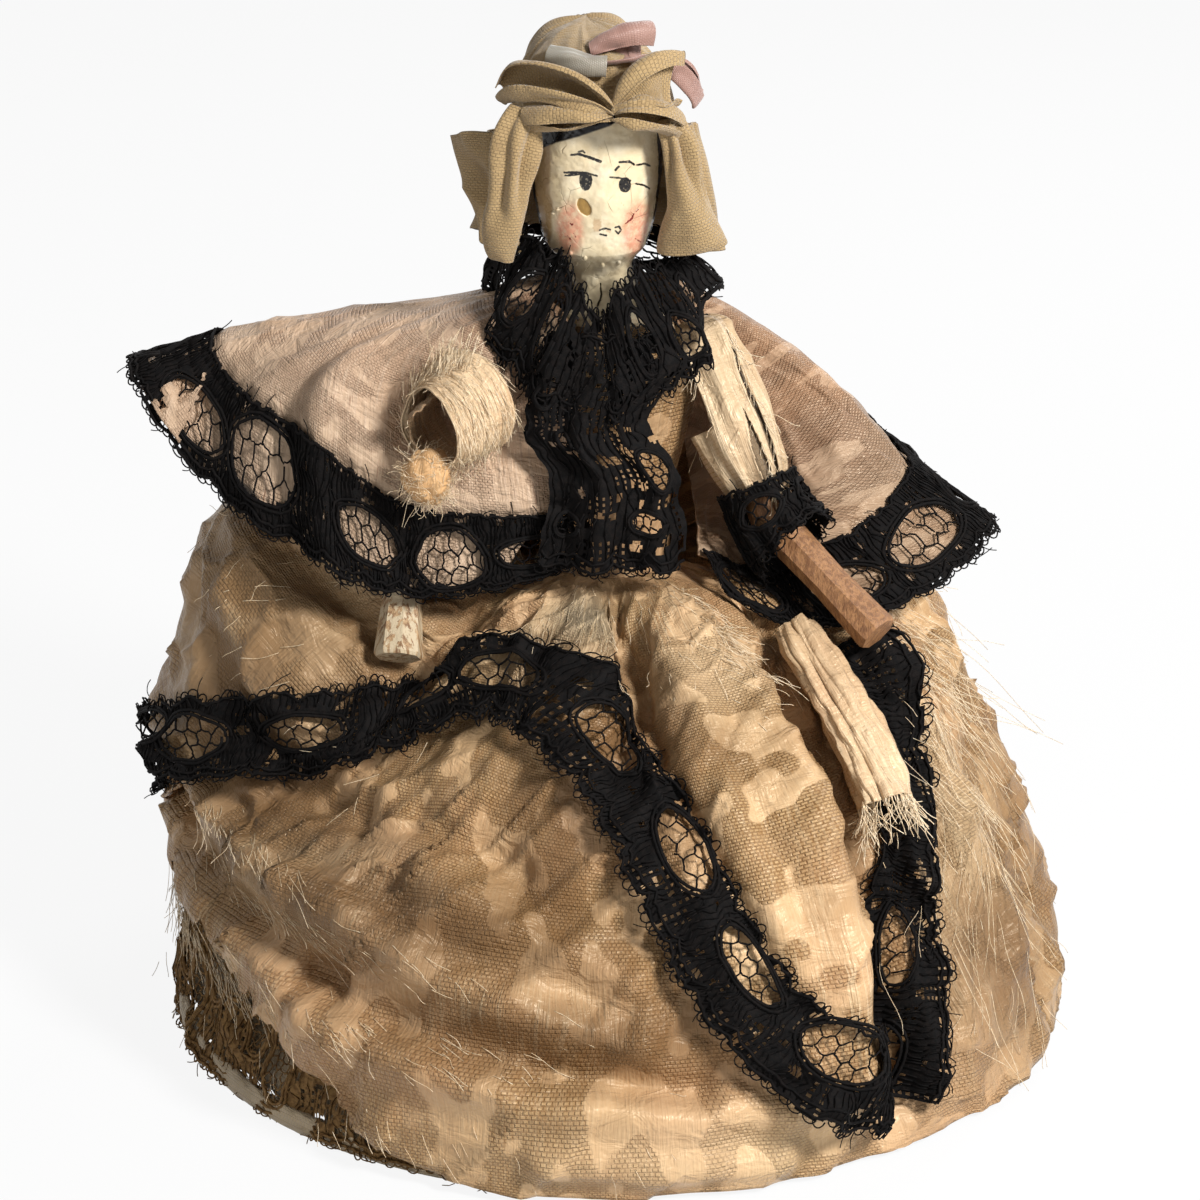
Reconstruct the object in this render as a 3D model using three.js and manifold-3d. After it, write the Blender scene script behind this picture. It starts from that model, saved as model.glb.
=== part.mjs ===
// Wooden peg doll in a wide silk dress with black lace, standing on the hem of its petticoat.
// Millimetres, +Z up. The doll faces -Y and its left hand is on +X. The origin is on the floor,
// under the middle of the neck.

import * as THREE from 'three';
import { mergeVertices } from 'three/addons/utils/BufferGeometryUtils.js';
import Module from 'manifold-3d';

// Legs and body, from the floor up
const FOOT_CLEARANCE = 0.9;
const FOOT_HEIGHT = 3.2;
const FOOT_LENGTH = 6.4;
const SHIN_LENGTH = 15.5;
const THIGH_LENGTH = 16.5;
const LEG_SPREAD = 4.3;
const THIGH_RADIUS = 2.2;
const SHIN_RADIUS = 1.9;
const HIP_DISC_RADIUS = 2.9;
const HIP_DISC_WIDTH = 3.6;
const HIP_TO_WAIST = 8;
const WAIST_TO_SHOULDER = 21;
const SHOULDER_TO_CHIN = 8.8;
const HEAD_HEIGHT = 17.6;
const HEAD_HALF_WIDTH = 5.9;
const HEAD_HALF_DEPTH = 6.6;
const NECK_RADIUS = 3.2;
const CHEST_HALF_WIDTH = 7.9;
const CHEST_HALF_DEPTH = 4.5;
const WAIST_HALF_WIDTH = 4.9;
const HIP_HALF_WIDTH = 6.1;

// Arms
const SHOULDER_HALF_SPAN = 8.8;
const UPPER_ARM_LENGTH = 17.1;
const LOWER_ARM_LENGTH = 14.8;
const ARM_RADIUS = 1.9;
const SHOULDER_DISC_RADIUS = 2.2;
const SHOULDER_DISC_WIDTH = 2.8;
// Splay and swing turn the upper arm out and forward; twist and bend turn the lower arm, in degrees
const LEFT_ARM = { side: 1, splay: 24, swing: 21, twist: 55, bend: 27, handFlare: 1.06 };
const RIGHT_ARM = { side: -1, splay: 33.7, swing: 10, twist: -40, bend: 38, handFlare: 1.2 };

// Pegs and fits
const HIP_PEG_RADIUS = 0.8;
const SHOULDER_PEG_RADIUS = 0.7;
const LIMB_PEG_RADIUS = 0.5;
const PEG_CLEARANCE = 0.2;
const PEG_END = 0.4;
const SHOULDER_PEG_DEPTH = 5;
const TONGUE_WIDTH = 1.3;
const FACE_CLEARANCE = 0.3;
const PEG_SIDES = 14;
const LIMB_SIDES = 16;

// Dress
const WAIST_RADIUS = 6.6;
const HEM_RADIUS = 42.6;
const CLOTH = 0.6;
const LACE = 0.5;
const LAYER_GAP = 0.68;
const PETTICOAT_DROP = 1.7;
const HEM_BAND_HEIGHT = 2.3;
const HEM_BAND_THICKNESS = 0.9;
const HEM_BAND_LEAN = 0.3;
const SKIRT_LACE_WIDTH = 8.5;
const SLEEVE_RADIUS = 3.4;
const CUFF_LENGTH = 7;
const BODICE_THICKNESS = 0.8;
const TAIL_RADIUS = 2.5;

// Bonnet
const BONNET_HEIGHT = 11;
const BONNET_HALF_WIDTH = 7.4;
const FRILL_RADIUS = 2.3;
const RIBBON = 0.7;

// Heights that follow from the sizes above
const kneeHeight = FOOT_CLEARANCE + FOOT_HEIGHT + SHIN_LENGTH;
const hipHeight = kneeHeight + THIGH_LENGTH;
const waistHeight = hipHeight + HIP_TO_WAIST;
const shoulderHeight = waistHeight + WAIST_TO_SHOULDER;
const chinHeight = shoulderHeight + SHOULDER_TO_CHIN;
const headTop = chinHeight + HEAD_HEIGHT;

const wasm = await Module();
wasm.setup();

const TURN = 2 * Math.PI;
const rad = THREE.MathUtils.degToRad;
const vec = (x, y, z) => new THREE.Vector3(x, y, z);
const mix = THREE.MathUtils.lerp;

const doll = new THREE.Group();

function finish(color, roughness, metalness = 0) {
  return new THREE.MeshStandardMaterial({ color, roughness, metalness });
}

const paintedWood = () => finish(0xd8c7a0, 0.55);
const brownWood = () => finish(0x8a5a34, 0.7);
const paleWood = () => finish(0xc2b49a, 0.7);
const pegWood = () => finish(0x9c7044, 0.75);
const goldSilk = () => finish(0xc49a6c, 0.5);
const paleSilk = () => finish(0xd8b487, 0.45);
const linen = () => finish(0xa88d66, 0.9);
const blackLace = () => finish(0x141010, 0.95);
const bonnetCotton = () => finish(0xac906a, 0.9);
const pinkRibbon = () => finish(0xc39a90, 0.6);
const blueRibbon = () => finish(0x9a9488, 0.6);

function addPiece(name, geometry, material, frame = doll) {
  const mesh = new THREE.Mesh(geometry, material);
  mesh.name = name;
  frame.add(mesh);
  return mesh;
}

// Solids from points and faces

function toGeometry(points, faces) {
  const geometry = new THREE.BufferGeometry();
  const flat = points.flatMap((point) => [point.x, point.y, point.z]);
  geometry.setAttribute('position', new THREE.Float32BufferAttribute(flat, 3));
  geometry.setIndex(signedVolume(points, faces) < 0 ? turnedOver(faces) : faces);
  return geometry;
}

function signedVolume(points, faces) {
  let sum = 0;
  for (let i = 0; i < faces.length; i += 3) {
    const [a, b, c] = [points[faces[i]], points[faces[i + 1]], points[faces[i + 2]]];
    sum += a.dot(vec().crossVectors(b, c));
  }
  return sum / 6;
}

function turnedOver(faces) {
  const out = [];
  for (let i = 0; i < faces.length; i += 3) {
    out.push(faces[i], faces[i + 2], faces[i + 1]);
  }
  return out;
}

// A solid through closed rings of points, each ring with as many points, ends closed by a fan
function loft(rings) {
  const sides = rings[0].length;
  const points = rings.flat();
  const faces = [];
  for (let i = 0; i + 1 < rings.length; i += 1) {
    for (let j = 0; j < sides; j += 1) {
      const a = i * sides + j;
      const b = i * sides + ((j + 1) % sides);
      faces.push(a, b, b + sides, a, b + sides, a + sides);
    }
  }
  const last = (rings.length - 1) * sides;
  for (let j = 1; j + 1 < sides; j += 1) {
    faces.push(0, j + 1, j, last, last + j, last + j + 1);
  }
  return toGeometry(points, faces);
}

// A ring of points round the z axis; squareness 1 is an ellipse and less is boxier
function oval(z, halfWidth, halfDepth, { y = 0, x = 0, sides = LIMB_SIDES, squareness = 1 } = {}) {
  const ring = [];
  for (let i = 0; i < sides; i += 1) {
    const angle = (TURN * i) / sides;
    const c = Math.cos(angle);
    const s = Math.sin(angle);
    const px = Math.sign(c) * Math.abs(c) ** squareness;
    const py = Math.sign(s) * Math.abs(s) ** squareness;
    ring.push(vec(x + halfWidth * px, y + halfDepth * py, z));
  }
  return ring;
}

// A closed shell of even thickness about a sheet: place(u, v) is a point of its middle surface
function shell(place, uSteps, vSteps, thickness, round = false) {
  const uCount = round ? uSteps : uSteps + 1;
  const front = [];
  const back = [];
  for (let i = 0; i < uCount; i += 1) {
    for (let j = 0; j <= vSteps; j += 1) {
      const middle = place(i / uSteps, j / vSteps);
      const normal = sheetNormal(place, i / uSteps, j / vSteps, round);
      front.push(middle.clone().addScaledVector(normal, thickness / 2));
      back.push(middle.clone().addScaledVector(normal, -thickness / 2));
    }
  }
  const points = [...front, ...back];
  const under = front.length;
  const at = (i, j) => (i % uCount) * (vSteps + 1) + j;
  const faces = [];
  const quad = (a, b, c, d) => faces.push(a, b, c, a, c, d);
  const columns = round ? uCount : uCount - 1;
  for (let i = 0; i < columns; i += 1) {
    for (let j = 0; j < vSteps; j += 1) {
      const [a, b, c, d] = [at(i, j), at(i + 1, j), at(i + 1, j + 1), at(i, j + 1)];
      quad(a, b, c, d);
      quad(a + under, d + under, c + under, b + under);
    }
    quad(at(i, 0) + under, at(i + 1, 0) + under, at(i + 1, 0), at(i, 0));
    quad(at(i, vSteps), at(i + 1, vSteps), at(i + 1, vSteps) + under, at(i, vSteps) + under);
  }
  if (!round) {
    for (let j = 0; j < vSteps; j += 1) {
      quad(at(0, j), at(0, j + 1), at(0, j + 1) + under, at(0, j) + under);
      quad(at(columns, j + 1), at(columns, j), at(columns, j) + under, at(columns, j + 1) + under);
    }
  }
  return toGeometry(points, faces);
}

function sheetNormal(place, u, v, round) {
  const step = 0.01;
  const [u0, u1] = round ? [u - step, u + step] : [Math.max(0, u - step), Math.min(1, u + step)];
  const [v0, v1] = [Math.max(0, v - step), Math.min(1, v + step)];
  const lengthwise = place(u1, v).sub(place(u0, v));
  const crosswise = place(u, v1).sub(place(u, v0));
  return lengthwise.cross(crosswise).normalize();
}

// A soft solid along a smooth path; size(t) gives its half width and half depth
function softTube(path, size, steps, sides = 8) {
  const curve = new THREE.CatmullRomCurve3(path);
  const { normals, binormals } = curve.computeFrenetFrames(steps);
  const rings = [];
  for (let i = 0; i <= steps; i += 1) {
    const centre = curve.getPointAt(i / steps);
    const [a, b] = size(i / steps);
    const ring = [];
    for (let j = 0; j < sides; j += 1) {
      const angle = (TURN * j) / sides;
      ring.push(centre.clone()
        .addScaledVector(normals[i], a * Math.cos(angle))
        .addScaledVector(binormals[i], b * Math.sin(angle)));
    }
    rings.push(ring);
  }
  return loft(rings);
}

// Cuts and joins

function toManifold(geometry) {
  const bare = geometry.clone();
  bare.deleteAttribute('normal');
  bare.deleteAttribute('uv');
  const merged = mergeVertices(bare, 1e-5);
  const vertProperties = new Float32Array(merged.attributes.position.array);
  const triVerts = new Uint32Array(merged.index.array);
  return new wasm.Manifold(new wasm.Mesh({ numProp: 3, vertProperties, triVerts }));
}

function fromManifold(solid) {
  const { vertProperties, triVerts } = solid.getMesh();
  const geometry = new THREE.BufferGeometry();
  geometry.setAttribute('position', new THREE.Float32BufferAttribute(vertProperties, 3));
  geometry.setIndex(Array.from(triVerts));
  return geometry;
}

function cut(geometry, ...tools) {
  const solid = tools.reduce((rest, tool) => rest.subtract(toManifold(tool)), toManifold(geometry));
  return fromManifold(solid);
}

function join(first, ...others) {
  const solid = others.reduce((sum, other) => sum.add(toManifold(other)), toManifold(first));
  return fromManifold(solid);
}

function block(x0, x1, y0, y1, z0, z1) {
  const box = new THREE.BoxGeometry(x1 - x0, y1 - y0, z1 - z0);
  return box.translate((x0 + x1) / 2, (y0 + y1) / 2, (z0 + z1) / 2);
}

// A round bar along x
function bar(radius, x0, x1, { y = 0, z = 0, sides = PEG_SIDES } = {}) {
  const rod = new THREE.CylinderGeometry(radius, radius, x1 - x0, sides);
  return rod.rotateZ(Math.PI / 2).translate((x0 + x1) / 2, y, z);
}

// Smooth curves through evenly spaced values

function smooth(p0, p1, p2, p3, t) {
  const a = 2 * p1;
  const b = p2 - p0;
  const c = 2 * p0 - 5 * p1 + 4 * p2 - p3;
  const d = 3 * p1 - p0 - 3 * p2 + p3;
  return (a + b * t + c * t * t + d * t * t * t) / 2;
}

// Reads a row of numbers at a fractional place
function along(values, place, round = false) {
  const last = values.length - 1;
  const pick = (i) => (round ? values[(i + values.length) % values.length]
    : values[Math.min(last, Math.max(0, i))]);
  const i = round ? Math.floor(place) : Math.min(last - 1, Math.max(0, Math.floor(place)));
  return smooth(pick(i - 1), pick(i), pick(i + 1), pick(i + 2), place - i);
}

// Arms: each joint has its own frame, z up the limb and x along the hinge

function frameAt(origin, xAxis, zAxis) {
  const yAxis = vec().crossVectors(zAxis, xAxis);
  const frame = new THREE.Group();
  frame.quaternion.setFromRotationMatrix(new THREE.Matrix4().makeBasis(xAxis, yAxis, zAxis));
  frame.position.copy(origin);
  doll.add(frame);
  return frame;
}

function armAxes({ side, splay, swing, twist, bend }) {
  const [a, s, t, e] = [rad(splay), rad(swing), rad(twist), rad(bend)];
  const mirrored = (x, y, z) => vec(side * x, y, z);
  const shoulder = vec(side * SHOULDER_HALF_SPAN, 0, shoulderHeight);
  const down = mirrored(Math.sin(a) * Math.cos(s), -Math.sin(s), -Math.cos(a) * Math.cos(s));
  const ahead = mirrored(-Math.sin(a) * Math.sin(s), -Math.cos(s), Math.cos(a) * Math.sin(s));
  const outward = mirrored(Math.cos(a), 0, Math.sin(a));
  const elbow = shoulder.clone().addScaledVector(down, UPPER_ARM_LENGTH);
  const bendWay = ahead.clone().multiplyScalar(Math.cos(t)).addScaledVector(outward, Math.sin(t));
  const lower = down.clone().multiplyScalar(Math.cos(e)).addScaledVector(bendWay, Math.sin(e));
  const lowerAhead = bendWay.clone().multiplyScalar(Math.cos(e)).addScaledVector(down, -Math.sin(e));
  return {
    side,
    shoulder,
    elbow,
    down,
    lower,
    shoulderHinge: vec().crossVectors(ahead, down),
    elbowHinge: vec().crossVectors(lowerAhead, lower),
  };
}

const leftArm = armAxes(LEFT_ARM);
const rightArm = armAxes(RIGHT_ARM);
const pivotReach = ARM_RADIUS + FACE_CLEARANCE;

// A limb whose round lower end holds a slot for the next limb's tongue, the slot turned by twist
function slottedLimb(topRadius, endRadius, length, twist) {
  const rings = [];
  const start = -endRadius * 0.4;
  const shaftSteps = 3;
  for (let i = 0; i <= shaftSteps; i += 1) {
    const t = i / shaftSteps;
    const radius = mix(topRadius, endRadius, t) * (1 + 0.07 * Math.sin(Math.PI * t));
    rings.push(oval(mix(start, -length, t), radius, radius));
  }
  const endSteps = 3;
  for (let i = 1; i <= endSteps; i += 1) {
    const angle = (0.46 * Math.PI * i) / endSteps;
    const radius = endRadius * Math.cos(angle);
    rings.push(oval(-length - endRadius * Math.sin(angle), radius, radius));
  }
  const reach = endRadius + FACE_CLEARANCE;
  const slot = TONGUE_WIDTH / 2 + FACE_CLEARANCE;
  const wide = 3 * endRadius;
  const slotTool = block(-slot, slot, -wide, wide, -length - wide, -length + reach).rotateZ(twist);
  const pinHole = bar(LIMB_PEG_RADIUS + PEG_CLEARANCE, -wide, wide, { z: -length }).rotateZ(twist);
  return cut(loft(rings), slotTool, pinHole);
}

// The tongue at the top of a lower limb, with its hole
function tongue(radius) {
  const half = TONGUE_WIDTH / 2;
  const neck = block(-half, half, -radius * 0.8, radius * 0.8, -radius * 2, 0);
  return join(bar(radius, -half, half, { sides: LIMB_SIDES }), neck);
}

function pinHoleAtTop(radius) {
  return bar(LIMB_PEG_RADIUS + PEG_CLEARANCE, -3 * radius, 3 * radius);
}

function buildArm(arm, spec, label, wood, handWood) {
  const upperFrame = frameAt(arm.shoulder, arm.shoulderHinge, arm.down.clone().negate());
  const lowerFrame = frameAt(arm.elbow, arm.elbowHinge, arm.lower.clone().negate());
  const upperY = vec().crossVectors(arm.down.clone().negate(), arm.shoulderHinge);
  const twist = Math.atan2(arm.elbowHinge.dot(upperY), arm.elbowHinge.dot(arm.shoulderHinge));

  const halfDisc = SHOULDER_DISC_WIDTH / 2;
  const disc = bar(SHOULDER_DISC_RADIUS, -halfDisc, halfDisc, { sides: LIMB_SIDES });
  const shaft = slottedLimb(halfDisc, ARM_RADIUS, UPPER_ARM_LENGTH, twist);
  const hole = bar(SHOULDER_PEG_RADIUS + PEG_CLEARANCE, -2 * halfDisc, 2 * halfDisc);
  addPiece(`upper_arm_${label}`, cut(join(disc, shaft), hole), wood(), upperFrame);

  const pegEnds = [-arm.side * SHOULDER_PEG_DEPTH, arm.side * (halfDisc + PEG_END)];
  const peg = bar(SHOULDER_PEG_RADIUS, Math.min(...pegEnds), Math.max(...pegEnds));
  addPiece(`shoulder_peg_${label}`, peg, pegWood(), upperFrame);

  const hand = ARM_RADIUS * spec.handFlare;
  const facets = 8;
  const forearm = loft([
    oval(-pivotReach, ARM_RADIUS, ARM_RADIUS, { sides: facets }),
    oval(-LOWER_ARM_LENGTH * 0.55, ARM_RADIUS * 0.92, ARM_RADIUS * 0.92, { sides: facets }),
    oval(-LOWER_ARM_LENGTH + 0.3, hand, hand, { sides: facets }),
    oval(-LOWER_ARM_LENGTH, hand * 0.93, hand * 0.93, { sides: facets }),
  ]);
  const lower = cut(join(tongue(ARM_RADIUS), forearm), pinHoleAtTop(ARM_RADIUS));
  addPiece(`lower_arm_${label}`, lower, handWood(), lowerFrame);
  const halfPeg = ARM_RADIUS * 0.92;
  addPiece(`elbow_peg_${label}`, bar(LIMB_PEG_RADIUS, -halfPeg, halfPeg), pegWood(), lowerFrame);
  return { upperFrame, lowerFrame };
}

// Head and torso, turned and carved from one piece. Each chest ring is a share of the way from
// the waist to the shoulders, a half width and a half depth.
const CHEST_RINGS = [
  [0, WAIST_HALF_WIDTH, CHEST_HALF_DEPTH * 0.87],
  [0.3, WAIST_HALF_WIDTH * 1.06, CHEST_HALF_DEPTH * 0.89],
  [0.6, CHEST_HALF_WIDTH * 0.83, CHEST_HALF_DEPTH],
  [0.9, CHEST_HALF_WIDTH, CHEST_HALF_DEPTH],
  [1.07, CHEST_HALF_WIDTH * 0.97, CHEST_HALF_DEPTH * 0.93],
  [1.17, CHEST_HALF_WIDTH * 0.8, CHEST_HALF_DEPTH * 0.82],
];

// Head rings: share of the height from the chin, then shares of its half width and half depth
const HEAD_RINGS = [
  [0.03, 0.6, 0.6], [0.12, 0.8, 0.84], [0.3, 0.93, 0.96], [0.5, 1, 1], [0.7, 0.98, 0.99],
  [0.86, 0.84, 0.86], [0.96, 0.56, 0.6], [1, 0.25, 0.28],
];
const HEAD_FORWARD = 0.6;
const HEAD_ASIDE = 0.8;
const BODY_SIDES = 20;
const NOSE_HEIGHT = 0.45;
const NOSE_HALF_WIDTH = 0.7;
const NOSE_HALF_HEIGHT = 1.1;
const NOSE_DEPTH = 0.45;

function headAndTorso() {
  const sides = BODY_SIDES;
  const headY = -HEAD_FORWARD;
  const hipBottom = hipHeight - HIP_DISC_RADIUS;
  const neckRise = chinHeight - shoulderHeight;
  const rings = [
    oval(hipBottom, HIP_HALF_WIDTH * 0.9, CHEST_HALF_DEPTH * 0.89, { sides }),
    oval(hipHeight, HIP_HALF_WIDTH, CHEST_HALF_DEPTH, { sides }),
    oval(mix(hipHeight, waistHeight, 0.7), HIP_HALF_WIDTH, CHEST_HALF_DEPTH, { sides }),
    ...CHEST_RINGS.map(([share, halfWidth, halfDepth]) => oval(
      mix(waistHeight, shoulderHeight, share), halfWidth, halfDepth, { sides })),
    oval(shoulderHeight + neckRise * 0.46, NECK_RADIUS * 1.25, NECK_RADIUS * 1.1, { sides }),
    oval(shoulderHeight + neckRise * 0.61, NECK_RADIUS, NECK_RADIUS, { sides }),
    oval(shoulderHeight + neckRise * 0.93, NECK_RADIUS, NECK_RADIUS,
      { sides, x: -HEAD_ASIDE / 2, y: headY / 2 }),
  ];
  for (const [height, width, depth] of HEAD_RINGS) {
    rings.push(oval(mix(chinHeight, headTop, height), HEAD_HALF_WIDTH * width,
      HEAD_HALF_DEPTH * depth, { sides, x: -HEAD_ASIDE, y: headY, squareness: 0.9 }));
  }
  const body = loft(rings);
  const tongueHalf = LEG_SPREAD - HIP_DISC_WIDTH / 2 - FACE_CLEARANCE;
  const notchTop = hipHeight + HIP_DISC_RADIUS + FACE_CLEARANCE;
  const far = 3 * HIP_HALF_WIDTH;
  const notches = [1, -1].map((side) => {
    const [near, out] = [side * tongueHalf, side * far];
    return block(Math.min(near, out), Math.max(near, out), -far, far, hipBottom - far, notchTop);
  });
  const hipHole = bar(HIP_PEG_RADIUS + PEG_CLEARANCE, -far, far, { z: hipHeight });
  const flats = [leftArm, rightArm].flatMap((arm) => shoulderCuts(arm));
  const noseMiddle = mix(chinHeight, headTop, NOSE_HEIGHT);
  const faceFront = headY - HEAD_HALF_DEPTH;
  const lostNose = block(-HEAD_ASIDE - NOSE_HALF_WIDTH, NOSE_HALF_WIDTH - HEAD_ASIDE,
    faceFront - NOSE_DEPTH, faceFront + NOSE_DEPTH,
    noseMiddle - NOSE_HALF_HEIGHT, noseMiddle + NOSE_HALF_HEIGHT);
  return cut(body, ...notches, hipHole, ...flats, lostNose);
}

const SHOULDER_FLAT_DROP = 5;
const SHOULDER_FLAT_RISE = 7.5;

// The flat that an arm's disc turns on, and the hole for its peg
function shoulderCuts(arm) {
  const flat = SHOULDER_DISC_WIDTH / 2 + FACE_CLEARANCE;
  const far = 4 * CHEST_HALF_WIDTH;
  const inner = -arm.side * flat;
  const outer = arm.side * far;
  const slab = block(Math.min(inner, outer), Math.max(inner, outer), -far, far,
    -SHOULDER_FLAT_DROP, SHOULDER_FLAT_RISE);
  const holeDepth = SHOULDER_PEG_DEPTH + FACE_CLEARANCE;
  const pegHole = bar(SHOULDER_PEG_RADIUS + PEG_CLEARANCE, -holeDepth, holeDepth);
  const placed = new THREE.Matrix4().makeBasis(arm.shoulderHinge,
    vec().crossVectors(arm.down.clone().negate(), arm.shoulderHinge), arm.down.clone().negate());
  placed.setPosition(arm.shoulder);
  return [slab.applyMatrix4(placed), pegHole.applyMatrix4(placed)];
}

function buildLeg(side, label) {
  const hipFrame = frameAt(vec(side * LEG_SPREAD, 0, hipHeight), vec(1, 0, 0), vec(0, 0, 1));
  const kneeFrame = frameAt(vec(side * LEG_SPREAD, 0, kneeHeight), vec(1, 0, 0), vec(0, 0, 1));
  const halfDisc = HIP_DISC_WIDTH / 2;
  const disc = bar(HIP_DISC_RADIUS, -halfDisc, halfDisc, { sides: LIMB_SIDES });
  const shaft = slottedLimb(halfDisc, THIGH_RADIUS, THIGH_LENGTH, 0);
  const hole = bar(HIP_PEG_RADIUS + PEG_CLEARANCE, -2 * halfDisc, 2 * halfDisc);
  addPiece(`thigh_${label}`, cut(join(disc, shaft), hole), brownWood(), hipFrame);

  const ankle = -SHIN_LENGTH;
  const sole = ankle - FOOT_HEIGHT;
  const shin = loft([
    oval(sole, SHIN_RADIUS * 0.9, FOOT_LENGTH / 2, { y: -FOOT_LENGTH * 0.22 }),
    oval(sole + FOOT_HEIGHT * 0.45, SHIN_RADIUS * 0.95, FOOT_LENGTH / 2, { y: -FOOT_LENGTH * 0.22 }),
    oval(ankle, SHIN_RADIUS * 0.8, SHIN_RADIUS * 0.95),
    oval(ankle * 0.6, SHIN_RADIUS, SHIN_RADIUS * 1.05),
    oval(-THIGH_RADIUS - FACE_CLEARANCE, SHIN_RADIUS, SHIN_RADIUS),
  ]);
  const knee = join(tongue(SHIN_RADIUS), block(-TONGUE_WIDTH / 2, TONGUE_WIDTH / 2,
    -SHIN_RADIUS * 0.6, SHIN_RADIUS * 0.6, -THIGH_RADIUS * 1.5, 0));
  addPiece(`shin_${label}`, cut(join(knee, shin), pinHoleAtTop(SHIN_RADIUS)), brownWood(), kneeFrame);
  const halfPeg = THIGH_RADIUS * 0.92;
  addPiece(`knee_peg_${label}`, bar(LIMB_PEG_RADIUS, -halfPeg, halfPeg), pegWood(), kneeFrame);
}

addPiece('head_and_torso', headAndTorso(), paintedWood());
const leftFrames = buildArm(leftArm, LEFT_ARM, 'left', brownWood, brownWood);
const rightFrames = buildArm(rightArm, RIGHT_ARM, 'right', brownWood, paleWood);
const hipPegHalf = LEG_SPREAD + HIP_DISC_WIDTH / 2 + PEG_END;
addPiece('hip_peg', bar(HIP_PEG_RADIUS, -hipPegHalf, hipPegHalf, { z: hipHeight }), pegWood());
buildLeg(1, 'left');
buildLeg(-1, 'right');

// The bell of the skirts. Twelve profiles stand 30 degrees apart, from the back round by the
// doll's right, the front and its left. Each runs from the waist to the hem: how far out the
// cloth is, as a share of the way to the hem, and how high, as a share of the waist's height.

const BELL_OUT = [
  [0, 0.20, 0.42, 0.62, 0.75, 0.83, 0.90, 0.965, 1.00],
  [0, 0.22, 0.46, 0.665, 0.79, 0.865, 0.92, 0.975, 1.00],
  [0, 0.25, 0.51, 0.72, 0.85, 0.91, 0.95, 0.985, 1.005],
  [0, 0.24, 0.49, 0.70, 0.835, 0.88, 0.915, 0.96, 1.01],
  [0, 0.15, 0.29, 0.43, 0.58, 0.74, 0.86, 0.955, 1.01],
  [0, 0.12, 0.24, 0.37, 0.52, 0.69, 0.84, 0.955, 1.00],
  [0, 0.14, 0.29, 0.43, 0.57, 0.72, 0.85, 0.96, 1.00],
  [0, 0.16, 0.33, 0.47, 0.60, 0.73, 0.85, 0.96, 1.00],
  [0, 0.17, 0.34, 0.50, 0.62, 0.73, 0.85, 0.97, 1.02],
  [0, 0.19, 0.38, 0.55, 0.66, 0.76, 0.87, 0.98, 1.04],
  [0, 0.20, 0.395, 0.58, 0.69, 0.775, 0.87, 0.98, 1.03],
  [0, 0.20, 0.41, 0.60, 0.73, 0.81, 0.89, 0.97, 1.01],
];
const BELL_UP = [
  [1.00, 1.06, 1.07, 1.00, 0.86, 0.66, 0.44, 0.20, 0],
  [1.00, 1.08, 1.10, 1.02, 0.87, 0.67, 0.45, 0.20, 0],
  [1.00, 1.06, 1.12, 1.08, 0.93, 0.69, 0.455, 0.20, 0],
  [1.00, 1.02, 1.06, 1.08, 0.95, 0.69, 0.46, 0.205, 0],
  [1.00, 0.96, 0.88, 0.785, 0.69, 0.575, 0.42, 0.20, 0],
  [1.00, 0.985, 0.93, 0.845, 0.74, 0.60, 0.42, 0.20, 0],
  [1.00, 0.98, 0.92, 0.84, 0.73, 0.59, 0.41, 0.20, 0],
  [1.00, 0.985, 0.93, 0.84, 0.73, 0.59, 0.41, 0.20, 0],
  [1.00, 0.98, 0.93, 0.845, 0.75, 0.62, 0.43, 0.20, 0],
  [1.00, 0.99, 0.97, 0.92, 0.82, 0.66, 0.455, 0.20, 0],
  [1.00, 1.03, 1.04, 0.97, 0.85, 0.66, 0.45, 0.20, 0],
  [1.00, 1.05, 1.06, 0.99, 0.86, 0.66, 0.445, 0.20, 0],
];
const ROWS = 8;
const PROFILE_STEP = 30;

// Folds and creases of the skirts: from one place to another, each an angle and a row, with a
// height in millimetres, below nought for a crease, and a width in rows
const FOLDS = [
  { from: [26, 1.2], to: [30, 5.4], height: 1.7, width: 1.1 },
  { from: [51, 2.2], to: [45, 5.6], height: -1.9, width: 0.9 },
  { from: [3, 1.7], to: [8, 3.4], height: -1.4, width: 0.75 },
  { from: [-14, 1.2], to: [-10, 2.6], height: 0.9, width: 0.8 },
  { from: [-62, 2.4], to: [-98, 3.6], height: -0.9, width: 0.65 },
  { from: [-62, 3.5], to: [-92, 4.7], height: 1.1, width: 0.7 },
  { from: [-88, 6.2], to: [-38, 6.0], height: 1.0, width: 0.5 },
  { from: [-60, 5.2], to: [-8, 6.1], height: 0.9, width: 0.5 },
  { from: [-40, 7.0], to: [12, 7.3], height: 0.9, width: 0.45 },
  { from: [-20, 4.6], to: [2, 6.6], height: -0.9, width: 0.5 },
  { from: [70, 3.6], to: [58, 7.2], height: 1.2, width: 0.8 },
  { from: [88, 3.0], to: [80, 6.8], height: -1.1, width: 0.6 },
  { from: [108, 2.2], to: [104, 6.6], height: 1.3, width: 0.9 },
  { from: [132, 2.0], to: [130, 6.8], height: -1.1, width: 0.7 },
  { from: [156, 1.8], to: [155, 6.8], height: 1.4, width: 0.9 },
  { from: [182, 2.0], to: [180, 6.8], height: -1.1, width: 0.7 },
  { from: [206, 1.8], to: [208, 6.4], height: 1.1, width: 1.1 },
  { from: [232, 2.4], to: [236, 6.2], height: -1.0, width: 0.9 },
];
const DEGREES_PER_ROW = 9;

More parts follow.
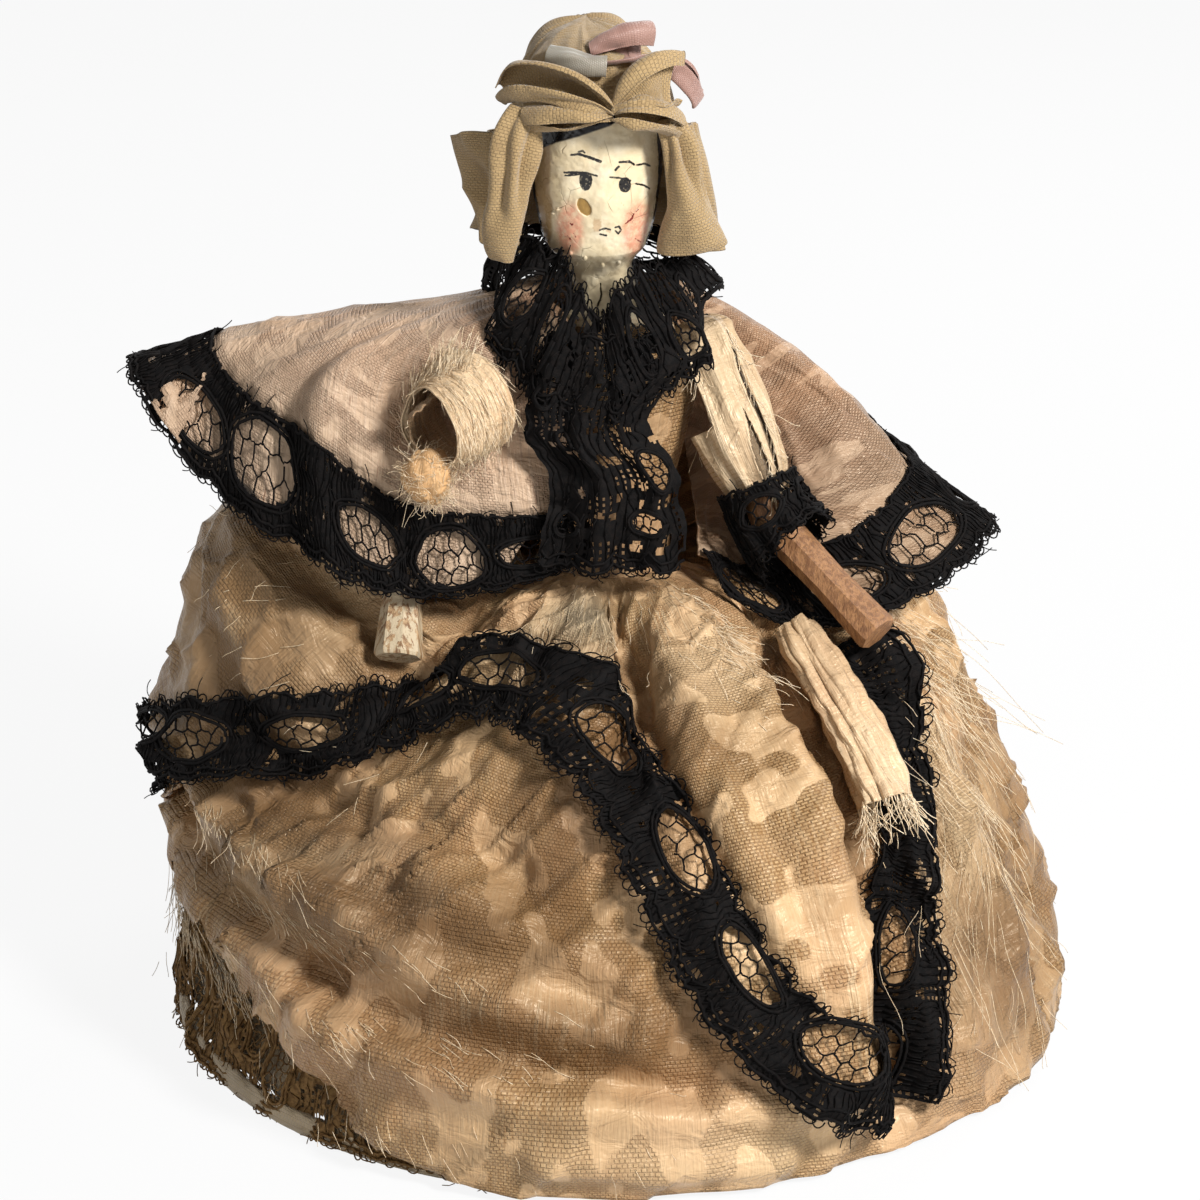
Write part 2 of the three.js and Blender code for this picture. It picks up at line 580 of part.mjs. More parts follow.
function foldHeight(angle, row) {
  let sum = 0;
  for (const { from, to, height, width } of FOLDS) {
    for (const turn of [-360, 0, 360]) {
      const px = (angle + turn - from[0]) / DEGREES_PER_ROW;
      const py = row - from[1];
      const dx = (to[0] - from[0]) / DEGREES_PER_ROW;
      const dy = to[1] - from[1];
      const share = THREE.MathUtils.clamp((px * dx + py * dy) / (dx * dx + dy * dy), 0, 1);
      const gap = Math.hypot(px - share * dx, py - share * dy);
      sum += height * Math.exp(-((gap / width) ** 2));
    }
  }
  return sum * THREE.MathUtils.smoothstep(row, 0.2, 1.8);
}

function bellBare(angle, row) {
  const place = (angle + 180) / PROFILE_STEP;
  const first = Math.floor(place);
  const read = (table) => {
    const four = [-1, 0, 1, 2].map((k) => along(table[(first + k + 24) % 12], row));
    return smooth(...four, place - first);
  };
  const out = mix(WAIST_RADIUS, HEM_RADIUS, read(BELL_OUT));
  const up = waistHeight * read(BELL_UP);
  return vec(out * Math.sin(rad(angle)), -out * Math.cos(rad(angle)), up);
}

function outwardNormal(surface, angle, row) {
  const low = Math.max(0, row - 0.1);
  const high = Math.min(ROWS, row + 0.1);
  const around = surface(angle + 1, row).sub(surface(angle - 1, row));
  const downward = surface(angle, high).sub(surface(angle, low));
  return downward.cross(around).normalize();
}

const overskirtLift = CLOTH + LAYER_GAP;
const rightHand = rightArm.elbow.clone().addScaledVector(rightArm.lower, LOWER_ARM_LENGTH);
const restingArm = new THREE.Line3(rightArm.elbow, rightHand);
const armRoom = ARM_RADIUS * RIGHT_ARM.handFlare + overskirtLift + CLOTH / 2 + FACE_CLEARANCE;
const DENT_WIDTH = 1.3;

// How far the skirts give way under the doll's right lower arm
function giveWay(point, normal) {
  const apart = restingArm.closestPointToPoint(point, true, vec()).sub(point);
  if (apart.length() > 3 * armRoom) return 0;
  const above = apart.dot(normal);
  const aside = apart.addScaledVector(normal, -above).length();
  const wanted = armRoom * (1 - (aside / (DENT_WIDTH * armRoom)) ** 2);
  return wanted > 0 ? Math.max(0, wanted - above) : 0;
}

function bellFolded(angle, row) {
  const normal = outwardNormal(bellBare, angle, row);
  const point = bellBare(angle, row).addScaledVector(normal, foldHeight(angle, row));
  return point.addScaledVector(normal, -giveWay(point, normal));
}

// A point of the skirts, raised off the middle of the skirt cloth
function bell(angle, row, lift = 0) {
  const middle = bellFolded(angle, row);
  return lift ? middle.addScaledVector(outwardNormal(bellFolded, angle, row), lift) : middle;
}

// Lower edges, as rows, at each profile and half way between
const SKIRT_EDGE = [
  7.88, 7.88, 7.88, 7.88, 7.88, 7.7, 7.0, 6.75, 6.85, 7.15, 7.6, 7.85,
  7.88, 7.88, 7.88, 7.88, 7.88, 7.88, 7.88, 7.88, 7.88, 7.88, 7.88, 7.88,
];

function skirtEdge(angle) {
  return along(SKIRT_EDGE, (angle + 180) / (PROFILE_STEP / 2), true);
}

const skirtLaceLift = overskirtLift + CLOTH / 2 + LAYER_GAP + LACE / 2;

addPiece('skirt', shell((u, v) => {
  const angle = -180 + 360 * u;
  return bell(angle, skirtEdge(angle) * v);
}, 46, 9, CLOTH, true), goldSilk());

const PETTICOAT_TOP = 0.6;
const PETTICOAT_BOTTOM = 6.2;
const FLOUNCE_TOP = 6.32;
const FLOUNCE_BOTTOM = 7.52;

addPiece('petticoat', shell((u, v) => {
  const angle = -180 + 360 * u;
  return bell(angle, mix(PETTICOAT_TOP, PETTICOAT_BOTTOM, v), -PETTICOAT_DROP);
}, 30, 6, CLOTH, true), linen());

addPiece('petticoat_lace', shell((u, v) => {
  const angle = -180 + 360 * u;
  return bell(angle, mix(FLOUNCE_TOP, FLOUNCE_BOTTOM, v), -PETTICOAT_DROP);
}, 48, 2, LACE, true), linen());

function hemBand() {
  const steps = 60;
  const rings = [];
  for (let i = 0; i < steps; i += 1) {
    const angle = -180 + (360 * i) / steps;
    const drawn = bellBare(angle, ROWS);
    const scale = 1 - (PETTICOAT_DROP + HEM_BAND_THICKNESS / 2) / Math.hypot(drawn.x, drawn.y);
    const near = vec(drawn.x * scale, drawn.y * scale, 0);
    const outward = near.clone().normalize().multiplyScalar(HEM_BAND_THICKNESS);
    const far = near.clone().add(outward);
    const lean = near.clone().normalize().multiplyScalar(-HEM_BAND_LEAN);
    const top = vec(0, 0, HEM_BAND_HEIGHT).add(lean);
    rings.push([near, far, far.clone().add(top), near.clone().add(top)]);
  }
  return ringOf(rings);
}

// A closed ring through four-sided sections
function ringOf(sections) {
  const sides = sections[0].length;
  const points = sections.flat();
  const faces = [];
  for (let i = 0; i < sections.length; i += 1) {
    const next = (i + 1) % sections.length;
    for (let j = 0; j < sides; j += 1) {
      const k = (j + 1) % sides;
      const [a, b] = [i * sides + j, i * sides + k];
      const [c, d] = [next * sides + k, next * sides + j];
      faces.push(a, b, c, a, c, d);
    }
  }
  return toGeometry(points, faces);
}

addPiece('hem_band', hemBand(), linen());

// The overskirt wraps from the back round by the doll's right to its left front. Columns give
// the angle at the waist, the angle at the hem, and the hem's row.
const OVERSKIRT_COLUMNS = [
  [-240, -236, 6.0], [-210, -208, 6.1], [-180, -180, 6.0], [-150, -150, 6.1], [-120, -120, 6.15],
  [-95, -95, 6.3], [-75, -78, 5.35], [-60, -62, 4.35], [-45, -46, 3.55], [-30, -28, 3.1],
  [-14, -10, 3.2], [0, 3, 3.9], [14, 11, 5.2], [28, 17, 6.3], [42, 25, 6.9], [56, 33, 7.25],
  [66, 39, 7.3],
];
const SIDE_EDGE_CURVE = 2.2;
const OVERSKIRT_TOP = 0.25;

function overskirtPlace(u, v) {
  const place = u * (OVERSKIRT_COLUMNS.length - 1);
  const read = (k) => along(OVERSKIRT_COLUMNS.map((column) => column[k]), place);
  const bend = mix(1, SIDE_EDGE_CURVE, THREE.MathUtils.smoothstep(u, 0.6, 1));
  const angle = mix(read(0), read(1), v ** bend);
  return [angle, mix(OVERSKIRT_TOP, read(2), v)];
}

addPiece('overskirt', shell((u, v) => bell(...overskirtPlace(u, v), overskirtLift), 40, 8, CLOTH),
  paleSilk());

const SCALLOP_DEPTH = 0.8;

// A ribbon of lace along a path over the skirts, its lower edge in scallops
function skirtLace(path, steps, width, lift) {
  const angleAt = (t) => along(path.map((point) => point[0]), t * (path.length - 1));
  const rowAt = (t) => along(path.map((point) => point[1]), t * (path.length - 1));
  const scallops = Math.round(steps / 3);
  return shell((u, v) => {
    const [angle, row] = [angleAt(u), rowAt(u)];
    const dt = 0.004;
    const from = bell(angleAt(Math.max(0, u - dt)), rowAt(Math.max(0, u - dt)));
    const to = bell(angleAt(Math.min(1, u + dt)), rowAt(Math.min(1, u + dt)));
    const run = to.sub(from).normalize();
    const across = vec().crossVectors(run, outwardNormal(bellFolded, angle, row)).normalize();
    const notch = SCALLOP_DEPTH * (1 - Math.abs(Math.sin(Math.PI * scallops * u)));
    const reach = v * (width - notch) - width / 2;
    const perDegree = bell(angle + 1, row).sub(bell(angle - 1, row)).multiplyScalar(0.5);
    const perRow = bell(angle, row + 0.05).sub(bell(angle, row - 0.05)).multiplyScalar(10);
    const step = across.multiplyScalar(reach);
    const [aa, ab, bb] = [perDegree.dot(perDegree), perDegree.dot(perRow), perRow.dot(perRow)];
    const [ra, rb] = [perDegree.dot(step), perRow.dot(step)];
    const whole = aa * bb - ab * ab;
    const turn = (ra * bb - rb * ab) / whole;
    const drop = (rb * aa - ra * ab) / whole;
    return bell(angle + turn, THREE.MathUtils.clamp(row + drop, 0.3, 7.9), lift);
  }, steps, 2, LACE);
}

const LACE_PATH = [
  [-236, 5.6], [-208, 5.7], [-180, 5.6], [-150, 5.7], [-122, 5.75], [-98, 5.85], [-78, 4.95],
  [-62, 3.95], [-46, 3.15], [-27, 2.75], [-9, 2.95], [4, 3.75], [11, 4.9], [16, 5.8], [22, 6.5],
  [29, 6.9], [37, 7.15],
];
const LACE_RISE = [[46, 6.7], [45, 6.2], [48, 5.6], [56, 5.0], [60, 4.3], [64, 3.5], [68, 2.8]];
addPiece('overskirt_lace', skirtLace(LACE_PATH, 72, SKIRT_LACE_WIDTH, skirtLaceLift), blackLace());
addPiece('overskirt_lace_rise', skirtLace(LACE_RISE, 18, SKIRT_LACE_WIDTH * 0.8, skirtLaceLift),
  blackLace());

// The sash tail hangs in the crease beside the front pouf
const TAIL_PATH = [[50.5, 2.2], [50, 3.0], [47.5, 3.9], [43.8, 4.7]];
const tailLift = overskirtLift + CLOTH / 2 + LAYER_GAP + TAIL_RADIUS * 1.25;
addPiece('sash_tail', softTube(TAIL_PATH.map(([angle, row]) => bell(angle, row, tailLift)),
  (t) => [TAIL_RADIUS * (0.75 + 0.3 * t), TAIL_RADIUS * (0.8 + 0.3 * t)], 8), paleSilk());

// Bodice, open at the armholes

const BODICE_FLARE = 0.45;

function bodicePlace(u, v) {
  const place = v * (CHEST_RINGS.length - 1);
  const read = (k) => along(CHEST_RINGS.map((ring) => ring[k]), place);
  const height = mix(waistHeight, shoulderHeight, read(0));
  const out = FACE_CLEARANCE + BODICE_THICKNESS / 2
    + BODICE_FLARE * (1 - THREE.MathUtils.smoothstep(v, 0, 0.25));
  const angle = TURN * u;
  return vec((read(1) + out) * Math.cos(angle), (read(2) + out) * Math.sin(angle), height);
}

addPiece('bodice', cut(shell(bodicePlace, 20, 6, BODICE_THICKNESS, true),
  ...[leftArm, rightArm].flatMap((arm) => shoulderCuts(arm))), goldSilk());

// Sleeves: [height share down the arm, radius share] from the shoulder to the elbow
const SLEEVE_RINGS = [
  [-0.16, 0.45], [-0.1, 0.86], [0, 0.98], [0.25, 1.02], [0.55, 1.04], [0.8, 0.82], [0.86, 0.74],
];

function buildSleeve(arm, frame, label, material) {
  const sleeve = shell((u, v) => {
    const place = v * (SLEEVE_RINGS.length - 1);
    const down = UPPER_ARM_LENGTH * along(SLEEVE_RINGS.map((ring) => ring[0]), place);
    const radius = SLEEVE_RADIUS * along(SLEEVE_RINGS.map((ring) => ring[1]), place);
    return vec(radius * Math.cos(TURN * u), radius * Math.sin(TURN * u), -down);
  }, 14, 8, CLOTH, true);
  const inner = -arm.side * (SHOULDER_DISC_WIDTH / 2 - 0.1);
  const outer = -arm.side * 3 * SLEEVE_RADIUS;
  const opening = block(Math.min(inner, outer), Math.max(inner, outer), -3 * SLEEVE_RADIUS,
    3 * SLEEVE_RADIUS, -UPPER_ARM_LENGTH * 0.42, 3 * SLEEVE_RADIUS);
  addPiece(`sleeve_${label}`, cut(sleeve, opening), material, frame);
}

buildSleeve(leftArm, leftFrames.upperFrame, 'left', paleSilk());
buildSleeve(rightArm, rightFrames.upperFrame, 'right', goldSilk());

// The lace cuff bends with the elbow
function cuffShell() {
  const start = leftArm.elbow.clone().addScaledVector(leftArm.down, -CUFF_LENGTH * 0.55);
  const end = leftArm.elbow.clone().addScaledVector(leftArm.lower, CUFF_LENGTH * 0.5);
  const route = new THREE.QuadraticBezierCurve3(start, leftArm.elbow, end);
  const side = leftArm.elbowHinge;
  const radius = SLEEVE_RADIUS * 0.8 + CLOTH / 2 + LAYER_GAP;
  return shell((u, v) => {
    const centre = route.getPoint(v);
    const up = vec().crossVectors(side, route.getTangent(v)).normalize();
    const flare = radius * (1 + 0.14 * v);
    return centre.addScaledVector(side, flare * Math.cos(TURN * u))
      .addScaledVector(up, flare * Math.sin(TURN * u));
  }, 18, 3, LACE, true);
}

addPiece('cuff_lace', cuffShell(), blackLace());

// The mantle, a short cape. Columns run from its edge at the middle of the front round by the
// doll's right, where a stiff corner stands out, and the back to the left, where it passes
// under the arm. Each column has points at the neck, the shoulder, half way, the edge of the
// cloth and the edge of its lace: out to the side, back, and up from the shoulder's height.
const MANTLE = [
  [[-3.6, -5, 5.2], [-2.4, -6.5, -1], [-1.8, -6.9, -7], [-1.4, -7.8, -13], [-1.2, -8.8, -17]],
  [[-4.6, -4.2, 5.8], [-8.5, -6.4, 1.6], [-9.8, -7.2, -5], [-9.9, -9.6, -12.5], [-9.2, -11.2, -19.2]],
  [[-5, -3.2, 6], [-12.5, -5.8, 3], [-16, -7, -3], [-18.4, -10, -11.2], [-18.5, -12, -19.8]],
  [[-5.3, -1.5, 6.2], [-15, -4, 3.4], [-22.5, -6, -0.6], [-26, -8, -5.9], [-26.6, -10.5, -16.6]],
  [[-5.4, 0, 6.3], [-15.5, -0.5, 3.8], [-26, -2.5, 1.2], [-33.5, -3, -2.6], [-36.2, -5.6, -11.9]],
  [[-5.4, 1.2, 6.3], [-15, 2.5, 3.7], [-27, 2.5, 1.6], [-35.8, 2, -0.4], [-43.7, -1.2, -2.6]],
  [[-5.1, 2.8, 6.1], [-14, 5.5, 3.2], [-25, 8, 0.7], [-33, 9, -1.8], [-41.2, 8, -4]],
  [[-4.2, 4.4, 5.9], [-11, 9, 1.8], [-19, 14, -3], [-26, 17, -7.4], [-31, 19.5, -13.5]],
  [[0, 5.6, 5.8], [0, 10.5, 1.2], [0, 15, -4.6], [0, 18.5, -8.6], [0, 23, -12.8]],
  [[4.2, 4.6, 5.8], [10.5, 9, 1.2], [16.5, 13, -5.6], [21.5, 14.5, -11], [26, 16.5, -15.4]],
  [[5.3, 3.8, 5.3], [12, 7, 0.6], [19.5, 7.4, -5], [26, 6.6, -11.3], [33, 6, -17.4]],
  [[5.9, 3.6, 4.2], [11.5, 6.4, -1.4], [20, 4.8, -6.2], [28.3, 2, -12.6], [36.8, 1, -18.2]],
  [[6.3, 3.8, 2.8], [10.8, 5.4, -4], [17, 3, -10.4], [23, -2.8, -16.8], [28.8, -6.2, -22.7]],
  [[6.5, 4.1, 1.4], [9.4, 4.4, -8], [12.8, 2, -14.4], [15, -4.2, -19.6], [18.6, -11.6, -23.1]],
  [[6.6, 4.4, 0], [7.6, 3.6, -11.4], [8.4, -2.6, -15.2], [8.8, -7.4, -16.9], [10.8, -11, -20]],
];
const MANTLE_ROWS = 4;
const CLOTH_ROWS = 3;
const MANTLE_SEAM = 6.3;

function mantle(column, row) {
  const read = (k) => along(MANTLE.map((points) => along(points.map((p) => p[k]), row)), column);
  return vec(read(0), read(1), shoulderHeight + read(2));
}

// Soft folds that run down the mantle
function mantleFold(column, row, lift = 0) {
  const step = 0.05;
  const around = mantle(column + step, row).sub(mantle(column - step, row));
  const down = mantle(column, row + step).sub(mantle(column, row - step));
  const normal = around.cross(down).normalize();
  const wave = 0.5 * Math.sin(column * 2.7) * THREE.MathUtils.smoothstep(row, 0.6, 2.4);
  return mantle(column, row).addScaledVector(normal, wave + lift);
}

function mantlePiece(firstColumn, lastColumn, firstRow, lastRow, uSteps, vSteps, thickness, scallops) {
  return shell((u, v) => {
    const column = mix(firstColumn, lastColumn, u);
    const notch = scallops ? 0.09 * (1 - Math.abs(Math.sin(Math.PI * scallops * u))) : 0;
    const row = mix(firstRow, lastRow - notch, v);
    return mantleFold(column, row);
  }, uSteps, vSteps, thickness);
}

const lastColumn = MANTLE.length - 1;
const seamGap = 0.06;
const laceTop = CLOTH_ROWS + seamGap;
addPiece('mantle_wing', mantlePiece(0, MANTLE_SEAM - seamGap, 0, CLOTH_ROWS, 18, 6, CLOTH, 0),
  goldSilk());
addPiece('mantle_back', mantlePiece(MANTLE_SEAM, lastColumn, 0, CLOTH_ROWS, 22, 6, CLOTH, 0),
  goldSilk());
addPiece('mantle_lace_wing', mantlePiece(0, MANTLE_SEAM - seamGap, laceTop, MANTLE_ROWS, 30, 2, LACE, 10),
  blackLace());
addPiece('mantle_lace_back', mantlePiece(MANTLE_SEAM, lastColumn, laceTop, MANTLE_ROWS, 33, 2, LACE, 11),
  blackLace());

// A strip of torn silk curls into a roll on the wing of the mantle
const CURL_CENTRE = [-13.4, -11.35, -2.7];
const CURL_AXIS = [0.97, 0.1, 0.2];
const CURL_START = 1.2;
const CURL_RADIUS = 3.7;
const CURL_TURNS = 1.4;
const CURL_PITCH = 1.5;
const CURL_LENGTH = 8.5;

function silkCurl() {
  const centre = vec(...CURL_CENTRE).add(vec(0, 0, shoulderHeight));
  const axis = vec(...CURL_AXIS).normalize();
  const up = vec(0, 0, 1).addScaledVector(axis, -axis.z).normalize();
  const forward = vec().crossVectors(axis, up);
  return shell((u, v) => {
    const angle = TURN * CURL_TURNS * u + CURL_START;
    const radius = CURL_RADIUS - CURL_PITCH * CURL_TURNS * u;
    return centre.clone().addScaledVector(axis, (v - 0.5) * CURL_LENGTH)
      .addScaledVector(up, radius * Math.cos(angle))
      .addScaledVector(forward, radius * Math.sin(angle));
  }, 18, 2, CLOTH);
}

addPiece('silk_curl', silkCurl(), paleSilk());

// Lace down the front of the bodice: half width, forward and up from the shoulder
const JABOT = [[5.6, 7.7, 4.3], [6.2, 9.2, -2], [7.4, 10.6, -9], [7, 12.2, -15], [5.8, 13.2, -18.4]];

function jabotPlace(u, v) {
  const place = v * (JABOT.length - 1);
  const read = (k) => along(JABOT.map((row) => row[k]), place);
  const side = 2 * u - 1;
  const ruffle = 0.45 * Math.sin(9 * side) * v;
  return vec(0.4 + side * read(0), -read(1) + 1.1 * side * side + ruffle, shoulderHeight + read(2));
}

addPiece('jabot_lace', shell(jabotPlace, 12, 8, LACE), blackLace());

// The collar stands round the neck: angle from the front, then radius and height of its upper
// and of its lower edge
const COLLAR = [
  [-42, 6.6, 8.6, 8.8, 6], [-70, 7.8, 12.4, 9.7, 6.8], [-110, 7.2, 12, 9.3, 6.9],
  [-150, 6.4, 10.6, 8.5, 6.2], [-180, 6.2, 10, 8.2, 5.4], [-210, 6.4, 10.2, 8.4, 5.2],
  [-250, 7, 10.8, 9.2, 4.9], [-290, 7.4, 11, 9.6, 5], [-318, 6.6, 8.4, 8.8, 5.3],
];

addPiece('collar_lace', shell((u, v) => {
  const place = u * (COLLAR.length - 1);
  const read = (k) => along(COLLAR.map((column) => column[k]), place);
  const radius = mix(read(1), read(3), v) + 0.35 * Math.sin(15 * u * Math.PI);
  const angle = rad(read(0));
  const height = shoulderHeight + mix(read(2), read(4), v);
  return vec(radius * Math.sin(angle), -radius * Math.cos(angle), height);
}, 34, 3, LACE), blackLace());

// Bonnet

const CROWN_TILT = 0.7;
const CROWN_LEAN = 0.5;
const CROWN_SKIRT = 3;
const CROWN_ABOVE_HEAD = 4.7;
const crownCentre = vec(-1.2, 0.3, headTop + CROWN_ABOVE_HEAD - BONNET_HEIGHT);

function crown(outer) {
  const steps = 6;
  const rings = [];
  for (let i = 0; i < steps; i += 1) {
    const rise = (0.5 * Math.PI * i) / (steps - 0.4);
    const inset = outer ? 0 : CLOTH;
    const radius = (BONNET_HALF_WIDTH - inset) * Math.cos(rise) ** 0.8;
    const height = (BONNET_HEIGHT - inset) * Math.sin(rise);
    const ring = oval(0, radius, radius, { sides: 20 });
    for (const point of ring) {
      point.z = crownCentre.z + height - CROWN_TILT * point.y * Math.cos(rise) ** 2;
      point.x += crownCentre.x - CROWN_LEAN * Math.sin(rise);
      point.y += crownCentre.y;
    }
    rings.push(ring);
  }
  if (!outer) {
    rings.unshift(rings[0].map((point) => point.clone().add(vec(0, 0, -CROWN_SKIRT))));
  }
  return loft(rings);
}

addPiece('bonnet_crown', cut(crown(true), crown(false)), bonnetCotton());

// The frill is slimmer at its ends by this share
const FRILL_TAPER = 0.78;
const fromHead = ([x, y, up]) => vec(x, y, headTop + up);
const FRILL_PATH = [
  [-9.3, -4.6, -2.2], [-7.6, -7.1, -1.2], [-4.4, -9, -0.5], [0.2, -9.8, -0.9], [3.6, -9.2, -0.4],
  [5.7, -7.4, -0.5], [6.9, -4.9, -1.8],
];
addPiece('bonnet_frill', softTube(FRILL_PATH.map(fromHead), (t) => {
  const pucker = 1 + 0.1 * Math.sin(13 * Math.PI * t);
  const size = FRILL_RADIUS * pucker * mix(FRILL_TAPER, 1, Math.sin(Math.PI * t));
  return [0.86 * size, 1.05 * size];
}, 26), bonnetCotton());

const LOOP_PATH = [[1.9, -7.9, 3.1], [3, -8.1, 4.1], [5.2, -7.4, 3.8], [6.9, -5.8, 2.4]];
addPiece('bonnet_loop', softTube(LOOP_PATH.map(fromHead), () => [RIBBON * 2.1, RIBBON * 1.5], 8),
  bonnetCotton());

// The curtain hangs from the crown round the head: angle, then radius and height of each edge
const CURTAIN = [
  [-58, 9.2, -6.6, 9.4, -16.7], [-80, 9.6, -6.8, 13.4, -17.2], [-106, 9.6, -6.8, 13, -16.2],
  [-140, 9.4, -7.8, 12, -16.7], [-180, 9.2, -8.6, 12, -17.2], [-220, 8.9, -7.8, 11.4, -16.7],
  [-254, 8.7, -6.8, 11, -16.7], [-284, 8.6, -6.8, 10.2, -16.7], [-304, 8.4, -7, 9, -13.7],
];

addPiece('bonnet_curtain', shell((u, v) => {
  const place = u * (CURTAIN.length - 1);
  const read = (k) => along(CURTAIN.map((column) => column[k]), place);
  const radius = mix(read(1), read(3), v) + 0.6 * v * Math.sin(13 * u * Math.PI);
  const angle = rad(read(0));
  const height = headTop + mix(read(2), read(4), v);
  return vec(radius * Math.sin(angle), 0.5 - radius * Math.cos(angle), height);
}, 34, 4, CLOTH), bonnetCotton());

const BOW_PATH = [[-1.2, -5.4, 4.8], [0.8, -5.2, 5.6], [2.8, -4.6, 5.8], [4.3, -3.9, 5]];
const BLUE_PATH = [[-5.4, -6, 2.9], [-4, -6.5, 3.2], [-2.4, -6.7, 3.2]];
const END_PATH = [[4.5, -1.6, 2.2], [6.7, -0.5, 0.9], [8.5, 1.2, -0.4]];
addPiece('pink_ribbon_bow', softTube(BOW_PATH.map(fromHead), () => [RIBBON * 1.4, RIBBON], 6),
  pinkRibbon());
addPiece('blue_ribbon_roll', softTube(BLUE_PATH.map(fromHead), () => [RIBBON * 1.5, RIBBON], 5),
  blueRibbon());
addPiece('pink_ribbon_end', softTube(END_PATH.map(fromHead), () => [RIBBON * 1.3, RIBBON * 0.7], 5),
  pinkRibbon());

export default doll;
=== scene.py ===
"""A small jointed wooden doll in a wide silk dress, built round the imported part."""

import logging
import math
from collections.abc import Callable
from dataclasses import dataclass, field
from enum import Enum

import bmesh
import bpy
import numpy as np
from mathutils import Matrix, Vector


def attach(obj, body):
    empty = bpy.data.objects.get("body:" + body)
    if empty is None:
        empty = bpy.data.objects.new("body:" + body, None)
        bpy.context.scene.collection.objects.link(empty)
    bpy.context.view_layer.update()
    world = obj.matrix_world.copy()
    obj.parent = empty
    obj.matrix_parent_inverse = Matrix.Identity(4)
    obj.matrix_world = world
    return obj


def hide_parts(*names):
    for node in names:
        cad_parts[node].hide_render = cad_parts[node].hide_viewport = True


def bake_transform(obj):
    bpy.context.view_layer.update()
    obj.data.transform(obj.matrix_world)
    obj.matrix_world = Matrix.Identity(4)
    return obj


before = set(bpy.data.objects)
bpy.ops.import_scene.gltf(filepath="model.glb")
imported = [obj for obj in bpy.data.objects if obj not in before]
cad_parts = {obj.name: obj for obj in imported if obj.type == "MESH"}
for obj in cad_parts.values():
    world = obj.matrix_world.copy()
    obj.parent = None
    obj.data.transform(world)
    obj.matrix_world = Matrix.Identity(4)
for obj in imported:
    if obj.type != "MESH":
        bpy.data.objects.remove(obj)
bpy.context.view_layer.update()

LOG = logging.getLogger("peg_doll")
MM = 0.001
TURN = 2 * math.pi
Array = np.ndarray
Window = tuple[float, float, float, float]
NEIGHBOURS = (-1, 0, 1, 2)

# Heights and radii of the part, in millimetres
WAIST_HEIGHT = 44.1
SHOULDER_HEIGHT = 65.1
CHIN_HEIGHT = 73.9
HEAD_TOP = 91.5
WAIST_RADIUS = 6.6
HEM_RADIUS = 42.6
SHOULDER_HALF_SPAN = 8.8
UPPER_ARM_LENGTH = 17.1
LOWER_ARM_LENGTH = 14.8
# The room that the skirts leave round the right lower arm, and the dent's width as its multiple
ARM_ROOM = 4.16
DENT_WIDTH = 1.3
# The photograph's frame, in pixels
FRAME_SIDE = 1200


def smoothstep(low: float, high: float, x: Array) -> Array:
    """Rises smoothly from 0 at low to 1 at high."""
    t = np.clip((np.asarray(x, float) - low) / (high - low), 0, 1)
    return t * t * (3 - 2 * t)


def mix(a: Array, b: Array, t: Array) -> Array:
    """The value a share t of the way from a to b."""
    return a + (b - a) * t


def unit(v: Array) -> Array:
    """Vectors scaled to length one."""
    return v / np.maximum(np.linalg.norm(v, axis=-1, keepdims=True), 1e-9)


def shares(count: int) -> Array:
    """Evenly spaced shares from 0 to 1."""
    return np.linspace(0, 1, count)


def turns(count: int) -> Array:
    """Evenly spaced angles round a closed ring, in radians."""
    return TURN * np.arange(count) / count


def degrees_round(count: int) -> Array:
    """Evenly spaced degrees round a closed ring, from the back."""
    return -180 + 360 * np.arange(count) / count


def two_ways(across: Array, down: Array) -> tuple[Array, Array]:
    """Grids of the values across and of the values down."""
    first, second = np.meshgrid(across, down, indexing="ij")
    return first, second


def cubic(t: Array, p0: Array, p1: Array, p2: Array, p3: Array) -> Array:
    """The place a share t of the way from p1 to p2, on a smooth curve through all four."""
    last = (3 * p1 - p0 - 3 * p2 + p3) * t**3
    return (2 * p1 + (p2 - p0) * t + (2 * p0 - 5 * p1 + 4 * p2 - p3) * t**2 + last) / 2


def spline(values: Array, place: Array, around: bool = False) -> Array:
    """Reads evenly spaced values along a smooth curve.

    Args:
        values: Values along the first axis.
        place: Fractional places among them.
        around: Whether the row closes on itself.

    Returns:
        The values at those places, with the shape of place before the rest of values' shape.
    """
    values = np.asarray(values, float)
    place = np.asarray(place, float)
    last = len(values) - 1
    first = np.floor(place).astype(int)
    if not around:
        first = np.clip(first, 0, last - 1)
    t = (place - first).reshape(place.shape + (1,) * (values.ndim - 1))
    return cubic(t, *(values[(first + k) % (last + 1) if around else np.clip(first + k, 0, last)]
                      for k in NEIGHBOURS))


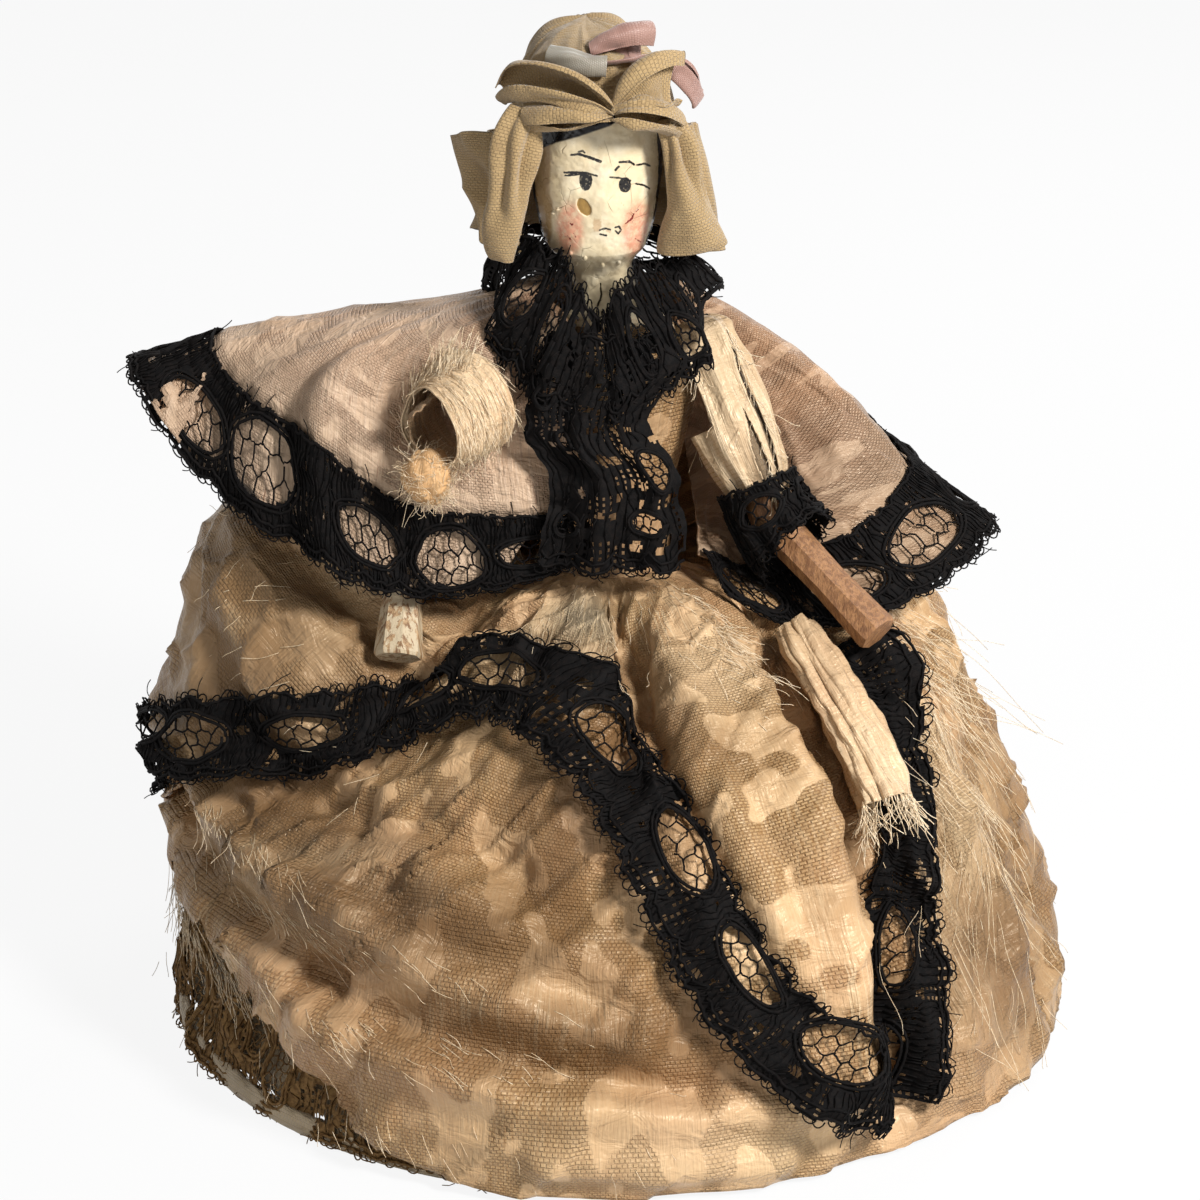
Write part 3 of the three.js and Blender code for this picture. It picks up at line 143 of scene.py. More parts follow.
def noise(x: Array, y: Array, seed: int) -> Array:
    """Smooth noise with one bump to each whole step of x and y.

    Args:
        x: Places along the first direction.
        y: Places along the second.
        seed: Varies it.

    Returns:
        Values from -1 to 1.
    """
    x, y = np.broadcast_arrays(np.asarray(x, float), np.asarray(y, float))
    ix, iy = np.floor(x).astype(np.int64), np.floor(y).astype(np.int64)
    fx, fy = x - ix, y - iy
    fx, fy = fx**3 * (6 * fx * fx - 15 * fx + 10), fy**3 * (6 * fy * fy - 15 * fy + 10)

    def corner(dx: int, dy: int) -> Array:
        """A fixed random value at one corner of the cell.

        Args:
            dx: 0 or 1 step along x.
            dy: 0 or 1 step along y.

        Returns:
            Values from -1 to 1.
        """
        h = (ix + dx) * 374761393 + (iy + dy) * 668265263 + seed * 1442695041
        h = ((h ^ (h >> 13)) * 1274126177) & 0x7FFFFFFF
        h = ((h ^ (h >> 16)) * 60493) & 0xFFFFFF
        return h / 0x7FFFFF - 1

    low = mix(corner(0, 0), corner(1, 0), fx)
    high = mix(corner(0, 1), corner(1, 1), fx)
    return mix(low, high, fy)


def crest(x: Array, y: Array, seed: int) -> Array:
    """Noise with sharp crests, up to 1."""
    return 1 - 2 * np.abs(noise(x, y, seed))


def layered(x: Array, y: Array, seed: int) -> Array:
    """Noise with two finer and weaker layers added."""
    return sum(noise(x * 2**k, y * 2**k, seed + 7 * k) / 1.8**k for k in range(3))


@dataclass(frozen=True)
class Arm:
    """An arm at rest, with its joints, its directions and its hinge lines."""

    side: int
    shoulder: Array
    elbow: Array
    hand: Array
    down: Array
    lower: Array
    shoulder_hinge: Array
    elbow_hinge: Array

    @classmethod
    def posed(cls, side: int, splay: float, swing: float, twist: float, bend: float) -> "Arm":
        """Works an arm out from its angles.

        Args:
            side: 1 for the doll's left and -1 for its right.
            splay: Degrees out to the side.
            swing: Degrees forward.
            twist: Degrees that the elbow's hinge is turned.
            bend: Degrees that the elbow is bent.

        Returns:
            The arm.
        """
        a, s, t, e = np.radians([splay, swing, twist, bend])
        mirror = np.array([side, 1, 1])
        down = mirror * [math.sin(a) * math.cos(s), -math.sin(s), -math.cos(a) * math.cos(s)]
        ahead = mirror * [-math.sin(a) * math.sin(s), -math.cos(s), math.cos(a) * math.sin(s)]
        out = mirror * [math.cos(a), 0, math.sin(a)]
        shoulder = np.array([side * SHOULDER_HALF_SPAN, 0, SHOULDER_HEIGHT])
        elbow = shoulder + down * UPPER_ARM_LENGTH
        way = ahead * math.cos(t) + out * math.sin(t)
        lower = down * math.cos(e) + way * math.sin(e)
        lower_ahead = way * math.cos(e) - down * math.sin(e)
        return cls(side, shoulder, elbow, elbow + lower * LOWER_ARM_LENGTH, down, lower,
                   np.cross(ahead, down), np.cross(lower_ahead, lower))


LEFT_ARM = Arm.posed(1, 24, 21, 55, 27)
RIGHT_ARM = Arm.posed(-1, 33.7, 10, -40, 38)


# The bell of the skirts. Twelve profiles stand 30 degrees apart, from the back round by the
# doll's right, the front and its left. Each runs from the waist to the hem: how far out the
# cloth is, as a share of the way to the hem, and how high, as a share of the waist's height.
BELL_OUT = np.array([
    [0, 0.20, 0.42, 0.62, 0.75, 0.83, 0.90, 0.965, 1.00],
    [0, 0.22, 0.46, 0.665, 0.79, 0.865, 0.92, 0.975, 1.00],
    [0, 0.25, 0.51, 0.72, 0.85, 0.91, 0.95, 0.985, 1.005],
    [0, 0.24, 0.49, 0.70, 0.835, 0.88, 0.915, 0.96, 1.01],
    [0, 0.15, 0.29, 0.43, 0.58, 0.74, 0.86, 0.955, 1.01],
    [0, 0.12, 0.24, 0.37, 0.52, 0.69, 0.84, 0.955, 1.00],
    [0, 0.14, 0.29, 0.43, 0.57, 0.72, 0.85, 0.96, 1.00],
    [0, 0.16, 0.33, 0.47, 0.60, 0.73, 0.85, 0.96, 1.00],
    [0, 0.17, 0.34, 0.50, 0.62, 0.73, 0.85, 0.97, 1.02],
    [0, 0.19, 0.38, 0.55, 0.66, 0.76, 0.87, 0.98, 1.04],
    [0, 0.20, 0.395, 0.58, 0.69, 0.775, 0.87, 0.98, 1.03],
    [0, 0.20, 0.41, 0.60, 0.73, 0.81, 0.89, 0.97, 1.01],
])
BELL_UP = np.array([
    [1.00, 1.06, 1.07, 1.00, 0.86, 0.66, 0.44, 0.20, 0],
    [1.00, 1.08, 1.10, 1.02, 0.87, 0.67, 0.45, 0.20, 0],
    [1.00, 1.06, 1.12, 1.08, 0.93, 0.69, 0.455, 0.20, 0],
    [1.00, 1.02, 1.06, 1.08, 0.95, 0.69, 0.46, 0.205, 0],
    [1.00, 0.96, 0.88, 0.785, 0.69, 0.575, 0.42, 0.20, 0],
    [1.00, 0.985, 0.93, 0.845, 0.74, 0.60, 0.42, 0.20, 0],
    [1.00, 0.98, 0.92, 0.84, 0.73, 0.59, 0.41, 0.20, 0],
    [1.00, 0.985, 0.93, 0.84, 0.73, 0.59, 0.41, 0.20, 0],
    [1.00, 0.98, 0.93, 0.845, 0.75, 0.62, 0.43, 0.20, 0],
    [1.00, 0.99, 0.97, 0.92, 0.82, 0.66, 0.455, 0.20, 0],
    [1.00, 1.03, 1.04, 0.97, 0.85, 0.66, 0.45, 0.20, 0],
    [1.00, 1.05, 1.06, 0.99, 0.86, 0.66, 0.445, 0.20, 0],
])
# Degrees between profiles, and how many profiles there are
PROFILE_STEP = 30
PROFILES = len(BELL_OUT)
# Rows from the waist to the hem, and the degrees that count as one row across
ROWS = 8
DEGREES_PER_ROW = 9

# Main folds and creases: angle and row of both ends, height in millimetres, width in rows
MAIN_FOLDS = np.array([
    [26, 1.2, 30, 5.4, 1.7, 1.1], [51, 2.2, 45, 5.6, -1.9, 0.9], [3, 1.7, 8, 3.4, -1.4, 0.75],
    [-14, 1.2, -10, 2.6, 0.9, 0.8], [-62, 2.4, -98, 3.6, -0.9, 0.65],
    [-62, 3.5, -92, 4.7, 1.1, 0.7], [-88, 6.2, -38, 6.0, 1.0, 0.5],
    [-60, 5.2, -8, 6.1, 0.9, 0.5], [-40, 7.0, 12, 7.3, 0.9, 0.45], [-20, 4.6, 2, 6.6, -0.9, 0.5],
    [70, 3.6, 58, 7.2, 1.2, 0.8], [88, 3.0, 80, 6.8, -1.1, 0.6], [108, 2.2, 104, 6.6, 1.3, 0.9],
    [132, 2.0, 130, 6.8, -1.1, 0.7], [156, 1.8, 155, 6.8, 1.4, 0.9],
    [182, 2.0, 180, 6.8, -1.1, 0.7], [206, 1.8, 208, 6.4, 1.1, 1.1],
    [232, 2.4, 236, 6.2, -1.0, 0.9],
])


def fold_height(folds: Array, angle: Array, row: Array) -> Array:
    """The height of folds at places of the bell.

    Args:
        folds: Rows of two ends, a height and a width.
        angle: Degrees round the bell from the front.
        row: Rows down from the waist.

    Returns:
        The summed height in millimetres.
    """
    total = np.zeros(np.broadcast(angle, row).shape)
    for a0, r0, a1, r1, height, width in folds:
        dx, dy = (a1 - a0) / DEGREES_PER_ROW, r1 - r0
        for turn in (-360, 0, 360):
            px, py = (angle + turn - a0) / DEGREES_PER_ROW, row - r0
            share = np.clip((px * dx + py * dy) / (dx * dx + dy * dy), 0, 1)
            gap = np.hypot(px - share * dx, py - share * dy)
            total += height * np.exp(-((gap / width) ** 2))
    return total * smoothstep(0.2, 1.8, row)


def bell_bare(angle: Array, row: Array) -> Array:
    """Points of the bell without its folds, in millimetres.

    Args:
        angle: Degrees round the bell from the front.
        row: Rows down from the waist.

    Returns:
        Points in millimetres.
    """
    angle, row = np.broadcast_arrays(np.asarray(angle, float), np.asarray(row, float))
    place = (angle + 180) / PROFILE_STEP
    first = np.floor(place).astype(int)
    t = place - first

    def read(table: Array) -> Array:
        """One table read at every place.

        Args:
            table: Profiles by places down them.

        Returns:
            Its values.
        """
        rows = spline(table.T, row)
        return cubic(t, *(
            np.take_along_axis(rows, ((first + k) % PROFILES)[..., None], -1)[..., 0]
            for k in NEIGHBOURS))

    out = mix(WAIST_RADIUS, HEM_RADIUS, read(BELL_OUT))
    turn = np.radians(angle)
    return np.stack([out * np.sin(turn), -out * np.cos(turn), WAIST_HEIGHT * read(BELL_UP)], -1)


def outward(surface: Callable[[Array, Array], Array], angle: Array, row: Array) -> Array:
    """The outward normal of a surface over the bell.

    Args:
        surface: Gives points from angles and rows.
        angle: Degrees round the bell from the front.
        row: Rows down from the waist.

    Returns:
        Directions of length one.
    """
    low, high = np.maximum(0, row - 0.1), np.minimum(ROWS, row + 0.1)
    around = surface(angle + 1, row) - surface(angle - 1, row)
    down = surface(angle, high) - surface(angle, low)
    return unit(np.cross(down, around))


def give_way(points: Array, normals: Array) -> Array:
    """How far the skirts give way under the doll's right lower arm, in millimetres.

    Args:
        points: Points of the skirts, in millimetres.
        normals: The outward direction at each.

    Returns:
        Distances in millimetres.
    """
    run = RIGHT_ARM.hand - RIGHT_ARM.elbow
    share = np.clip(((points - RIGHT_ARM.elbow) @ run) / (run @ run), 0, 1)
    apart = RIGHT_ARM.elbow + share[..., None] * run - points
    above = (apart * normals).sum(-1)
    aside = np.linalg.norm(apart - above[..., None] * normals, axis=-1)
    wanted = ARM_ROOM * (1 - (aside / (DENT_WIDTH * ARM_ROOM)) ** 2)
    close = (np.linalg.norm(apart, axis=-1) <= 3 * ARM_ROOM) & (wanted > 0)
    return np.where(close, np.maximum(0, wanted - above), 0)


def bell_folded(angle: Array, row: Array) -> Array:
    """Points of the bell with its main folds.

    Args:
        angle: Degrees round the bell from the front.
        row: Rows down from the waist.

    Returns:
        Points in millimetres.
    """
    rise = fold_height(MAIN_FOLDS, angle, row)
    normals = outward(bell_bare, angle, row)
    points = bell_bare(angle, row) + normals * rise[..., None]
    return points - normals * give_way(points, normals)[..., None]


def bell(angle: Array, row: Array, lift: float) -> Array:
    """Points of the skirts, raised off the middle of the skirt cloth.

    Args:
        angle: Degrees round the bell from the front.
        row: Rows down from the waist.
        lift: Millimetres off the cloth.

    Returns:
        Points in millimetres.
    """
    angle, row = np.broadcast_arrays(np.asarray(angle, float), np.asarray(row, float))
    lift = np.broadcast_to(lift, angle.shape)[..., None]
    return bell_folded(angle, row) + outward(bell_folded, angle, row) * lift


# Building meshes


def add_mesh(name: str, points: Array, faces: list[Array], cloth: Array | None = None,
             marks: dict[str, Array | float] | None = None) -> bpy.types.Object:
    """Makes an object from points in millimetres.

    Args:
        name: The piece's name.
        points: Points, one row each.
        faces: Arrays of corner numbers, each with one count of corners.
        cloth: The cloth's own coordinates at each face corner, in millimetres.
        marks: Values for the finish to read, at each point or one for all.

    Returns:
        The new object, smooth shaded.
    """
    mesh = bpy.data.meshes.new(name)
    corners = np.concatenate([f.ravel() for f in faces]).astype(np.int32)
    sizes = np.concatenate([np.full(len(f), f.shape[1], np.int32) for f in faces])
    mesh.vertices.add(len(points))
    mesh.vertices.foreach_set("co", (points * MM).astype(np.float32).ravel())
    mesh.loops.add(len(corners))
    mesh.loops.foreach_set("vertex_index", corners)
    mesh.polygons.add(len(sizes))
    mesh.polygons.foreach_set("loop_start", (np.cumsum(sizes) - sizes).astype(np.int32))
    mesh.polygons.foreach_set("use_smooth", np.ones(len(sizes), bool))
    if cloth is not None:
        layer = mesh.uv_layers.new(name="cloth")
        layer.data.foreach_set("uv", cloth.astype(np.float32).ravel())
    for key, values in (marks or {}).items():
        attribute = mesh.attributes.new(key, "FLOAT", "POINT")
        levels = np.broadcast_to(np.ravel(values), len(points))
        attribute.data.foreach_set("value", levels.astype(np.float32))
    mesh.update(calc_edges=True)
    mesh.validate()
    piece = bpy.data.objects.new(name, mesh)
    bpy.context.scene.collection.objects.link(piece)
    return piece


@dataclass
class Patch:
    """A sheet as a grid of points, in millimetres.

    A closed patch joins its last column to its first, and its cloth has one column more.
    """

    points: Array
    cloth: Array
    closed: bool = False
    keep: Array | None = None
    marks: dict[str, Array | float] = field(default_factory=dict)

    def build(self, name: str, thickness: float = 0.0) -> bpy.types.Object:
        """Makes the sheet's mesh.

        Args:
            name: The piece's name.
            thickness: The cloth's thickness in millimetres, or 0 for a bare sheet.

        Returns:
            The new object.
        """
        across, down = self.points.shape[:2]
        i, j = np.meshgrid(np.arange(across if self.closed else across - 1),
                           np.arange(down - 1), indexing="ij")
        corners = [(i, j), (i + 1, j), (i + 1, j + 1), (i, j + 1)]
        quads = np.stack([(a % across) * down + b for a, b in corners], -1)
        cloth = np.stack([self.cloth[a, b] for a, b in corners], -2)
        chosen = np.ones(i.shape, bool) if self.keep is None else self.keep
        piece = add_mesh(name, self.points.reshape(-1, 3), [quads[chosen]],
                         cloth[chosen].reshape(-1, 2), self.marks)
        if thickness:
            solid = piece.modifiers.new("thickness", "SOLIDIFY")
            solid.thickness = thickness * MM
            solid.offset = 0
        return piece


# Nearly upright, so that no thread runs quite along it
TUBE_UP = np.array([0.02, 0.05, 1.0])


def tube_mesh(paths: Array, radius: Array | float, sides: int) -> tuple[Array, list[Array]]:
    """Closed tubes along many paths with equal counts of points.

    Args:
        paths: Points, as tubes by points by 3.
        radius: The radius of all, or at each point.
        sides: Sides of each tube.

    Returns:
        The points and the faces.
    """
    count, steps = paths.shape[:2]
    along = unit(np.gradient(paths, axis=1))
    side = unit(np.cross(along, TUBE_UP))
    over = np.cross(side, along)
    turn = turns(sides)
    ring = (np.cos(turn)[:, None] * side[:, :, None] + np.sin(turn)[:, None] * over[:, :, None])
    size = np.broadcast_to(radius, (count, steps))[..., None, None]
    points = (paths[:, :, None] + ring * size).reshape(-1, 3)
    m, k, j = np.meshgrid(np.arange(count), np.arange(steps - 1), np.arange(sides), indexing="ij")
    a = (m * steps + k) * sides + j
    b = (m * steps + k) * sides + (j + 1) % sides
    walls = np.stack([a, b, b + sides, a + sides], -1).reshape(-1, 4)
    first = (np.arange(count) * steps * sides)[:, None] + np.arange(sides)
    last = first + (steps - 1) * sides
    return points, [walls, np.concatenate([first[:, ::-1], last])]


class Threads:
    """Gathers tubes of many kinds into one mesh."""

    def __init__(self) -> None:
        """Starts with nothing."""
        self.points: list[Array] = []
        self.faces: list[Array] = []
        self.count = 0

    def add(self, paths: Array, radius: Array | float, sides: int) -> None:
        """Adds tubes along paths, tubes by points by 3."""
        if len(paths):
            self.add_faces(*tube_mesh(np.asarray(paths, float), radius, sides))

    def add_faces(self, points: Array, faces: list[Array]) -> None:
        """Adds any points and faces.

        Args:
            points: Points, one row each.
            faces: Arrays of corner numbers that start from 0.
        """
        self.faces += [f + self.count for f in faces]
        self.points.append(points)
        self.count += len(points)

    def build(self, name: str) -> bpy.types.Object:
        """Makes one object of all that was added."""
        return add_mesh(name, np.concatenate(self.points), self.faces)


# Finishes


Value = bpy.types.NodeSocket | float | tuple


class Graph:
    """Writes the nodes of one material."""

    def __init__(self, name: str) -> None:
        """Starts a material with a plain shader.

        Args:
            name: The material's name.
        """
        self.material = bpy.data.materials.new(name)
        self.material.use_nodes = True
        self.tree = self.material.node_tree
        self.shader = self.tree.nodes["Principled BSDF"]

    def node(self, kind: str, inputs: dict[str | int, Value] | None = None,
             **settings: str | float | bool) -> bpy.types.Node:
        """Adds a node.

        Args:
            kind: The node's type without its first words.
            inputs: What its inputs are linked or set to.
            settings: Its other settings.

        Returns:
            The node.
        """
        made = self.tree.nodes.new("ShaderNode" + kind)
        for key, value in settings.items():
            setattr(made, key, value)
        for key, value in (inputs or {}).items():
            self.put(made.inputs[key], value)
        return made

    def put(self, socket: bpy.types.NodeSocket, value: Value) -> None:
        """Links a socket to another, or sets its value.

        Args:
            socket: The socket.
            value: Another socket, or a value.
        """
        if isinstance(value, bpy.types.NodeSocket):
            self.tree.links.new(value, socket)
        else:
            socket.default_value = value

    def shade(self, **inputs: Value) -> bpy.types.Material:
        """Sets the shader's inputs, with _ for a space, and gives the material.

        Args:
            inputs: The inputs by name.

        Returns:
            The material.
        """
        for key, value in inputs.items():
            self.put(self.shader.inputs[key.replace("_", " ")], value)
        return self.material

    def calc(self, operation: str, a: Value, b: Value = 0.0, c: Value = 0.0,
             clamp: bool = False) -> bpy.types.NodeSocket:
        """The result of a Math node."""
        made = self.node("Math", {0: a, 1: b, 2: c}, operation=operation, use_clamp=clamp)
        return made.outputs[0]

    def rise(self, value: Value, low: float, high: float) -> bpy.types.NodeSocket:
        """A smooth rise from 0 at low to 1 at high."""
        return self.node("MapRange", {0: value, 1: low, 2: high},
                         interpolation_type="SMOOTHSTEP").outputs[0]

    def blend(self, share: Value, a: Value, b: Value) -> bpy.types.NodeSocket:
        """The colour a share of the way from a to b.

        Args:
            share: The share.
            a: The first colour.
            b: The second colour.

        Returns:
            The result's socket.
        """
        made = self.node("Mix", {0: share}, data_type="RGBA")
        self.put(made.inputs[6], a)
        self.put(made.inputs[7], b)
        return made.outputs[2]

    def cloth(self, sx: float = 1.0, sy: float = 1.0) -> bpy.types.NodeSocket:
        """The cloth's own coordinates in millimetres, stretched."""
        uv = self.node("UVMap", uv_map="cloth").outputs[0]
        return self.node("VectorMath", {0: uv, 1: (sx, sy, 1)}, operation="MULTIPLY").outputs[0]

    def place(self, sx: float = 1.0, sy: float = 1.0, sz: float = 1.0
              ) -> bpy.types.NodeSocket:
        """The object's coordinates in millimetres, stretched.

        Args:
            sx: The stretch along x.
            sy: The stretch along y.
            sz: The stretch along z.

        Returns:
            The result's socket.
        """
        spot = self.node("TexCoord").outputs["Object"]
        scale = (sx / MM, sy / MM, sz / MM)
        return self.node("VectorMath", {0: spot, 1: scale}, operation="MULTIPLY").outputs[0]

    def mark(self, name: str) -> bpy.types.NodeSocket:
        """A value that the mesh holds at each point."""
        return self.node("Attribute", attribute_name=name).outputs["Fac"]

    def noise(self, vector: Value, scale: float, detail: float = 2.0, rough: float = 0.5,
              warp: float = 0.0) -> bpy.types.NodeSocket:
        """A noise texture's value."""
        return self.node("TexNoise", {"Vector": vector, "Scale": scale, "Detail": detail,
                                      "Roughness": rough, "Distortion": warp}).outputs["Fac"]

    def bump(self, height: Value, distance: float) -> None:
        """Raises the surface by height times distance in millimetres."""
        made = self.node("Bump", {"Height": height, "Distance": distance * MM, "Strength": 1.0})
        self.put(self.shader.inputs["Normal"], made.outputs[0])


Colour = tuple[float, float, float]


def opaque(colour: Colour) -> tuple[float, float, float, float]:
    """A colour with full alpha."""
    return (*colour, 1.0)


@dataclass(frozen=True)
class Silk:
    """Woven silk with a dotted ground and a satin figure, stained and worn, with painted shade laid
    in with the stains where its drapery is dark.
    """

    name: str
    ground: Colour = (0.47, 0.295, 0.135)
    figure: Colour = (0.55, 0.35, 0.18)
    deep: Colour = (0.22, 0.112, 0.04)
    pale: Colour = (0.72, 0.55, 0.34)
    grey: Colour = (0.30, 0.25, 0.17)
    # Dark dirt, also painted in as shade on the skirt's lower front and folds
    soil_and_shade: Colour = (0.10, 0.045, 0.016)
    rose: Colour = (0.50, 0.27, 0.14)
    # Dark brown of stains, also painted in as shade on the skirts' dark lower front and folds
    stain_and_shade: Colour = (0.15, 0.075, 0.026)
    dot: float = 0.39
    row: float = 0.28
    figure_wide: float = 15.0
    figure_long: float = 18.0
    figure_level: float = 0.12
    roughness: float = 0.36
    dots: float = 0.85

    def material(self) -> bpy.types.Material:
        """Builds the finish.

        Returns:
            The material.
        """
        g = Graph(self.name)
        uv = g.cloth()
        wander = g.noise(uv, 0.11, 2.0, 0.5)
        xyz = g.node("SeparateXYZ", {0: uv}).outputs
        bend = g.calc("MULTIPLY_ADD", wander, 9.0, -4.5)
        sway = g.calc("MULTIPLY_ADD", g.noise(uv, 0.23, 1.0), 7.0, -3.5)
        fx = g.calc("ADD", g.calc("MULTIPLY", xyz[0], TURN / self.figure_wide), bend)
        fy = g.calc("ADD", g.calc("MULTIPLY", xyz[1], TURN / self.figure_long), sway)
        wave = g.calc("MULTIPLY", g.calc("SINE", fx), g.calc("SINE", fy))
        figure = g.rise(wave, self.figure_level - 0.05, self.figure_level + 0.17)
        brick = g.node("TexBrick", {
            "Vector": uv, "Color1": (1, 1, 1, 1), "Color2": (0.45, 0.45, 0.45, 1),
            "Mortar": (0, 0, 0, 1), "Scale": 1.0, "Mortar Size": 0.075, "Mortar Smooth": 0.9,
            "Bias": 0.0, "Brick Width": self.dot, "Row Height": self.row}, offset=0.5)
        knots = g.node("RGBToBW", {0: brick.outputs["Color"]}).outputs[0]
        satin = g.noise(g.cloth(6.0, 0.5), 1.0, 2.0, 0.6)
        ribs = g.noise(g.cloth(0.5, 2.6), 1.0, 1.0)
        crumple = g.noise(g.cloth(0.34, 0.7), 1.0, 3.0, 0.6, 0.8)
        worn = g.mark("worn")
        streak = g.noise(g.cloth(3.2, 0.16), 1.0, 3.0, 0.65, 0.3)
        split = g.calc("MULTIPLY", g.rise(streak, 0.52, 0.62), g.rise(worn, 0.05, 0.7))
        relief = g.blend(figure, knots, satin)
        relief = g.calc("MULTIPLY_ADD", ribs, 0.35, relief)
        weave = g.blend(figure, g.blend(g.calc("MULTIPLY", knots, self.dots), opaque(self.deep),
                                        opaque(self.ground)), opaque(self.figure))
        weave = g.blend(g.calc("MULTIPLY", g.rise(satin, 0.35, 0.75), 0.28), weave,
                        opaque(self.pale))
        weave = g.blend(g.calc("MULTIPLY", g.rise(g.noise(uv, 0.05, 3.0, 0.6), 0.4, 0.62), 0.4),
                        weave, opaque(self.rose))
        weave = g.blend(g.calc("MULTIPLY", g.rise(g.noise(uv, 0.16, 4.0, 0.6), 0.42, 0.75), 0.38),
                        weave, opaque(self.deep))
        weave = g.blend(g.mark("grey"), weave, opaque(self.grey))
        weave = g.blend(g.mark("pale"), weave, opaque(self.pale))
        weave = g.blend(g.calc("MULTIPLY", split, 0.75), weave,
                        g.blend(g.rise(streak, 0.58, 0.7), opaque(self.pale),
                                opaque(self.deep)))
        # Stains and dirt together with painted shade: places of the drapery that lie in shade are
        # painted darker, broken up by noise
        stain_and_shade_share = g.calc("MULTIPLY", g.mark("stain_and_shade"), g.rise(g.noise(uv, 0.21, 4.0, 0.6), 0.1, 0.5))
        weave = g.blend(g.calc("MULTIPLY", stain_and_shade_share, 0.86), weave, opaque(self.stain_and_shade))
        weave = g.blend(g.mark("soil_and_shade"), weave, opaque(self.soil_and_shade))
        height = g.calc("MULTIPLY_ADD", streak, g.calc("MULTIPLY", worn, 3.0), relief)
        height = g.calc("MULTIPLY_ADD", crumple, 5.0, height)
        g.bump(height, 0.10)
        rough = g.calc("MULTIPLY_ADD", knots, 0.12, self.roughness - 0.06)
        return g.shade(Base_Color=weave, Roughness=rough, Specular_IOR_Level=0.34,
                       Specular_Tint=opaque((1.0, 0.86, 0.66)), Anisotropic=0.35)


@dataclass(frozen=True)
class PlainCloth:
    """A plain woven cloth with a crepe surface."""

    name: str
    colour: Colour
    deep: Colour
    pitch: float = 0.26
    crinkle: float = 0.10
    roughness: float = 0.75

    def material(self) -> bpy.types.Material:
        """Builds the finish.

        Returns:
            The material.
        """
        g = Graph(self.name)
        brick = g.node("TexBrick", {
            "Vector": g.cloth(), "Color1": (1, 1, 1, 1), "Color2": (0.6, 0.6, 0.6, 1),
            "Mortar": (0, 0, 0, 1), "Scale": 1.0, "Mortar Size": 0.05, "Mortar Smooth": 1.0,
            "Brick Width": self.pitch * 1.25, "Row Height": self.pitch}, offset=0.5)
        knots = g.node("RGBToBW", {0: brick.outputs["Color"]}).outputs[0]
        crepe = g.noise(g.cloth(0.5, 2.4), 1.0, 3.0, 0.6, 0.4)
        broad = g.noise(g.cloth(), 0.2, 4.0, 0.6)
        colour = g.blend(g.calc("MULTIPLY_ADD", knots, 0.45, 0.55), opaque(self.deep),
                         opaque(self.colour))
        colour = g.blend(g.calc("MULTIPLY", g.rise(broad, 0.4, 0.75), 0.55), colour,
                         opaque(self.deep))
        colour = g.blend(g.mark("soil_and_shade"), colour, opaque(self.deep))
        g.bump(g.calc("MULTIPLY_ADD", knots, 0.5, crepe), self.crinkle)
        return g.shade(Base_Color=colour, Roughness=self.roughness, Sheen_Weight=0.3,
                       Sheen_Roughness=0.5)


@dataclass(frozen=True)
class Thread:
    """Thread of one colour that varies a little along its run."""

    name: str
    colour: Colour
    other: Colour
    roughness: float = 0.55
    gloss: float = 0.5
    scale: float = 2.2

    def material(self) -> bpy.types.Material:
        """Builds the finish.

        Returns:
            The material.
        """
        g = Graph(self.name)
        spot = g.place()
        tone = g.noise(spot, self.scale, 2.0)
        ply = g.noise(g.place(2, 2, 2), 3.0, 1.0)
        g.bump(ply, 0.05)
        colour = g.blend(g.rise(tone, 0.35, 0.7), opaque(self.colour), opaque(self.other))
        return g.shade(Base_Color=colour, Roughness=self.roughness,
                       Specular_IOR_Level=self.gloss)


@dataclass(frozen=True)
class Wood:
    """Bare wood with its grain along one direction, worn paint left on it in places."""

    name: str
    light: Colour
    dark: Colour
    paint: Colour = (0.54, 0.43, 0.28)
    painted: float = 0.0
    along: tuple[float, float, float] = (0.0, 0.0, 1.0)
    roughness: float = 0.55

    def material(self) -> bpy.types.Material:
        """Builds the finish.

        Returns:
            The material.
        """
        g = Graph(self.name)
        across = [1.0 - 0.93 * abs(a) for a in self.along]
        grain = g.noise(g.place(*across), 2.6, 4.0, 0.62, 0.6)
        pores = g.noise(g.place(*[4 * a for a in across]), 2.2, 2.0, 0.6)
        colour = g.blend(g.rise(grain, 0.36, 0.66), opaque(self.light), opaque(self.dark))
        colour = g.blend(g.calc("MULTIPLY", g.rise(pores, 0.56, 0.7), 0.6), colour,
                         opaque(tuple(c * 0.35 for c in self.dark)))
        if self.painted:
            flake = g.noise(g.place(*[1.4 * a for a in across]), 1.3, 4.0, 0.65)
            left = g.rise(flake, 0.62 - 0.24 * self.painted, 0.68 - 0.24 * self.painted)
            colour = g.blend(left, colour, opaque(self.paint))
        g.bump(g.calc("MULTIPLY_ADD", pores, -0.6, grain), 0.12)
        return g.shade(Base_Color=colour, Roughness=self.roughness)


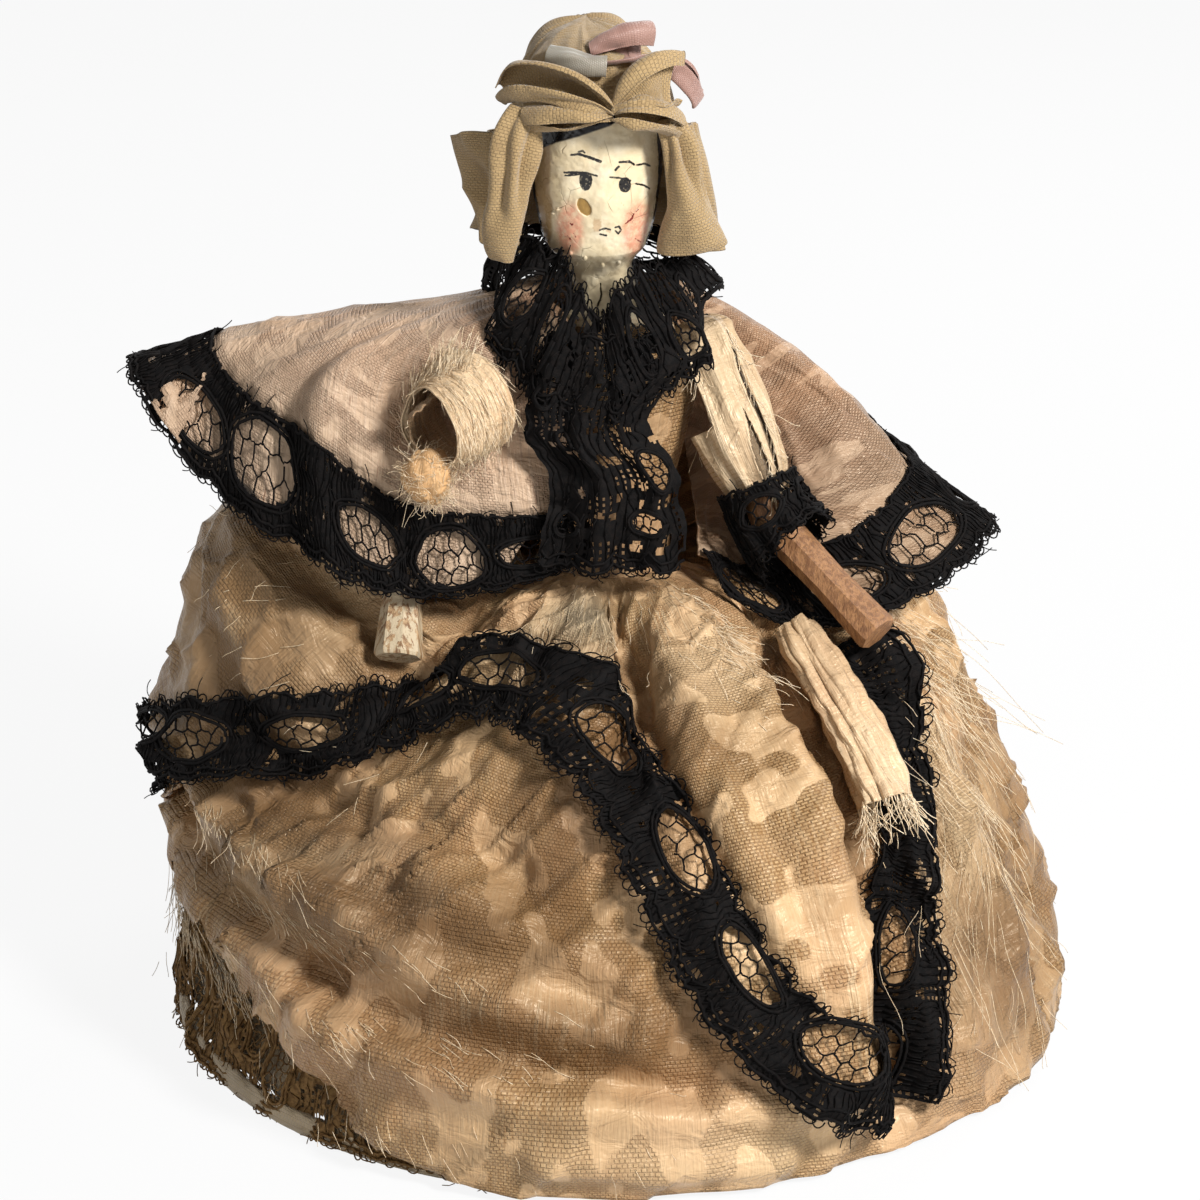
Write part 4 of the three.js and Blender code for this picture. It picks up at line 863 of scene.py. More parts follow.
@dataclass(frozen=True)
class Gesso:
    """Old painted gesso: off-white and soiled, with ink, blush, chips and a few cracks."""

    name: str
    ground: Colour = (0.68, 0.56, 0.36)
    pale: Colour = (0.78, 0.69, 0.51)
    grime: Colour = (0.40, 0.28, 0.13)
    blush: Colour = (0.62, 0.17, 0.10)
    scar: Colour = (0.16, 0.014, 0.010)
    ink: Colour = (0.006, 0.0055, 0.007)
    wood: Colour = (0.36, 0.21, 0.055)
    chip: Colour = (0.46, 0.27, 0.13)
    flank: Colour = (0.42, 0.29, 0.15)

    def material(self) -> bpy.types.Material:
        """Builds the finish.

        Returns:
            The material.
        """
        g = Graph(self.name)
        spot = g.place()
        cells = g.node("TexVoronoi", {"Vector": spot, "Scale": 0.42},
                       feature="DISTANCE_TO_EDGE").outputs["Distance"]
        craze = g.calc("MULTIPLY", g.rise(cells, 0.016, 0.0),
                       g.rise(g.noise(spot, 0.30, 2.0), 0.52, 0.62))
        dirt = g.rise(g.noise(spot, 0.42, 4.0, 0.65), 0.45, 0.8)
        light = g.rise(g.noise(spot, 0.33, 3.0, 0.6), 0.45, 0.7)
        specks = g.rise(g.noise(spot, 3.2, 2.0, 0.7), 0.68, 0.74)
        colour = g.blend(g.calc("MULTIPLY", light, 0.8), opaque(self.ground), opaque(self.pale))
        colour = g.blend(g.calc("MULTIPLY", dirt, 0.4), colour, opaque(self.grime))
        patchy = g.rise(g.noise(spot, 1.7, 3.0, 0.7), 0.3, 0.62)
        blush = g.calc("MULTIPLY", g.rise(g.mark("blush"), 0.12, 0.62),
                       g.calc("MULTIPLY_ADD", patchy, 0.45, 0.22), clamp=True)
        colour = g.blend(blush, colour, opaque(self.blush))
        colour = g.blend(g.rise(g.mark("side"), -0.1, 0.25), colour, opaque(self.flank))
        colour = g.blend(g.calc("MULTIPLY", craze, 0.35), colour, opaque(self.grime))
        colour = g.blend(g.calc("MULTIPLY", specks, 0.5), colour, opaque(self.grime))
        faint = g.calc("MULTIPLY", g.rise(g.mark("chips"), 0.1, -0.12), 0.6)
        colour = g.blend(faint, colour, opaque(self.chip))
        grain = g.noise(g.place(1, 1, 0.12), 2.4, 3.0, 0.6)
        wood = g.blend(grain, opaque(self.wood), opaque(tuple(c * 0.6 for c in self.wood)))
        colour = g.blend(g.rise(g.mark("bare"), 0.03, -0.03), colour, wood)
        colour = g.blend(g.rise(g.mark("scar"), 0.04, -0.03), colour, opaque(self.scar))
        colour = g.blend(g.rise(g.mark("crack"), 0.03, -0.03), colour,
                         opaque(tuple(c * 0.10 for c in self.wood)))
        colour = g.blend(g.rise(g.mark("band"), 0.10, -0.10), colour, opaque(self.ink))
        faded = g.rise(g.noise(spot, 3.5, 2.0), 0.25, 0.45)
        ink = g.calc("MULTIPLY", g.rise(g.mark("ink"), 0.04, -0.03),
                     g.calc("MULTIPLY_ADD", faded, 0.35, 0.64))
        colour = g.blend(ink, colour, opaque(self.ink))
        height = g.calc("MULTIPLY_ADD", craze, -0.7, g.calc("MULTIPLY", dirt, 0.4))
        g.bump(height, 0.08)
        rough = g.calc("MULTIPLY_ADD", dirt, 0.3, 0.26)
        return g.shade(Base_Color=colour, Roughness=rough, Specular_IOR_Level=0.36)


class Finishes:
    """The finishes of the doll, each built once when it is first asked for."""

    KINDS = {
        "gold_silk": Silk("gold_silk"),
        "pale_silk": Silk("pale_silk", ground=(0.49, 0.315, 0.15), figure=(0.57, 0.375, 0.20)),
        "rose_silk": Silk("rose_silk", ground=(0.44, 0.29, 0.185), figure=(0.46, 0.31, 0.20),
                          deep=(0.24, 0.13, 0.075), pale=(0.58, 0.43, 0.31), roughness=0.34),
        "satin": Silk("satin", ground=(0.54, 0.375, 0.21), figure=(0.58, 0.405, 0.235),
                      deep=(0.36, 0.21, 0.09), pale=(0.76, 0.60, 0.40), figure_level=-2.0,
                      roughness=0.30),
        "floss": Silk("floss", ground=(0.55, 0.31, 0.13), figure=(0.60, 0.35, 0.16),
                      deep=(0.38, 0.19, 0.07), pale=(0.70, 0.47, 0.26), figure_level=-2.0,
                      roughness=0.6),
        "gesso": Gesso("gesso"),
        "bare_gesso": Wood("bare_gesso", (0.40, 0.27, 0.13), (0.24, 0.14, 0.06), painted=0.8),
        "linen": PlainCloth("linen", (0.34, 0.25, 0.145), (0.15, 0.095, 0.045), 0.34),
        "bonnet_silk": PlainCloth("bonnet_silk", (0.38, 0.255, 0.112), (0.20, 0.12, 0.045), 0.27,
                                  0.13),
        "band_silk": PlainCloth("band_silk", (0.52, 0.40, 0.25), (0.27, 0.19, 0.10), 0.3, 0.1,
                                0.5),
        "pink_ribbon": PlainCloth("pink_ribbon", (0.35, 0.20, 0.155), (0.20, 0.09, 0.07), 0.16,
                                  0.05, 0.45),
        "blue_ribbon": PlainCloth("blue_ribbon", (0.30, 0.285, 0.235), (0.20, 0.14, 0.09), 0.16,
                                  0.05, 0.4),
        "black_lace": Thread("black_lace", (0.0025, 0.0022, 0.0022), (0.006, 0.0045, 0.004), 0.75,
                             0.09),
        "net_lace": Thread("net_lace", (0.22, 0.125, 0.045), (0.10, 0.05, 0.016), 0.7, 0.15),
        "silk_fibre": Thread("silk_fibre", (0.64, 0.47, 0.28), (0.80, 0.67, 0.48), 0.32),
        "brown_wood": Wood("brown_wood", (0.34, 0.165, 0.065), (0.17, 0.07, 0.024)),
        "pale_wood": Wood("pale_wood", (0.44, 0.28, 0.14), (0.17, 0.08, 0.03), painted=0.7),
        "peg_wood": Wood("peg_wood", (0.36, 0.2, 0.09), (0.2, 0.1, 0.04), along=(1.0, 0, 0)),
    }

    def __init__(self) -> None:
        """Starts with none built."""
        self.made: dict[str, bpy.types.Material] = {}

    def get(self, name: str) -> bpy.types.Material:
        """The finish of that name.

        Args:
            name: The finish's name.

        Returns:
            Its material.
        """
        if name not in self.made:
            self.made[name] = self.KINDS[name].material()
        return self.made[name]

    def dress(self, piece: bpy.types.Object, name: str
              ) -> bpy.types.Object:
        """Gives a piece a finish.

        Args:
            piece: The piece.
            name: The finish's name.

        Returns:
            The piece.
        """
        piece.data.materials.clear()
        piece.data.materials.append(self.get(name))
        return piece


FINISHES = Finishes()


# The cloth over the bell


# Finer folds of the drapery, which the rigid solids leave out
FINE_FOLDS = np.array([
    # pleats gathered at the waist, front
    [-38, 0.3, -34, 2.6, 0.7, 0.4], [-26, 0.3, -22, 2.8, 0.8, 0.35],
    [-17, 0.3, -15, 2.4, -0.7, 0.3], [-6, 0.3, -4, 2.4, 0.8, 0.35], [6, 0.2, 12, 3.4, -1.5, 0.32],
    [14, 0.4, 22, 3.0, 0.6, 0.3], [22, 0.4, 27, 3.6, -0.7, 0.26], [36, 0.4, 38, 3.0, -0.8, 0.4],
    [-50, 0.6, -52, 2.4, -0.7, 0.4],
    # the front pouf, with a sharp edge on the doll's left
    [20, 2.6, 26, 6.6, 1.4, 0.7], [33, 2.8, 31, 6.9, 1.8, 0.34], [43, 2.6, 38.5, 7.2, -3.0, 0.3],
    [8, 3.2, 17, 6.4, 0.7, 0.3], [14, 4.0, 24, 6.2, -0.8, 0.2], [24, 3.6, 27, 5.4, -0.7, 0.2],
    [15, 1.8, 2, 3.6, -1.7, 0.3], [-92, 4.2, -44, 4.8, -1.2, 0.26],
    # long drag folds across the lower front, falling to the doll's left
    [-104, 5.3, -50, 5.75, 1.5, 0.26], [-98, 5.75, -38, 6.35, -1.6, 0.2],
    [-86, 6.0, -12, 6.75, 1.5, 0.22], [-50, 5.6, 6, 6.45, 1.3, 0.2],
    [-44, 6.35, 12, 6.9, -1.5, 0.17], [-30, 5.2, 4, 5.85, 1.2, 0.24],
    [-40, 6.75, 26, 7.15, 1.3, 0.2], [-58, 7.1, -10, 7.45, -0.8, 0.16],
    [-30, 7.3, 22, 7.62, 1.0, 0.18], [-36, 4.6, -14, 4.9, -0.9, 0.2],
    # sagging folds at the doll's right hip
    [-66, 1.9, -104, 2.4, 1.0, 0.3], [-66, 2.5, -100, 2.9, -0.9, 0.22],
    [-66, 3.1, -100, 3.5, 0.9, 0.26], [-56, 1.4, -88, 1.7, -0.8, 0.26],
    [-50, 2.4, -66, 3.4, -0.8, 0.24], [-40, 2.2, -48, 3.4, 0.7, 0.3],
    # upright folds to the doll's left of the pouf and round the back
    [54, 3.0, 50, 7.4, 0.9, 0.3], [62, 2.4, 58, 7.4, -1.0, 0.26], [69, 3.0, 65, 7.5, 0.9, 0.28],
    [77, 2.4, 72, 7.4, -0.9, 0.26], [84, 3.4, 80, 7.4, 0.8, 0.28], [95, 3.4, 90, 7.2, 0.7, 0.35],
    [118, 3.0, 116, 7.4, -0.8, 0.3], [144, 2.6, 142, 7.4, 0.7, 0.35],
    [168, 2.6, 168, 7.4, -0.8, 0.3], [194, 2.6, 196, 7.4, 0.7, 0.35],
    [219, 2.6, 222, 7.2, -0.8, 0.3],
])
# The skirt's lower edge, as rows at every 15 degrees from the back round by the doll's right
SKIRT_EDGE = np.array([7.88] * 5 + [7.6, 6.75, 6.45, 6.55, 6.95, 7.5, 7.82] + [7.88] * 12)
SKIRT_EDGE_STEP = 15
# Columns of the overskirt: their angle at the waist and at the lower edge, and its row there
OVERSKIRT_COLUMNS = np.array([
    [-240, -236, 6.0], [-210, -208, 6.1], [-180, -180, 6.0], [-150, -150, 6.1], [-120, -120, 6.15],
    [-95, -95, 6.3], [-75, -78, 5.35], [-60, -62, 4.35], [-45, -46, 3.55], [-30, -28, 3.1],
    [-14, -10, 3.2], [0, 3, 3.9], [14, 11, 5.2], [28, 17, 6.3], [42, 25, 6.9], [56, 33, 7.25],
    [66, 39, 7.3],
])
# The middle of the black lace along the overskirt's edge, and of the one up its side
LACE_PATH = np.array([
    [-236, 5.6], [-208, 5.7], [-180, 5.6], [-150, 5.7], [-122, 5.75], [-98, 5.85], [-78, 4.95],
    [-62, 3.95], [-46, 3.15], [-27, 2.75], [-9, 2.95], [4, 3.75], [11, 4.9], [16, 5.8], [22, 6.5],
    [29, 6.9], [37, 7.15],
])
LACE_RISE = np.array([
    [38.5, 7.35], [41, 6.9], [44.5, 6.3], [47, 5.7], [53, 5.1], [58, 4.3], [63, 3.5], [67, 2.8],
])
# The middle of the sash tail
TAIL_PATH = np.array([[50.5, 2.2], [50, 3.0], [47.5, 3.9], [43.8, 4.7]])
# How far the layers lie off the middle of the skirt cloth, in millimetres
OVERSKIRT_LIFT = 1.28
LACE_LIFT = 2.51
PETTICOAT_DROP = 1.7
TAIL_LIFT = 5.39
# Millimetres of cloth to a degree round the bell and to a row down it
SKIRT_WEAVE = (0.62, 8.2)
OVERSKIRT_WEAVE = (0.58, 8.0)

# Worn, pale, grey, stained and soiled places: angle, row, half sizes and weight of each. The stain
# and soil marks are painted shade as well as stains where the drapery is dark.
SKIRT_MARKS = {
    "worn": [(58, 5.0, 16, 2.6, 1), (80, 5.6, 18, 2.4, 0.8), (-45, 5.6, 26, 0.6, 0.8),
             (-70, 6.7, 26, 0.5, 1), (-10, 6.3, 22, 0.4, 0.7), (95, 3, 20, 1.5, 0.5)],
    "pale": [(60, 5.2, 12, 2.2, 0.45), (-50, 5.7, 26, 0.35, 0.35), (20, 7.4, 30, 0.4, 0.35)],
    "grey": [(-60, 5.2, 20, 0.5, 0.35)],
    # Stains and painted shade under the overhanging skirt and along the lower front
    "stain_and_shade": [(-26, 5.6, 30, 0.42, 1), (-44, 5.66, 24, 0.5, 1), (-10, 5.2, 12, 0.6, 0.9),
             (-6, 6.42, 28, 0.36, 0.8), (-62, 5.3, 18, 1.0, 1), (64, 6.7, 18, 1.0, 0.85),
             (90, 6.3, 24, 1.5, 0.8), (-110, 6.0, 20, 1.2, 0.8), (12, 6.3, 12, 0.5, 0.7),
             (140, 6.4, 20, 1.0, 0.6), (-150, 6.0, 20, 1.0, 0.6), (60, 5.0, 6, 1.6, 0.6)],
    # Dirt, and painted shade on the darker parts of the lower front
    "soil_and_shade": [(-15, 4.2, 8, 0.5, 0.6), (43, 5.2, 3, 2.0, 0.8), (-8, 4.0, 5, 1.2, 0.7),
             (-70, 7.2, 22, 0.4, 0.3), (-26, 5.6, 24, 0.42, 0.45), (64, 6.7, 16, 0.8, 0.5),
             (-4, 6.42, 26, 0.34, 0.5), (-60, 4.9, 30, 0.35, 0.35)],
}
OVERSKIRT_MARKS = {
    "worn": [(-84, 2.3, 26, 1.2, 0.5), (-10, 1.7, 13, 0.8, 1), (24, 1.7, 14, 0.8, 0.7),
             (-75, 3.8, 24, 1.0, 0.45), (32, 6.0, 9, 1.0, 0.6)],
    "pale": [(-86, 2.0, 16, 0.7, 0.5), (-78, 3.6, 22, 1.0, 0.35), (26, 2.4, 14, 0.7, 0.35)],
    "grey": [(-10, 1.4, 11, 0.7, 0.85), (-22, 2.2, 10, 0.7, 0.5)],
    # Stains and painted shade, such as on the left side of the front pouf
    "stain_and_shade": [(-80, 3.9, 18, 1.6, 1), (-70, 3.0, 18, 0.9, 0.8), (-2, 3.3, 10, 0.8, 1),
             (16, 2.5, 5, 0.6, 0.9), (40, 5.4, 5, 2.4, 0.8), (-110, 4.0, 20, 2.0, 0.7),
             (12, 4.0, 8, 0.8, 0.7), (95, 5.0, 16, 1.5, 0.5), (14, 3.2, 6, 1.1, 0.75),
             (31, 3.2, 9, 0.5, 0.4), (23, 3.5, 6, 0.5, 0.7), (20, 2.9, 3, 0.5, 0.6),
             (150, 4.0, 18, 1.4, 0.5), (-150, 4.4, 18, 1.4, 0.5)],
    "soil_and_shade": [(-16, 2.4, 10, 0.8, 0.45), (3, 2.8, 4, 1.2, 0.55), (50, 4.2, 5, 2.2, 0.5)],
}


def near(angle: Array, row: Array, spots: list[tuple[float, ...]]) -> Array:
    """How near places of the bell lie to soft spots, from 0 to 1.

    Args:
        angle: Degrees round the bell.
        row: Rows down from the waist.
        spots: The angle, row, half width in degrees, half height in rows and weight of each.

    Returns:
        The strongest nearness.
    """
    total = np.zeros(np.broadcast(angle, row).shape)
    for a, r, wide, high, weight in spots:
        turn = (angle - a + 180) % 360 - 180
        reach = np.exp(-((turn / wide) ** 2) - ((row - r) / high) ** 2)
        total = np.maximum(total, weight * reach)
    return total


def rumple(angle: Array, row: Array) -> Array:
    """Small random creases of the drapery, in millimetres.

    Args:
        angle: Degrees round the bell from the front.
        row: Rows down from the waist.

    Returns:
        Heights in millimetres.
    """
    turn = np.radians(angle)
    x, y = np.cos(turn) * 9, np.sin(turn) * 9
    along = noise(x * 0.9 + 40, y * 0.9 + row * 1.1, 3)
    broad = crest(x * 0.55 + 90, y * 0.55 + row * 1.5 + along, 11)
    fine = crest(x * 1.3 + 10, y * 1.3 + row * 3.1 + along, 17)
    sharp = np.maximum(0, 0.35 - np.abs(noise(x * 0.8 + 30, y * 0.8 + row * 1.9 - along, 23)))
    return (0.42 * broad + 0.16 * fine + 1.5 * sharp) * smoothstep(0.3, 1.6, row)


def drape(angle: Array, row: Array, lift: Array | float = 0.0) -> Array:
    """Points of the skirts with all their folds.

    Args:
        angle: Degrees round the bell from the front.
        row: Rows down from the waist.
        lift: How far off the skirt cloth, in millimetres.

    Returns:
        Points in millimetres.
    """
    angle, row = np.broadcast_arrays(np.asarray(angle, float), np.asarray(row, float))
    stronger = 1 + 0.45 * smoothstep(3.3, 4.4, row)
    rise = stronger * (fold_height(FINE_FOLDS, angle, row) + rumple(angle, row)) + lift
    return bell_folded(angle, row) + outward(bell_folded, angle, row) * rise[..., None]


def run_lengths(points: Array, axis: int) -> Array:
    """Distances along one axis of a grid of points, starting at 0.

    Args:
        points: A grid of points.
        axis: The axis to measure along.

    Returns:
        The distance at each point.
    """
    steps = np.linalg.norm(np.diff(points, axis=axis), axis=-1)
    zero = np.zeros_like(np.take(steps, [0], axis=axis))
    return np.concatenate([zero, np.cumsum(steps, axis=axis)], axis=axis)


def even_cloth(across: int, down: int, step: float, drop: float) -> Array:
    """Cloth coordinates of an even grid.

    Args:
        across: Points across.
        down: Points down.
        step: Millimetres of cloth from one point to the next across.
        drop: Millimetres from one to the next down.

    Returns:
        Coordinates in millimetres, across by down by 2.
    """
    return np.stack(two_ways(np.arange(across) * step, np.arange(down) * drop), -1)


@dataclass
class Skirt:
    """The silk skirt and, under it, the petticoat with its net flounce and hem band."""

    around: int = 440
    down: int = 150
    thickness: float = 0.22
    flounce_top: float = 6.05
    flounce_foot: float = 7.86
    band_height: float = 2.3
    band_thick: float = 0.95

    def skirt(self) -> tuple[bpy.types.Object, Patch]:
        """Builds the skirt.

        Returns:
            The piece, which stands for the solid of the skirt, and its grid.
        """
        angle = np.repeat(degrees_round(self.around)[:, None], self.down, 1)
        edge = spline(SKIRT_EDGE, (angle[:, :1] + 180) / SKIRT_EDGE_STEP, around=True)
        torn = near(angle[:, :1], edge, [(-75, 6.8, 34, 3, 1)])
        edge = edge - torn * (0.14 * noise(angle[:, :1] * 0.5, 0, 5)
                              + 0.07 * noise(angle[:, :1] * 2.1, 0, 6)
                              + 0.04 * noise(angle[:, :1] * 6.3, 0, 7))
        row = edge * shares(self.down)
        points = drape(angle, row)
        closing = np.concatenate([angle, angle[:1] + 360])
        cloth = np.stack([closing, np.concatenate([row, row[:1]])], -1) * SKIRT_WEAVE
        marks = {name: near(angle, row, spots) for name, spots in SKIRT_MARKS.items()}
        patch = Patch(points, cloth, closed=True, marks=marks)
        piece = patch.build("silk_skirt", self.thickness)
        FINISHES.dress(piece, "gold_silk")
        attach(piece, "root")
        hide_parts("skirt")
        return piece, patch

    def petticoat(self) -> tuple[bpy.types.Object, Patch]:
        """Builds the plain petticoat.

        Returns:
            The piece and its grid.
        """
        around, down = 240, 70
        angle, row = two_ways(degrees_round(around), mix(0.6, 7.7, shares(down)))
        points = drape(angle, row, -PETTICOAT_DROP - 1.3 * smoothstep(5.9, 6.5, row))
        patch = Patch(points, even_cloth(around + 1, down, 0.9, 0.66), closed=True)
        piece = patch.build("plain_petticoat", self.thickness)
        FINISHES.dress(piece, "linen")
        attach(piece, "root")
        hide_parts("petticoat")
        return piece, patch

    def flounce(self) -> bpy.types.Object:
        """Builds the flounce of brown net lace below the petticoat.

        Returns:
            The piece.
        """
        angle = np.linspace(-180, 180, 700)[:, None]
        row = mix(self.flounce_top, self.flounce_foot, shares(24))[None]
        ribbon = Ribbon(drape(angle + 0 * row, row + 0 * angle, -PETTICOAT_DROP))
        windows = [(float(s), ribbon.width * (0.5 + 0.2 * math.sin(s)), 1.9, ribbon.width * 0.2)
                   for s in np.arange(3.2, ribbon.length - 3, 4.7)]
        piece = Lace("net_flounce", ribbon, windows, lower=Edge.STRAIGHT, cell=0.42, mesh=0.5,
                     thread=0.07, airy=0.8, fray=1.6, seed=40, rib=0.8,
                     finish="net_lace").build()
        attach(piece, "root")
        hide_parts("petticoat_lace")
        return piece

    def band(self) -> bpy.types.Object:
        """Builds the hem band that the skirts rest on, a rolled and wrinkled strip.

        Returns:
            The piece.
        """
        count, section = 720, 22
        angle = degrees_round(count)[:, None]
        rim = bell_bare(angle[:, 0], np.full(count, float(ROWS)))
        reach = np.hypot(rim[:, 0], rim[:, 1])[:, None] - PETTICOAT_DROP
        turn = turns(section)[None]
        wrinkle = 0.10 * noise(angle * 0.55 + turn * 1.2, turn, 51) + 0.06 * noise(
            angle * 1.7 - turn * 2, turn * 2, 52)
        fat = self.band_thick / 2 + wrinkle
        tall = self.band_height / 2 + wrinkle - 0.05
        out = reach + fat * np.sign(np.cos(turn)) * np.abs(np.cos(turn)) ** 0.7
        up = tall * (1 + np.sign(np.sin(turn)) * np.abs(np.sin(turn)) ** 0.8)
        out = out - 0.3 * up / self.band_height
        spin = np.radians(angle)
        points = np.stack([out * np.sin(spin), -out * np.cos(spin), up], -1)
        points = np.concatenate([points, points[:, :1]], 1)
        cloth = even_cloth(count + 1, section + 1, 0.37, 0.27)
        piece = Patch(points, cloth, closed=True).build("rolled_hem_band")
        FINISHES.dress(piece, "band_silk")
        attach(piece, "root")
        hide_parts("hem_band")
        return piece

    def build(self) -> None:
        """Builds the skirt and what is under it."""
        plain, plain_patch = self.petticoat()
        declare(plain, plain_patch, "gathered", ["head_and_torso"], [self.flounce(), self.band()])
        silk, silk_patch = self.skirt()
        declare(silk, silk_patch, "gathered", ["plain_petticoat"])


# Lace


def wave_edge(s: Array, period: float) -> Array:
    """A scalloped edge: 1 on each crown and 0 in each nick."""
    return np.abs(np.sin(np.pi * s / period)) ** 0.6


class Ribbon:
    """A strip of cloth or lace, read by millimetres along it and across it."""

    def __init__(self, points: Array) -> None:
        """Keeps a grid of points, along by across by 3.

        Args:
            points: The grid.
        """
        self.points = points
        self.length = float(run_lengths(points, 0)[-1].mean())
        self.width = float(run_lengths(points, 1)[:, -1].mean())
        run = np.gradient(points, axis=0)
        drop = np.gradient(points, axis=1)
        self.normals = unit(np.cross(drop, run))

    def at(self, s: Array, t: Array, raised: Array | float = 0.0) -> Array:
        """Points of the strip.

        Args:
            s: Millimetres along it.
            t: Millimetres across it from its upper edge, past its edges too.
            raised: Millimetres off its face.

        Returns:
            Points in millimetres.
        """
        s, t = np.broadcast_arrays(np.asarray(s, float), np.asarray(t, float))
        nu, nv = self.points.shape[:2]
        x = s / self.length * (nu - 1)
        y = t / self.width * (nv - 1)
        i = np.clip(np.floor(x).astype(int), 0, nu - 2)
        j = np.clip(np.floor(y).astype(int), 0, nv - 2)
        fx, fy = (x - i)[..., None], (y - j)[..., None]

        def read(grid: Array) -> Array:
            """A grid read between its points.

            Args:
                grid: Points or directions, along by across by 3.

            Returns:
                The blended values.
            """
            low = grid[i, j] * (1 - fx) + grid[i + 1, j] * fx
            high = grid[i, j + 1] * (1 - fx) + grid[i + 1, j + 1] * fx
            return low * (1 - fy) + high * fy

        return read(self.points) + read(self.normals) * np.asarray(raised)[..., None]


class Edge(Enum):
    """How a long edge of a lace ends."""

    STRAIGHT = 0.0
    SCALLOPED = 0.9


